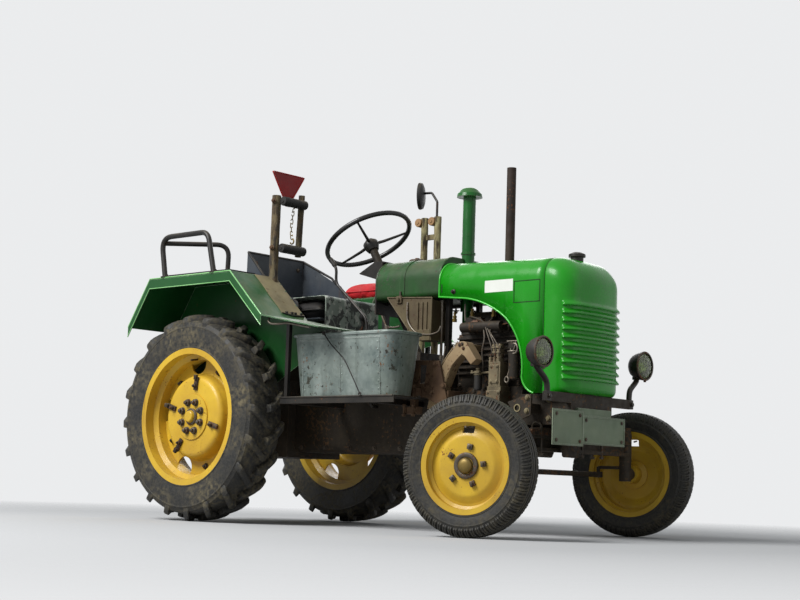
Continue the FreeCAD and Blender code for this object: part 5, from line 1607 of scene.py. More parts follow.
@dataclass
class Headlamp:
    """Hollow bowl on a bent arm with a mirror, bulb, rim and ribbed glass."""
    side: Side
    front: float = 1921.0
    out: float = 376.0
    height: float = 759.0

    @property
    def middle(self) -> Vector:
        """Where the bowl's rim plane meets its axis."""
        return place(self.front, self.side.value * self.out, self.height)

    def build(self) -> list[bpy.types.Object]:
        """Makes the lamp's pieces; the shell stands for its half of the node."""
        word, sign = self.side.word, self.side.value
        at, ahead = self.middle, FORWARD
        shell = Solid().lathe([(0.0, -0.070), (0.018, -0.069), (0.031, -0.064), (0.044, -0.055),
                               (0.054, -0.041), (0.060, -0.024), (0.063, -0.006), (0.063, 0.004),
                               (0.0595, 0.004), (0.0585, -0.006), (0.050, -0.040), (0.030, -0.061),
                               (0.0, -0.066)], at, ahead, 56)
        foot = 304.0
        knee = foot + 0.8 * (self.out - foot)
        arm = smooth_path([(1892, sign * foot, 578), (1892, sign * foot, 622),
                           (1891, sign * (foot * 0.8 + knee * 0.2), 652), (1889, sign * knee, 690),
                           (1882, sign * self.out, 712)], 8)
        shell.tube(arm, 0.0125, 20)
        shell.lathe([(0.0, 0.0), (0.019, 0.0), (0.019, 0.012), (0.013, 0.018), (0.0, 0.018)],
                    (self.front - 39, sign * 376, 700), UPWARD, 24)
        shell.box((1880, sign * foot - 15, 564), (1905, sign * foot + 15, 604))
        shell.bolts([(1905, sign * foot, 584)], ahead, 0.010)
        pieces = [shell.build(f"lamp_shell_{word}", paint(BLACK_PAINT), 0.0008, 40.0)]
        rim = Solid().lathe([(0.0575, 0.002), (0.0645, 0.002), (0.066, 0.005), (0.064, 0.0085),
                             (0.058, 0.0095), (0.0565, 0.0065)], at, ahead, 64)
        rim.box(at + Vector((0.001, -0.005, -0.071)), at + Vector((0.009, 0.005, -0.062)))
        pieces.append(rim.build(f"lamp_rim_{word}", paint(CHAIN_STEEL), 0.0006, 40.0))
        dish = Solid().lathe([(0.0572, 0.0), (0.052, -0.020), (0.042, -0.038), (0.026, -0.050),
                              (0.010, -0.0555), (0.0, -0.056), (0.0, -0.058), (0.010, -0.0575),
                              (0.027, -0.052), (0.0435, -0.0395), (0.0535, -0.0205), (0.058, 0.0)],
                             at, ahead, 56)
        dish.lathe([(0, -0.056), (0.008, -0.056), (0.008, -0.040), (0.006, -0.036),
                    (0.0085, -0.026), (0.006, -0.018), (0, -0.016)], at, ahead, 24)
        pieces.append(dish.build(f"lamp_dish_{word}", paint(REFLECTOR), 0.0, 50.0))
        return pieces


def lamp_pieces() -> None:
    """Both headlamps, their glasses and both tail lamps."""
    slots = ("black_paint", "bare_steel", "bare_steel")
    for lamp in [Headlamp(side) for side in Side]:
        for piece, slot in zip(lamp.build(), slots):
            first = piece.name.startswith("lamp_shell_right")
            attach(piece, "chassis", slot, *(("headlamps",) if first else ()))
        glass = Solid().lathe([(0.0575, 0.001), (0.052, 0.0065), (0.040, 0.0105), (0.022, 0.0130),
                               (0.0, 0.0138), (0.0, 0.0108), (0.022, 0.010), (0.040, 0.0075),
                               (0.0515, 0.0035), (0.0565, -0.001)], lamp.middle, FORWARD, 64)
        names = ("lamp_lenses",) if lamp.side is Side.RIGHT else ()
        put(f"lamp_glass_{lamp.side.word}", glass, CLEAR_GLASS, *names, smooth=50.0)
    for side in Side:
        foot, tip = place(-271.6, side.value * 600, 1130.5), place(-296.6, side.value * 600, 1147)
        back = (tip - foot).normalized()
        cup = Solid().lathe([(0, 0), (0.031, 0), (0.0325, 0.004), (0.0325, 0.014), (0.030, 0.016),
                             (0.0, 0.016)], foot, back, 40)
        for angle in (60, 240):
            turn = Matrix.Rotation(math.radians(angle), 3, back)
            cup.rod(foot + turn @ Vector((0, 0.025, 0)) + back * 0.014,
                    foot + turn @ Vector((0, 0.025, 0)) + back * 0.0305, 0.003, 10)
        put(f"tail_cup_{side.word}", cup, BLACK_RUBBER, bevel=0.0006)


def plate_pieces() -> None:
    """Raised borders and screws on the bare plates, and the triangle's edge and bolts."""
    trim, screws = Solid(), Solid()
    for x, y0, y1, z0, z1 in ((1926, -90, 220, 399, 512), (1929.5, -306, -96, 389, 529)):
        for low, high in border((y0, z0), (y1, z1), 4):
            trim.box((x - 2, *low), (x + 1.2, *high))
        spots = [place(x, y, z) for y in (y0 + 22, y1 - 22) for z in (z0 + 16, z1 - 16)]
        screws.bolts(spots, FORWARD, 0.006, 0.004)
    put("plate_borders", trim, PALE_PLATE, bevel=0.0006)
    corners = ((-433.0, 1687.0), (-209.0, 1687.0), (-293.0, 1557.0), (-349.0, 1557.0))
    middle = (-321.0, 1634.0)
    edge = Solid()
    for x in (321.6, 327.6):
        for (ya, za), (yb, zb) in zip(corners, corners[1:] + corners[:1]):
            pull = [(middle[0] + (y - middle[0]) * 0.93, middle[1] + (z - middle[1]) * 0.93) for y,
                    z in ((ya, za), (yb, zb))]
            edge.tube([(x, *pull[0]), (x, *pull[1])], 0.0022, 8)
    put("triangle_edge", edge, RED_PLATE)
    screws.bolts([(322.2, -321, z) for z in (1538.0, 1600.0)], BACKWARD, 0.007)
    put("plate_screws", screws, CHAIN_STEEL)


def fender_pieces() -> None:
    """Folded edges in a painted highlight green, the worn inner strip, rivets and the stay rod of the
    fenders.
    """
    line = FENDER_LINE
    lip_highlights, rivets = Solid(), Solid()
    for side in Side:
        y = side.value * 681.6
        # thin tubes along the top and the foot of the outer lip, coloured as a painted highlight
        lip_highlights.tube([(x, y, z - 0.6) for x, z in line[:4]], 0.0028, 8)
        lip_highlights.tube([(x, y + side.value * 0.6, z - 49) for x, z in line[:4]], 0.0022, 8)
        for (x0, z0), (x1, z1) in zip(line[1:3], line[2:4]):
            for i in range(1, 6):
                share = i / 6
                at = place(x0 + (x1 - x0) * share, side.value * 392, z0 + (z1 - z0) * share)
                slope = Vector((-(z1 - z0), 0, x1 - x0)).normalized()
                rivets.lathe([(0.006, 0), (0.0055, 0.002), (0.003, 0.0035), (0, 0.004)], at, slope,
                             12)
    put("fender_edges", lip_highlights, LIP_HIGHLIGHT)
    put("fender_rivets", rivets, FENDER_GREEN)
    strip = Solid()
    along = tuple((336 + 224 * t, 1167 - 217 * t) for t in (0.0, 0.25, 0.5, 0.72, 0.89))
    edge = ((-528.0, -524.0, -529.0, -525.0, -530.0), (-387.0,) * 5)
    top, low = [], []
    for i, (x, z) in enumerate(along):
        for rows, lift in ((top, 1.4), (low, -0.4)):
            rows.append((place(x + lift * 0.69, edge[0][i], z + lift * 0.72),
                         place(x + lift * 0.69, edge[1][i], z + lift * 0.72)))
    points = [p for pair in top + low for p in pair]
    count = len(along)
    faces = []
    for i in range(count - 1):
        a, b = 2 * i, 2 * (count + i)
        faces += [(a, a + 1, a + 3, a + 2), (b, b + 2, b + 3, b + 1), (a, a + 2, b + 2, b),
                  (a + 1, b + 1, b + 3, a + 3)]
    last = 2 * (count - 1)
    faces += [(0, 2 * count, 2 * count + 1, 1),
              (last, last + 1, 2 * count + last + 1, 2 * count + last)]
    strip.add(points, faces)
    put("fender_strip", strip, WORN_SHEET)
    stay = smooth_path([(574, -640, 938), (578, -650, 922), (596, -652, 909), (640, -650, 905),
                        (701, -645, 906), (780, -642, 892), (836, -640, 882)], 6)
    put("fender_stay", Solid().tube(stay, 0.0052, 12), BARE_STEEL)
    clips = Solid()
    for y in (-505.0, -470.0, -448.0, -410.0):
        clips.box((530, y, 974), (540, y + 12, 984))
    clips.tube([(537, -528, 974), (546, -470, 966), (541, -388, 971)], 0.004, 8)
    put("fender_clips", clips, BLACK_RUBBER, bevel=0.001)


# Bent sheets, bars and brackets

def rounded(corners: Sequence[tuple[Vector, float]], closed: bool = True) -> list[Vector]:
    """A path with each corner taken round its own radius.

    Args:
        corners: (place, radius in millimetres) pairs.
        closed: whether the last corner leads back to the first.

    Returns:
        The points of the path.
    """
    path = []
    count = len(corners)
    for i, (at, radius) in enumerate(corners):
        if not radius or (not closed and i in (0, count - 1)):
            path.append(Vector(at))
            continue
        back = corners[i - 1][0] - at
        ahead = corners[(i + 1) % count][0] - at
        cut = radius * MM / math.tan(back.angle(ahead) / 2)
        cut = min(cut, back.length * 0.49, ahead.length * 0.49)
        first, last = at + back.normalized() * cut, at + ahead.normalized() * cut
        for k in range(9):
            t = k / 8
            path.append(first * (1 - t) ** 2 + at * (2 * t * (1 - t)) + last * t ** 2)
    return path


def cut_sheet(outline: Sequence[tuple[float, ...]], y0: float, y1: float) -> Solid:
    """A flat sheet seen from the side: (x, z) or (x, z, corner radius) between two sides."""
    corners = [(place(c[0], y0, c[1]), c[2] if len(c) > 2 else 0.0) for c in outline]
    return Solid().prism(rounded(corners), Vector((0, (y1 - y0) * MM, 0)))


def bent_rod(points: Sequence[tuple[float, float, float]], thick: float, bend: float) -> Solid:
    """A round bar along straight runs with bends between them, in millimetres."""
    path = rounded([(place(*p), bend) for p in points], closed=False)
    return Solid().tube(path, thick / 2 * MM, 20)


def hood_sheet() -> None:
    """The hood's bent sheet over both arches."""
    right = HOOD.arch(Side.RIGHT, 0.0)
    seam = place(HOOD.seam, -HOOD.half, HOOD.bottom)
    lows = []
    for p in right + [seam]:
        ahead = lows[-1][0] + 0.05 if lows else 0.0
        lows.append((max(p.x / MM + ORIGIN_AHEAD, ahead), p.z / MM))
    rows = [HOOD.section(x, low) for x, low in lows]
    form = Solid().add([p for row in rows for p in row], grid(len(rows), len(rows[0])))
    sheet = form.build("hood_sheet", paint(GREEN_PAINT))
    sheet_wall(sheet)
    attach(sheet, "chassis", "green_paint", "hood")


FENDER_LINE = ((-400.0, 935.0), (-248.0, 1165.0), (334.0, 1167.0), (560.0, 950.0), (752.0, 911.0),
               (928.0, 879.0))


def fender_shells() -> None:
    """Folded top, outer lip, inner wall and foot of both fenders."""
    under = [(x, z - 5) for x, z in reversed(FENDER_LINE)]
    lip = [(x, z - 50) for x, z in reversed(FENDER_LINE[:4])]
    wall = [*FENDER_LINE[:5], (565, 880, 10), (545, 760, 60), (330, 640, 60), (-60, 560, 20),
            (-320, 640, 60)]
    for side in Side:
        s = side.value
        shell = Solid().join(cut_sheet([*FENDER_LINE, *under], s * 385, s * 682),
                             cut_sheet([*FENDER_LINE[:4], *lip], s * 678, s * 682),
                             cut_sheet(wall, s * 385, s * 389))
        shell.box((-60, s * 389 if s < 0 else 349, 540), (60, -349 if s < 0 else 389, 610))
        put(f"fender_shell_{side.word}", shell, FENDER_GREEN, f"fender_{side.word}", bevel=0.0012)


def board_forms() -> None:
    """Footboards with folded edges, crossbars and a stay up to each fender."""
    made = Solid()
    for side in Side:
        s = side.value

        def span(x0: float, x1: float, ya: float, yb: float, z0: float, z1: float) -> None:
            """Adds a block on this side."""
            low, high = sorted((s * ya, s * yb))
            made.box((x0, low, z0), (x1, high, z1))
        span(540, 1245, 300, 525, 579, 585)
        span(540, 1245, 519, 525, 553, 579)
        span(544, 580, 135, 519, 555, 579)
        span(1060, 1096, 155, 519, 555, 579)
        stay = cut_sheet([(540, 555), (560, 555), (560, 945), (540, 964)], s * 480, s * 500)
        made.join(stay)
    put("board_forms", made, BLACK_PAINT, "footboards", bevel=0.0012)


def side_plates() -> None:
    """Slotted bracket with its clamps, and the curved duct beside the block."""
    outer = [(1110, 758), (1268, 752), (1332, 540), (1105, 615)]
    inner = [(1156, 735), (1198, 733), (1188, 650), (1156, 654)]
    points = [place(x, y, z) for y in (-262.0, -250.0) for x, z in outer + inner]
    faces = []
    for i in range(4):
        j = (i + 1) % 4
        faces += [(i, j, 4 + j, 4 + i), (8 + i, 12 + i, 12 + j, 8 + j), (i, 8 + i, 8 + j, j),
                  (4 + i, 4 + j, 12 + j, 12 + i)]
    plate = Solid().add(points, faces)
    for x0, x1, y0, y1, z0, z1 in ((1298, 1318, -250, -140, 548, 578),
                                   (1298, 1318, -250, -140, 590, 620),
                                   (1092, 1168, -292, -250, 588, 630),
                                   (1092, 1172, -292, -250, 516, 548),
                                   (1118, 1148, -276, -250, 530, 610)):
        plate.box((x0, y0, z0), (x1, y1, z1))
    put("bracket_plate", plate, RUSTY, "side_bracket", bevel=0.002)
    duct = cut_sheet([(1192, 540), (1278, 540), (1286, 632, 120), (1332, 730, 80), (1388, 780, 20),
                      (1436, 730), (1466, 752), (1404, 834, 30), (1362, 834, 30), (1294, 762, 80),
                      (1220, 650, 120)], -246, -194)
    duct.box((1244, -200, 545), (1274, -140, 600))
    duct.box((1370, -200, 800), (1400, -115, 826))
    put("duct_shell", duct, DUCT_PAINT, "air_duct", bevel=0.003)


def seat_tray() -> None:
    """Sheet bucket under the cushion: pan, back and sloping wings."""
    tray = Solid().box((-80, -200, 985), (455, 200, 991))
    tray.box((-80, -194, 991), (-72, 194, 1352))
    for s, knee in ((-1, (100, 1171, 60)), (1, (175, 1216, 60))):
        wing = cut_sheet([(-80, 985), (300, 985), (300, 1075, 24), knee, (-80, 1352)], s * 194,
                         s * 200)
        tray.join(wing)
    put("seat_tray", tray, SEAT_PAINT, "seat_shell", bevel=0.0012)


def bent_pieces() -> None:
    """Handrail, levers, pedals, blank triangle and the mirror's stalk."""
    rail = bent_rod([(208, -670, 1167), (154, -670, 1366), (-187, -670, 1366), (-147, -670, 1167)],
                    26, 60)
    branch = bent_rod([(-182, -668, 1338), (18, -412, 1350), (12, -412, 1167)], 24, 60)
    put("rail_tubes", Solid().join(rail, branch), BLACK_PAINT, "handrail_right", smooth=60.0)
    levers = Solid().join(bent_rod([(520, 20, 678), (520, 20, 780), (500, 25, 900),
                                    (540, 30, 1010)], 16, 60),
                          bent_rod([(760, -150, 585), (760, -150, 700), (713, -150, 980),
                                    (506, -150, 1160), (506, -150, 1234), (466, -150, 1276)], 14,
                                   60))
    levers.rod((760, -135, 600), (760, -159, 600), 0.015)
    for s in (-1, 1):
        arm = bent_rod([(788, s * 135, 560), (788, s * 174, 560), (768, s * 174, 700),
                        (690, s * 174, 790)], 18, 25)
        levers.join(arm)
        levers.box((655, s * 174 - 32, 784), (700, s * 174 + 32, 796))
    put("lever_bars", levers, BLACK_PAINT, "controls", smooth=50.0)
    corners = [(place(326.7, y, z), r) for y, z,
               r in ((-433, 1687, 10), (-209, 1687, 10), (-293, 1557, 0), (-307, 1557, 0),
                     (-307, 1525, 0), (-335, 1525, 0), (-335, 1557, 0), (-349, 1557, 0))]
    plate = Solid().prism(rounded(corners), Vector((-0.004, 0, 0)))
    put("triangle_plate", plate, RED_PLATE, "red_triangle", bevel=0.0005)
    stalk = bent_rod([(722, 226, 1640), (768, 235, 1640), (812, 227, 1590), (812, 227, 1513)], 12,
                     20)
    put("mirror_stalk", stalk, BLACK_PAINT, "mirror", smooth=60.0)


def form_pieces() -> None:
    """All the bent sheets, bars and brackets."""
    for build in (hood_sheet, fender_shells, board_forms, side_plates, seat_tray, bent_pieces):
        build()


@dataclass
class Cushion:
    """A stuffed pad: a crowned form that a short cloth simulation swells in its own space."""
    name: str
    low: tuple[float, float, float]     # millimetres, the corner of its room
    high: tuple[float, float, float]
    finish: object
    slot: str
    node: str
    fill: float = 0.6
    inset: float = 6.0                  # millimetres left for the swelling
    pull: float = 0.03                  # how far the sides draw in between the corners
    edge: float = 0.45                  # height of the seam as a share of the whole
    cap: float = 7.0 * MM               # the most that a point may move
    steps: int = 40
    voxel: float = 0.006                # metres
    frames: int = 20                    # length of the simulation

    def form(self) -> Solid:
        """The crowned form before it swells."""
        half = [(b - a) / 2 - self.inset for a, b in zip(self.low, self.high)]
        middle = [(a + b) / 2 for a, b in zip(self.low, self.high)]
        made = Solid()
        count = self.steps
        for upper in (True, False):
            points, faces = [], []
            for i in range(count + 1):
                for j in range(count + 1):
                    u, v = (math.sin(math.pi * (k / count - 0.5)) for k in (i, j))
                    full = math.sqrt(max((1 - abs(u) ** 7) * (1 - abs(v) ** 7), 0.0))
                    share = self.edge + (1 - self.edge) * full if upper else self.edge * (1 - full)
                    x = u * half[0] * (1 - self.pull * (1 - v * v) * abs(u))
                    y = v * half[1] * (1 - self.pull * (1 - u * u) * abs(v))
                    z = -half[2] + 2 * half[2] * share
                    points.append(place(middle[0] + x, middle[1] + y, middle[2] + z))
            for i in range(count):
                for j in range(count):
                    a, b = i * (count + 1) + j, (i + 1) * (count + 1) + j
                    faces.append((a, b, b + 1, a + 1) if upper else (a, a + 1, b + 1, b))
            made.add(points, faces)
        return made

    def swell(self, piece: bpy.types.Object) -> None:
        """Remeshes the form, blows it up as cloth, and holds each point within the cap."""
        piece.data.remesh_voxel_size = self.voxel
        modify(piece, "REMESH", mode="VOXEL", voxel_size=self.voxel, use_smooth_shade=True)
        self.settle(piece)
        before = np.array([v.co[:] for v in piece.data.vertices])
        cloth = modify(piece, "CLOTH")
        for key, value in (("quality", 4), ("mass", 0.3), ("tension_stiffness", 18.0),
                           ("bending_stiffness", 0.8), ("use_pressure", True),
                           ("uniform_pressure_force", 4.0)):
            setattr(cloth.settings, key, value)
        cloth.settings.effector_weights.gravity = 0.0
        cloth.collision_settings.use_collision = False
        for number in range(1, self.frames + 1):
            bpy.context.scene.frame_set(number)
        self.settle(piece)
        move = np.array([v.co[:] for v in piece.data.vertices]) - before
        reach = np.linalg.norm(move, axis=1, keepdims=True)
        move *= np.minimum(1.0, self.cap / np.maximum(reach, 1e-9))
        low = np.array(place(*self.low)[:]) + 0.0006
        high = np.array(place(*self.high)[:]) - 0.0006
        spots = np.clip(before + move, low, high)
        piece.data.vertices.foreach_set("co", spots.ravel())
        bpy.context.scene.frame_set(1)
        modify(piece, "SUBSURF", levels=1, render_levels=1)

    @staticmethod
    def settle(piece: bpy.types.Object) -> None:
        """Puts what the modifiers give in place of the piece's mesh and removes them."""
        mesh, finish = applied(piece), piece.data.materials[0]
        piece.modifiers.clear()
        piece.data = mesh
        mesh.materials.clear()
        mesh.materials.append(finish)
        mesh.polygons.foreach_set("use_smooth", [True] * len(mesh.polygons))

    def piping(self, piece: bpy.types.Object) -> Solid:
        """The corded seam round the cushion, set on the swollen form."""
        spots = np.array([v.co[:] for v in piece.data.vertices])
        middle = (spots.max(axis=0) + spots.min(axis=0)) / 2
        seam = place(0, 0, self.low[2] + self.inset
                     + (self.high[2] - self.low[2] - 2 * self.inset) * self.edge).z
        near = spots[np.abs(spots[:, 2] - seam) < 0.010]
        angles = np.arctan2(near[:, 1] - middle[1], near[:, 0] - middle[0])
        reach = np.hypot(near[:, 0] - middle[0], near[:, 1] - middle[1])
        rim = []
        for i in range(120):
            angle = -math.pi + 2 * math.pi * i / 120
            gap = np.abs((angles - angle + math.pi) % (2 * math.pi) - math.pi)
            chosen = reach[gap < 0.045]
            rim.append(float(chosen.max()) if len(chosen) else 0.1)
        soft = [(rim[i - 1] + rim[i] * 2 + rim[(i + 1) % 120]) / 4 for i in range(120)]
        path = [Vector((middle[0] + r * math.cos(-math.pi + 2 * math.pi * i / 120),
                        middle[1] + r * math.sin(-math.pi + 2 * math.pi * i / 120), seam)) for i,
                r in enumerate(soft)]
        path.append(path[0].copy())
        return Solid().tube(path, 0.0034, 8)

    def build(self) -> bpy.types.Object:
        """Makes the cushion and its piping."""
        piece = self.form().build(self.name, paint(self.finish), 0.0, 60.0)
        self.swell(piece)
        attach(piece, "chassis", self.slot, self.node)
        put(f"{self.name}_piping", self.piping(piece), self.finish)
        return piece


def blanket() -> None:
    """A fleece cover laid over the seat's front and hanging down, fringed along its hem."""
    wide, top, fall = 0.376, 0.318, 0.160
    across, along = 64, 84
    total = top + fall
    thick = 0.0045
    start, front, level = place(156, 0, 0).x, place(462, 0, 0).x, place(0, 0, 1092).z
    bend = 0.010

    def lie(u: float, v: float) -> Vector:
        """Where a point of the flat cloth lies: u across it and v along it, 0 to 1."""
        run = v * total
        flat = front - start
        y = (u - 0.5) * wide
        quarter = bend * math.pi / 2
        if run < flat:
            x, z, out, up = start + run, level, 0.0, 1.0
        elif run < flat + quarter:
            angle = (run - flat) / bend
            x, z = front + bend * math.sin(angle), level - bend * (1 - math.cos(angle))
            out, up = math.sin(angle), math.cos(angle)
        else:
            x, z = front + bend, level - bend - (run - flat - quarter)
            out, up = 1.0, 0.0
        wave = noise.noise(Vector((u * 5.2, v * 5.8, 3.7)))
        fold = 0.5 + 0.5 * math.sin(u * 21.0 + 1.6 * noise.noise(Vector((u * 3, v * 2, 9.0))))
        low = max(0.0, (run - flat) / max(total - flat, 1e-6))
        rise = 0.0018 + 0.0036 * max(wave, -0.4) * up + 0.0014 * up + 0.0062 * fold * out * low
        return Vector((x + out * rise, y + 0.004 * wave * low, z + up * rise))

    points = [lie(i / across, j / along) for j in range(along + 1) for i in range(across + 1)]
    cloth = Solid().add(points, grid(along + 1, across + 1))
    piece = cloth.build("seat_cover", paint(FLEECE), 0.0, 70.0)
    sheet_wall(piece, thick, 1.0)
    modify(piece, "SUBSURF", levels=1, render_levels=1)
    attach(piece, "chassis", "camo_fleece", "seat_blanket")
    source = random.Random(11)
    fringe = Solid()
    for i in range(210):
        u = min(max((i + source.uniform(-0.4, 0.4)) / 209, 0.0), 1.0)
        root = lie(u, 1.0)
        length = source.uniform(0.006, 0.018)
        tip = root + Vector((source.uniform(-0.003, 0.003), source.uniform(-0.004, 0.004), -length))
        fringe.tube([root + Vector((0.002, 0, 0.002)), (root + tip) / 2 + Vector((0.0015, 0, 0)),
                     tip], 0.0007, 5)
    tufts = put("seat_cover_fringe", fringe, FLEECE)


def seat_pieces() -> None:
    """Cushions, the cover, rolled edges of the seat's sheet and its bolts."""
    Cushion("seat_pad", (-20, -192, 991.3), (445, 192, 1085), DARK_VINYL, "dark_vinyl",
            "seat_cushion", fill=0.6).build()
    Cushion("fender_cushion", (0, 420, 1167.3), (260, 660, 1257), RED_VINYL, "red_cloth",
            "cushion_left", fill=0.75, edge=0.5).build()
    blanket()
    lips = Solid()
    for side, knee in ((Side.RIGHT, (100, 1171)), (Side.LEFT, (175, 1216))):
        y = side.value * 197
        lips.tube([(-77, y, 1350), (knee[0] - 40, y, knee[1] + 34),
                   place(*(knee[0] - 8, y, knee[1] + 4)), (knee[0] + 24, y, knee[1] - 16),
                   (284, y, 1078), (300, y, 1058), (300, y, 1000)], 0.0062, 12)
    lips.tube([(-77, y, 1350) for y in range(-197, 198, 394)], 0.0072, 12)
    put("seat_lips", lips, BLACK_RUBBER)
    heads = Solid().bolts([(-69, y, z) for y in (-150, 150) for z in (1060, 1300)], FORWARD, 0.008)
    heads.bolts([(x, 200.5, 1030) for x in (-40, 120, 260)], LEFTWARD, 0.007)
    heads.bolts([(x, -200.5, 1030) for x in (-40, 120, 260)], RIGHTWARD, 0.007)
    put("seat_bolts", heads, CHAIN_STEEL)
    guard = Solid()
    path = [(470, 186, 1150), (440, 196, 1118), (408, 204, 1070), (392, 208, 1010)]
    guard.tube([place(*p) for p in path], 0.006, 10)
    put("seat_side_bar", guard, PALE_PLATE)


@dataclass
class RoughPost:
    """A rough round post: knots, flutes and a broken outline along a straight run."""
    foot: Vector
    top: Vector
    radius: float
    seed: int
    rings: int = 70
    segments: int = 28
    depth: float = 0.10

    def solid(self) -> Solid:
        """The post's mesh."""
        along = self.top - self.foot
        turn = turn_to(along.normalized())
        points, faces = [], []
        for i in range(self.rings + 1):
            t = i / self.rings
            for k in range(self.segments):
                angle = 2 * math.pi * k / self.segments
                way = Vector((math.cos(angle), math.sin(angle), 0))
                where = Vector((way.x * 1.4, way.y * 1.4, t * along.length * 14 + self.seed))
                rough = noise.noise(where) * 0.5 + noise.noise(where * 3.1) * 0.3
                flute = 0.35 * noise.noise(Vector((angle * 2.2, self.seed, t * 1.5)))
                size = self.radius * (1 - self.depth + self.depth * (rough + flute))
                points.append(self.foot + turn @ (way * size + Vector((0, 0, t * along.length))))
        for i in range(self.rings):
            for k in range(self.segments):
                j = (k + 1) % self.segments
                a, b = i * self.segments, (i + 1) * self.segments
                faces.append((a + k, a + j, b + j, b + k))
        faces.append(tuple(reversed(range(self.segments))))
        faces.append(tuple(range(self.rings * self.segments, (self.rings + 1) * self.segments)))
        return Solid().add(points, faces)


def roller(centre: Vector, axis: Vector, reach: float, radius: float) -> Solid:
    """A grooved roller with end caps and a pin, centred on a point."""
    half = reach / 2
    profile = [(0.0, -half), (radius * 0.35, -half), (radius * 0.35, -half + 0.003),
               (radius * 0.92, -half + 0.004), (radius, -half + 0.009)]
    for i in range(3):
        at = -half + reach * (0.3 + 0.2 * i)
        profile += [(radius, at - 0.005), (radius * 0.93, at - 0.003), (radius * 0.93, at + 0.003),
                    (radius, at + 0.005)]
    profile += [(radius, half - 0.009), (radius * 0.92, half - 0.004),
                (radius * 0.35, half - 0.003), (radius * 0.35, half), (0.0, half)]
    return Solid().lathe(profile, centre, axis, 36)


def chain(points: Sequence[Vector], link: float, wire: float) -> Solid:
    """Oval links along a path, each turned a quarter from the one before.

    Args:
        points: the path, close together.
        link: length of a link, in metres.
        wire: its wire's radius.

    Returns:
        The whole chain.
    """
    lengths = [0.0]
    for a, b in zip(points, points[1:]):
        lengths.append(lengths[-1] + (b - a).length)
    count = int(lengths[-1] / (link - 3 * wire))
    made = Solid()
    for n in range(count):
        at = lengths[-1] * (n + 0.5) / count
        i = max(k for k in range(len(lengths)) if lengths[k] <= at)
        i = min(i, len(points) - 2)
        share = (at - lengths[i]) / max(lengths[i + 1] - lengths[i], 1e-9)
        middle = points[i].lerp(points[i + 1], share)
        turn = turn_to((points[i + 1] - points[i]).normalized())
        turn = turn @ Matrix.Rotation(math.radians(90 * (n % 2) + 20), 4, "Z")
        ring = []
        for k in range(21):
            angle = 2 * math.pi * k / 20
            x = math.cos(angle) * link * 0.24
            z = math.sin(angle) * link * 0.24 + math.copysign(link * 0.20, math.sin(angle))
            ring.append(middle + turn @ Vector((x, 0, z)))
        made.tube(ring, wire, 8)
    return made


def rack_pieces() -> None:
    """Rough posts, bars, grooved rollers, the hanging chain and the mirror."""
    near = RoughPost(place(340, -409, 1128), place(340, -409, 1564), 0.0238, 3)
    far = RoughPost(place(346, -258, 1284), place(358, -258, 1586), 0.0168, 8)
    posts = near.solid()
    posts.join(far.solid())
    low = RoughPost(place(340, -409, 1172), place(344, -409, 1133), 0.0236, 5, rings=8)
    posts.join(low.solid())
    put("rear_posts", posts, POST_DARK, "rear_rack", smooth=60.0)
    bars, rolls = Solid(), Solid()
    for z in (1308.0, 1536.0):
        bars.box((329, -406, z - 9), (364, -258, z + 9))
        rolls_at = place(381, -330, z - 1)
        one = roller(rolls_at, LEFTWARD, 0.160, 0.0225)
        rolls.join(one)
        bars.bolts([(346, -432, z)], RIGHTWARD, 0.010, 0.009)
    put("rack_bars", bars, RUSTY, bevel=0.002)
    put("rack_rollers", rolls, BLACK_RUBBER, bevel=0.0008)
    path = smooth_path([(372, -322, 1512), (374, -330, 1480), (372, -334, 1430), (376, -336, 1384),
                        (379, -333, 1358)], 10)
    links = chain(path, 0.024, 0.0022)
    links.tube(arc((379, -333, 1348), (379, -333, 1360), LEFTWARD, 250, 16), 0.0036, 10)
    put("rack_chain", links, BRASS)
    posts = Solid()
    for x in (735.0, 820.0):
        one = RoughPost(place(x, 227, 602), place(x, 227, 1514), 0.0205, int(x), rings=110,
                        depth=0.16)
        posts.join(one.solid())
        posts.box((x - 17, 136, 602), (x + 17, 226, 638))
    posts.box((735, 220, 1402), (820, 234, 1428))
    put("front_posts", posts, POST_PALE, "front_rack", smooth=60.0, bevel=0.001)
    rolls = Solid()
    for x in (712.0, 797.0):
        one = roller(place(x, 227, 1490), LEFTWARD, 0.062, 0.0215)
        rolls.join(one)
    put("front_rollers", rolls, ROLLER, bevel=0.0008)
    facing = (place(726, 227.6, 1626) - place(704, 215, 1626)).normalized()
    glass = Solid().lathe([(0.0, 0.0), (0.060, 0.0), (0.060, 0.001), (0.0, 0.0022)],
                          (704, 215, 1626), -facing, 48)
    put("mirror_glass", glass, MIRROR_GLASS, smooth=60.0)
    rim = Solid().lathe([(0.0595, -0.0005), (0.066, -0.001), (0.0672, 0.004), (0.064, 0.016),
                         (0.050, 0.022), (0.0, 0.0255), (0.0, 0.021), (0.0595, 0.008)],
                        (704, 215, 1626), facing, 56)
    put("mirror_shell", rim, BLACK_RUBBER)


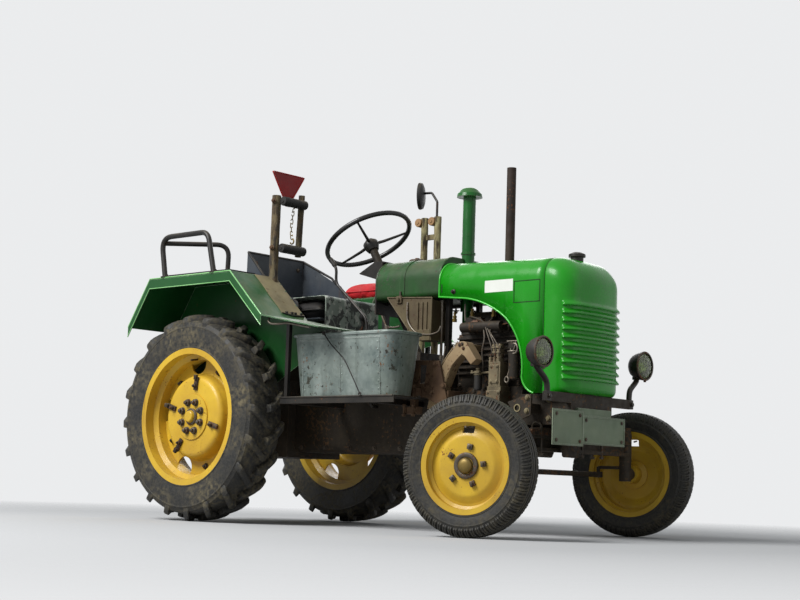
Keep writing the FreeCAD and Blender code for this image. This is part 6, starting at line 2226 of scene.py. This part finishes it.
def steering_pieces() -> None:
    """Ribbed grip, spokes and hub cap of the steering wheel."""
    tilt = math.radians(-31.0)
    turn = Matrix.Rotation(tilt, 4, "Y")
    hub = place(589, 0, 1361)
    change = Matrix.Translation(hub) @ turn

    def on_wheel(angle: float, radius: float, height: float) -> Vector:
        """A point on the wheel from its angle, radius and height above the hub."""
        return change @ Vector((radius * math.cos(angle), radius * math.sin(angle), height))

    rim = Solid()
    ring = []
    count, around = 220, 20
    for i in range(count):
        angle = 2 * math.pi * i / count
        for k in range(around):
            twist = 2 * math.pi * k / around
            size = 0.0122 - (0.0007 * (i % 2) if math.sin(twist) < 0.2 else 0.0)
            ring.append(on_wheel(angle, 0.213 + size * math.cos(twist),
                                 0.034 + size * math.sin(twist)))
    faces = []
    for i in range(count):
        for k in range(around):
            a, b = i * around, ((i + 1) % count) * around
            j = (k + 1) % around
            faces.append((a + k, b + k, b + j, a + j))
    rim.add(ring, faces)
    put("wheel_grip", rim, GRIP_PLASTIC, body="steering_wheel", smooth=50.0)
    spokes = Solid()
    for degrees in (60, 180, 300):
        a = math.radians(degrees)
        spokes.tube([on_wheel(a, 0.024, 0.004), on_wheel(a, 0.07, 0.008), on_wheel(a, 0.15, 0.022),
                     on_wheel(a, 0.212, 0.034)], 0.0062, 12, lambda t: 1.35 - 0.5 * t)
    hub_cap = Solid().lathe([(0.0, 0.030), (0.012, 0.0295), (0.021, 0.026), (0.024, 0.021),
                             (0.0245, 0.016), (0.034, 0.014), (0.038, 0.008), (0.038, -0.010),
                             (0.034, -0.020), (0.028, -0.034), (0.0, -0.036)], Vector(), UPWARD,
                            40).moved(change)
    spokes.join(hub_cap)
    put("wheel_spokes", spokes, BLACK_PAINT, "steering_wheel", body="steering_wheel", bevel=0.0006)


def lever_pieces() -> None:
    """Knobs, pedal treads and gear boot of the driver's controls."""
    knobs = Solid()
    lathe = [(0.0, -0.018), (0.008, -0.018), (0.0145, -0.008), (0.0165, 0.003), (0.014, 0.014),
             (0.008, 0.0195), (0.0, 0.021)]
    knobs.lathe(lathe, (541, 10, 1008), Vector((0.1, -0.2, 1)), 32)
    grip = (place(466, -150, 1276) - place(506, -150, 1234)).normalized()
    knobs.lathe([(0.0, -0.045), (0.010, -0.044), (0.0115, -0.036), (0.0105, -0.020),
                 (0.012, -0.004), (0.0115, 0.004), (0.0, 0.006)], (466, -150, 1276), grip, 24)
    put("lever_knobs", knobs, BLACK_RUBBER)
    treads = Solid()
    for side in Side:
        for i in range(6):
            x = 660 + 7.5 * i
            treads.box((x, side.value * 174 - 30, 795), (x + 3, side.value * 174 + 30, 798))
    put("pedal_treads", treads, BLACK_RUBBER, bevel=0.0008)
    boot = Solid().lathe([(0.052, 0.0), (0.050, 0.010), (0.040, 0.014), (0.043, 0.022),
                          (0.032, 0.028), (0.035, 0.036), (0.022, 0.044), (0.017, 0.056),
                          (0.010, 0.058), (0.0, 0.058), (0.0, 0.0)], (535, 20, 681), UPWARD, 32)
    put("gear_boot", boot, BLACK_RUBBER)




def fuel_pump() -> None:
    """Injection pump: stacked flanges, unions, a pale body with its cover, and its pipes."""
    body = Solid()
    body.box((1512, -214, 634), (1574, -152, 742))
    body.box((1504, -212, 617), (1577, -146, 636))
    body.box((1503, -218, 556), (1577, -140, 618))
    body.box((1521, -218.5, 650), (1565, -208, 728))
    for z in (784.0, 806.0):
        body.box((1518, -207, z - 3), (1568, -157, z + 3))
    body.discs((1543, -182, 742), UPWARD,
               ((23, 16), (18, 6), (21, 14), (22, 20), (17, 8), (22, 15)))
    spots = [place(x, -218.5, z) for x in (1527, 1559) for z in (656, 722)]
    spots += [place(x, -218, z) for x in (1512, 1568) for z in (566, 608)]
    body.bolts(spots, RIGHTWARD, 0.0058, 0.005)
    for x in (1526.0, 1560.0):
        body.discs((x, -199, 778), UPWARD, ((5, 34),), 12)
        body.bolts([(x, -199, 811)], UPWARD, 0.0075, 0.007)
    for x in (1515.0, 1537.0, 1559.0):
        body.discs((x, -205, 742), UPWARD, ((9, 8), (7, 4), (8.5, 10)), 6)
    put("pump_body", body, PUMP_METAL, bevel=0.0014)
    bottle = Solid().discs((1430, -184, 622), UPWARD, ((16, 4), (18, 62)))
    put("filter_bottle", bottle, BLACK_RUBBER, bevel=0.002)
    top = Solid().discs((1430, -184, 688), UPWARD, ((20, 8), (15, 4), (19, 7), (9, 8), (11, 5)), 32)
    top.box((1404, -206, 696), (1452, -162, 702))
    top.rod((1445, -184, 700), (1512, -184, 700), 0.005, 12)
    top.bolts([(1409, -199, 702), (1447, -199, 702)], UPWARD, 0.006, 0.006)
    put("filter_top", top, PUMP_METAL, bevel=0.001)
    pipes = Solid()
    for x, peak, end in ((1515, 905, 1330), (1537, 890, 1452), (1559, 872, 1566)):
        path = smooth_path([(x, -205, 764), (x + 4, -206, 800), (x - 24, -204, peak - 36),
                            (x - 60, -190, peak + 18), (end + 30, -160, peak + 48),
                            (end, -128, 948)], 8)
        pipes.tube(path, 0.0032, 10)
    loop = smooth_path([(1452, -184, 700), (1466, -196, 730), (1462, -200, 790), (1470, -196, 850),
                        (1452, -186, 905), (1420, -160, 938)], 8)
    pipes.tube(loop, 0.0045, 10)
    put("fuel_pipes", pipes, CHAIN_STEEL)


def engine_trim() -> None:
    """Cover, manifold, filter, injectors, linkage, generator and bolts on the engine."""
    cover = Solid()
    outline = [(1314, 898), (1322, 891), (1360, 890), (1418, 923), (1410, 942), (1373, 938)]
    cover.prism([place(x, -157, z) for x, z in outline], Vector((0, 0.037, 0)))
    inner = [(1364 + (x - 1364) * 0.72, 915 + (z - 915) * 0.66) for x, z in outline]
    cover.prism([place(x, -159.5, z) for x, z in inner], Vector((0, 0.004, 0)))
    cover.bolts([(1330, -159, 900), (1400, -159, 929)], RIGHTWARD, 0.0075)
    put("breather_cover", cover, COVER_PINK, bevel=0.003)
    fittings = Solid()
    fittings.box((1322, -150, 893), (1408, -120, 950))
    manifold = smooth_path([(1330, -180, 902), (1400, -181, 903), (1480, -181, 903),
                            (1550, -180, 902)], 6)
    fittings.tube(manifold, 0.022, 24)
    for x in (1345.0, 1420.0, 1500.0, 1535.0):
        fittings.rod((x, -180, 902), (x, -116, 902), 0.017, 20)
        fittings.discs((x, -124, 902), RIGHTWARD, ((25, 7),), 24)
        fittings.bolts([(x - 21, -131, 902), (x + 21, -131, 902)], RIGHTWARD, 0.007)
    fittings.box((1600, -178, 672), (1630, -112, 692))
    bowl = Solid().lathe([(0.0, 0.0), (0.014, 0.0), (0.024, 0.006), (0.026, 0.016), (0.026, 0.098),
                          (0.027, 0.104), (0.027, 0.120), (0.022, 0.126), (0.022, 0.134),
                          (0.027, 0.138), (0.027, 0.160), (0.011, 0.164), (0.010, 0.168),
                          (0.0, 0.168)], (1626, -182, 662), UPWARD, 40)
    fittings.join(bowl)
    generator = Solid().lathe([(0.0, 0.0), (0.044, 0.0), (0.052, 0.005), (0.055, 0.014),
                               (0.055, 0.060), (0.0535, 0.062), (0.0535, 0.072), (0.055, 0.074),
                               (0.055, 0.166), (0.050, 0.175), (0.030, 0.180), (0.0, 0.180)],
                              (1280, 196, 650), FORWARD, 48)
    fittings.join(generator)
    fittings.box((1310, 132, 640), (1330, 170, 660))
    fittings.box((1410, 132, 640), (1430, 170, 660))
    for k in range(7):
        fittings.box((1262, -131, 700 + 26 * k), (1618, 131, 707 + 26 * k))
    put("engine_trim", fittings, CAST_IRON, "engine_fittings", bevel=0.0012)
    steel = Solid()
    for y in (-212.0, -152.0):
        steel.tube(arc((1626, -182, 786), (1626, y, 786), UPWARD, 180, 16), 0.0024, 8)
    steel.rod((1598, -198, 830), (1652, -198, 830), 0.004, 12)
    hang = smooth_path([(1648, -200, 826), (1640, -202, 800), (1628, -202, 772), (1622, -203, 722),
                        (1606, -203, 676)], 8)
    steel.tube(hang, 0.0038, 10)
    for centre, radius, wire in ((place(1640, -203, 797), 0.018, 0.0048),
                                 (place(1604, -204, 664), 0.010, 0.004)):
        ring = [centre + Vector((radius * math.cos(a), 0, radius * 1.2 * math.sin(a)))
                for a in (math.pi * i / 12 for i in range(25))]
        steel.tube(ring, wire, 10)
    steel.tube(smooth_path([(1318, -150, 1012), (1319, -151, 975), (1321, -150, 938)], 6), 0.0036,
               10)
    steel.tube(smooth_path([(1292, -248, 815), (1281, -250, 757), (1251, -250, 690)], 6), 0.003, 10)
    put("throttle_rods", steel, BARE_STEEL)
    brass = Solid()
    for x, y, z in ((1228.0, -112.0, 950.0), (1330.0, -112.0, 962.0), (1452.0, -112.0, 962.0)):
        brass.discs((x, y, z - 10), UPWARD, ((11, 14), (8, 5), (10, 9), (6, 8), (7.5, 7)), 6)
    put("injectors", brass, BRASS, bevel=0.0006)
    screws = Solid()
    spots = [place(x, -140, z) for x in (1256, 1316, 1376, 1436) for z in (474, 626)]
    spots += [place(x, -115, z) for x in (1272, 1438, 1606) for z in (654, 866)]
    screws.bolts(spots, RIGHTWARD, 0.0085)
    spots = [place(x, s * 62, 985) for x in (1300, 1410, 1470, 1580) for s in (-1, 1)]
    screws.bolts(spots, UPWARD, 0.008)
    spots = [place(x, 140, z) for x in (1256, 1346, 1436, 1536, 1624) for z in (474, 626)]
    screws.bolts(spots, LEFTWARD, 0.0085)
    put("engine_bolts", screws, CHAIN_STEEL)


def bracket_trim() -> None:
    """Bolts of the side bracket, the front bracket's cheeks and the duct, and the duct's beads."""
    rusty = Solid()
    spots = [place(x, -262, z) for x,
             z in ((1128, 640), (1246, 738), (1300, 566), (1232, 610), (1300, 640))]
    rusty.bolts(spots, RIGHTWARD, 0.0105, 0.010)
    for x0, x1, z0, z1 in ((1092, 1168, 588, 630), (1092, 1172, 516, 548)):
        rusty.box((x0 + 4, -297, z0 + 5), (x0 + 22, -290, z1 - 5))
        rusty.box((x1 - 22, -297, z0 + 5), (x1 - 4, -290, z1 - 5))
        for x in (x0 + 13, x1 - 13):
            rusty.rod((x, -299, z0 - 8), (x, -299, z1 + 8), 0.0052, 12)
            for z, way in ((z0 - 8, -1), (z1 + 8, 1)):
                rusty.bolts([(x, -299, z - 6 * way)], Vector((0, 0, way)), 0.009, 0.008)
    put("clamp_bolts", rusty, RUSTY, bevel=0.0012)
    ears = Solid()
    for sign in (-1, 1):
        out = Vector((0, sign, 0))
        ears.lathe([(0.012, 0), (0.017, 0), (0.017, 0.003), (0.012, 0.003)],
                   (1680, sign * 224, 541), out, 32)
        spots = [place(x, sign * 224, z) for x, z in ((1733, 585), (1730, 528))]
        ears.bolts(spots, out, 0.0095)
        spots = [place(x, sign * 150, z) for x in (1790, 1866) for z in (500, 580)]
        ears.bolts(spots, out, 0.0095)
    put("cheek_bolts", ears, WORN_SHEET)
    duct = Solid()
    duct.bolts([(1372, -246, 818), (1394, -246, 803), (1386, -246, 822), (1240, -246, 585),
                (1226, -246, 628)], RIGHTWARD, 0.0062, 0.006)
    put("duct_bolts", duct, CHAIN_STEEL)
    edge = [place(1220, -247, 650), place(1294, -247, 762), place(1362, -247, 834)]
    low = [place(1286, -247, 632), place(1332, -247, 730), place(1388, -247, 780)]
    beads = Solid().tube(arc_through(*edge, 18), 0.0022, 8)
    beads.tube(arc_through(*low, 18), 0.0022, 8)
    put("duct_beads", beads, DUCT_PAINT)


def battery_pieces() -> None:
    """Pressed border, clip and pipe of the battery box, and the linkage rods beside it."""
    border = [(898, 1059), (1031, 907), (1033, 857), (1167, 851), (1169, 1044)]
    trim = Solid()
    closed = border + border[:1]
    for (xa, za), (xb, zb) in zip(closed, closed[1:]):
        trim.tube([(xa, -205, za), (xb, -205, zb)], 0.0034, 8)
    trim.box((958, -213, 1030), (990, -203, 1062))
    trim.bolts([(974, -212, 1046)], RIGHTWARD, 0.009, 0.011)
    trim.box((1036, -212, 852), (1166, -203, 900))
    for x in (1086.0, 1112.0, 1138.0):
        trim.box((x - 5.5, -210, 872), (x + 5.5, -203, 1026))
    put("battery_border", trim, BOX_PAINT, bevel=0.0016)
    cable = smooth_path([(1024, -207, 1030), (1027, -211, 989), (1032, -211, 947),
                         (1058, -212, 910), (1098, -213, 884), (1150, -213, 877), (1184, -212, 878),
                          (1216, -210, 888), (1228, -208, 912)], 6)
    put("battery_pipe", Solid().tube(cable, 0.0042, 12), BARE_STEEL)
    rods = Solid()
    rods.tube([(760, -122, 1043), (790, -121, 988), (822, -120, 931)], 0.0055, 12)
    rods.tube([(822, -120, 934), (870, -124, 930), (908, -126, 934)], 0.005, 12)
    rods.box((815, -128, 925), (831, -112, 941))
    for y in (-134.0, -104.0):
        rods.rod((1171, y, 765), (1171, y, 1036), 0.0065, 16)
        for z in (772.0, 1028.0):
            rods.lathe([(0.0068, 0), (0.0095, 0.001), (0.0095, 0.011), (0.0068, 0.012)],
                       (1171, y, z), UPWARD, 12)
    put("linkage_rods", rods, BARE_STEEL)


def tub_pieces() -> None:
    """Rolled rim, pressed beads, rivets and the bail of the side tub."""
    x0, x1, y0, y1, low, top = 590.0, 1225.0, -525.0, -300.0, 585.0, 866.0
    rim = Solid()

    def wall_y(z: float) -> float:
        """Where the tub's outer side stands at a height."""
        return y0 + 24.0 * (top - z) / (top - low)
    corners = [(place(x, y, top - 4), 70.0) for x, y in ((x0, y0), (x1, y0), (x1, y1), (x0, y1))]
    ring = rounded(corners)
    rim.tube([(ring[0] + ring[-1]) / 2, *ring, (ring[0] + ring[-1]) / 2], 0.0068, 12)
    for z in (838.0, 842.0):
        rim.tube([(x0 + 70, wall_y(z) - 0.6, z), (x1 - 70, wall_y(z) - 0.6, z)], 0.0016, 6)
    source = random.Random(5)
    for x in (x0 + 80, 906.0, x1 - 80):
        line = [place(x + source.uniform(-0.8, 0.8), wall_y(low + 8 + 24 * i) - 0.5,
                      low + 8 + 24 * i) for i in range(11)]
        rim.tube(line, 0.0022, 6)
    put("tub_rim", rim, TUB_ZINC)
    rivets = Solid()
    for x in (x0 + 90, 916.0, x1 - 90):
        for i in range(7):
            rivets.lathe([(0.0048, 0), (0.0042, 0.0016), (0.002, 0.0026), (0, 0.0028)],
                         (x, wall_y(low + 30 + 34 * i), low + 30 + 34 * i), RIGHTWARD, 12)
    put("tub_rivets", rivets, TUB_ZINC)
    bail = smooth_path([(816, -533, 867), (868, -533, 812), (947, -533, 746), (1000, -533, 672),
                        (1052, -532, 590)], 8)
    black = Solid().tube(bail, 0.0028, 10)
    for at in (place(816, -530, 867), place(1052, -530, 590)):
        ring = [at + Vector((0.007 * math.cos(a), -0.003, 0.007 * math.sin(a)))
                for a in (math.pi * i / 8 for i in range(17))]
        black.tube(ring, 0.0026, 8)
    put("tub_bail", black, BLACK_PAINT)


def footboard_pieces() -> None:
    """Raised tread, folded edge and bolts of the footboards."""
    tread = Solid()
    for side in Side:
        for i in range(14):
            for j in range(4):
                x, y = 580 + 46 * i, side.value * (322 + 50 * j)
                if side is Side.RIGHT and x > 586:
                    continue
                turn = Matrix.Rotation(math.radians(45 if (i + j) % 2 else -45), 4, "Z")
                tread.box((x - 13, y - 3, 584.6), (x + 13, y + 3, 586.8), turn)
    put("board_tread", tread, BLACK_PAINT, bevel=0.0008)
    edge = Solid()
    for side in Side:
        y = side.value * 525
        edge.tube([(545, y, 582), (1240, y, 582)], 0.0042, 8)
        edge.bolts([(x, side.value * 312, 585) for x in (600, 900, 1200)], UPWARD, 0.010, 0.008)
    put("board_edges", edge, BLACK_PAINT)


def axle_pieces() -> None:
    """Spring clips with their nuts, and the caps of the kingpins."""
    steel = Solid()
    for side in Side:
        s = side.value
        for y in (150.0, 300.0):
            for x in (1706.0, 1754.0):
                steel.rod((x, s * y, 352), (x, s * y, 470), 0.0055, 12)
                steel.bolts([(x, s * y, 354)], DOWNWARD, 0.010, 0.010)
            steel.tube(arc((1730, s * y, 462), (1706, s * y, 462), LEFTWARD, 180, 12), 0.0055, 10)
        steel.discs((1730, s * 526, 466), UPWARD, ((17, 5), (10, 5), (5, 5)), 24)
    put("spring_clips", steel, CHAIN_STEEL, bevel=0.0008)


def rear_pieces() -> None:
    """Bolts of the housing and gearbox, the splined shaft and the hitch's pin."""
    steel = Solid()
    for side in Side:
        out = Vector((0, side.value, 0))
        ring = [place(60 * math.cos(a) + 0, side.value * 185, 495 + 88 * math.sin(a))
                for a in (2 * math.pi * i / 10 for i in range(10))]
        ring = [Vector((p.x + (88 - 60) * MM * math.cos(2 * math.pi * i / 10), p.y, p.z)) for i,
                p in enumerate(ring)]
        steel.bolts(ring, out, 0.0095)
        spots = [place(x, side.value * 135, z) for x in (300, 460, 620, 780, 940)
                 for z in (368, 628)]
        steel.bolts(spots, out, 0.0085)
    steel.bolts([(x, s * 82, 680) for x in (440, 534, 628) for s in (-1, 1)], UPWARD, 0.0085)
    steel.bolts([(-200, y, z) for y in (-150, -60, 60, 150) for z in (345, 660)], BACKWARD, 0.0095)
    put("housing_bolts", steel, CHAIN_STEEL)
    shaft = Solid()
    for i in range(6):
        angle = math.radians(60 * i)
        way = Vector((0, math.cos(angle), math.sin(angle)))
        turn = Matrix.Rotation(angle, 4, "X")
        at = place(-282, 0, 560) + way * 0.0168
        shaft.box(at - Vector((0.027, 0.0032, 0.0022)), at + Vector((0.027, 0.0032, 0.0022)),
                  turn @ Matrix.Rotation(math.radians(90), 4, "X"))
    put("power_shaft", shaft, BARE_STEEL, bevel=0.0006)
    pin = Solid().rod((-520, 0, 318), (-520, 0, 436), 0.0125, 24)
    pin.tube(arc((-520, 0, 436), (-520, 26, 436), FORWARD, 180, 14), 0.0045, 10)
    put("hitch_pin", pin, BARE_STEEL)


def rail_pieces() -> None:
    """Feet and bolts of the handrail."""
    feet = Solid()
    for x in (208.0, -147.0):
        feet.lathe([(0.0, 0.0), (0.024, 0.0), (0.024, 0.004), (0.013, 0.006), (0.012, 0.016),
                    (0.0, 0.016)], (x, -668, 1167), UPWARD, 28)
    feet.bolts([(x + d, -668, 1171) for x in (208, -147) for d in (-17, 17)], UPWARD, 0.0055, 0.005)
    put("rail_feet", feet, BLACK_PAINT, bevel=0.0006)


def main() -> None:
    """Builds the studio, dresses the frame's solids and adds every piece in order."""
    logging.basicConfig(level=logging.INFO, format="%(message)s")
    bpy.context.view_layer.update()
    Studio().build()
    dress_nodes()
    for side in Side:
        RearWheel(side).build()
        FrontWheel(side).build()
    for build in (form_pieces, hood_pieces, tank_pieces, lamp_pieces, plate_pieces, fender_pieces,
                  seat_pieces, rack_pieces, steering_pieces, lever_pieces, fuel_pump,
                  engine_trim, bracket_trim, battery_pieces, tub_pieces, footboard_pieces,
                  axle_pieces, rear_pieces, rail_pieces):
        build()


if __name__ == "__main__":
    main()
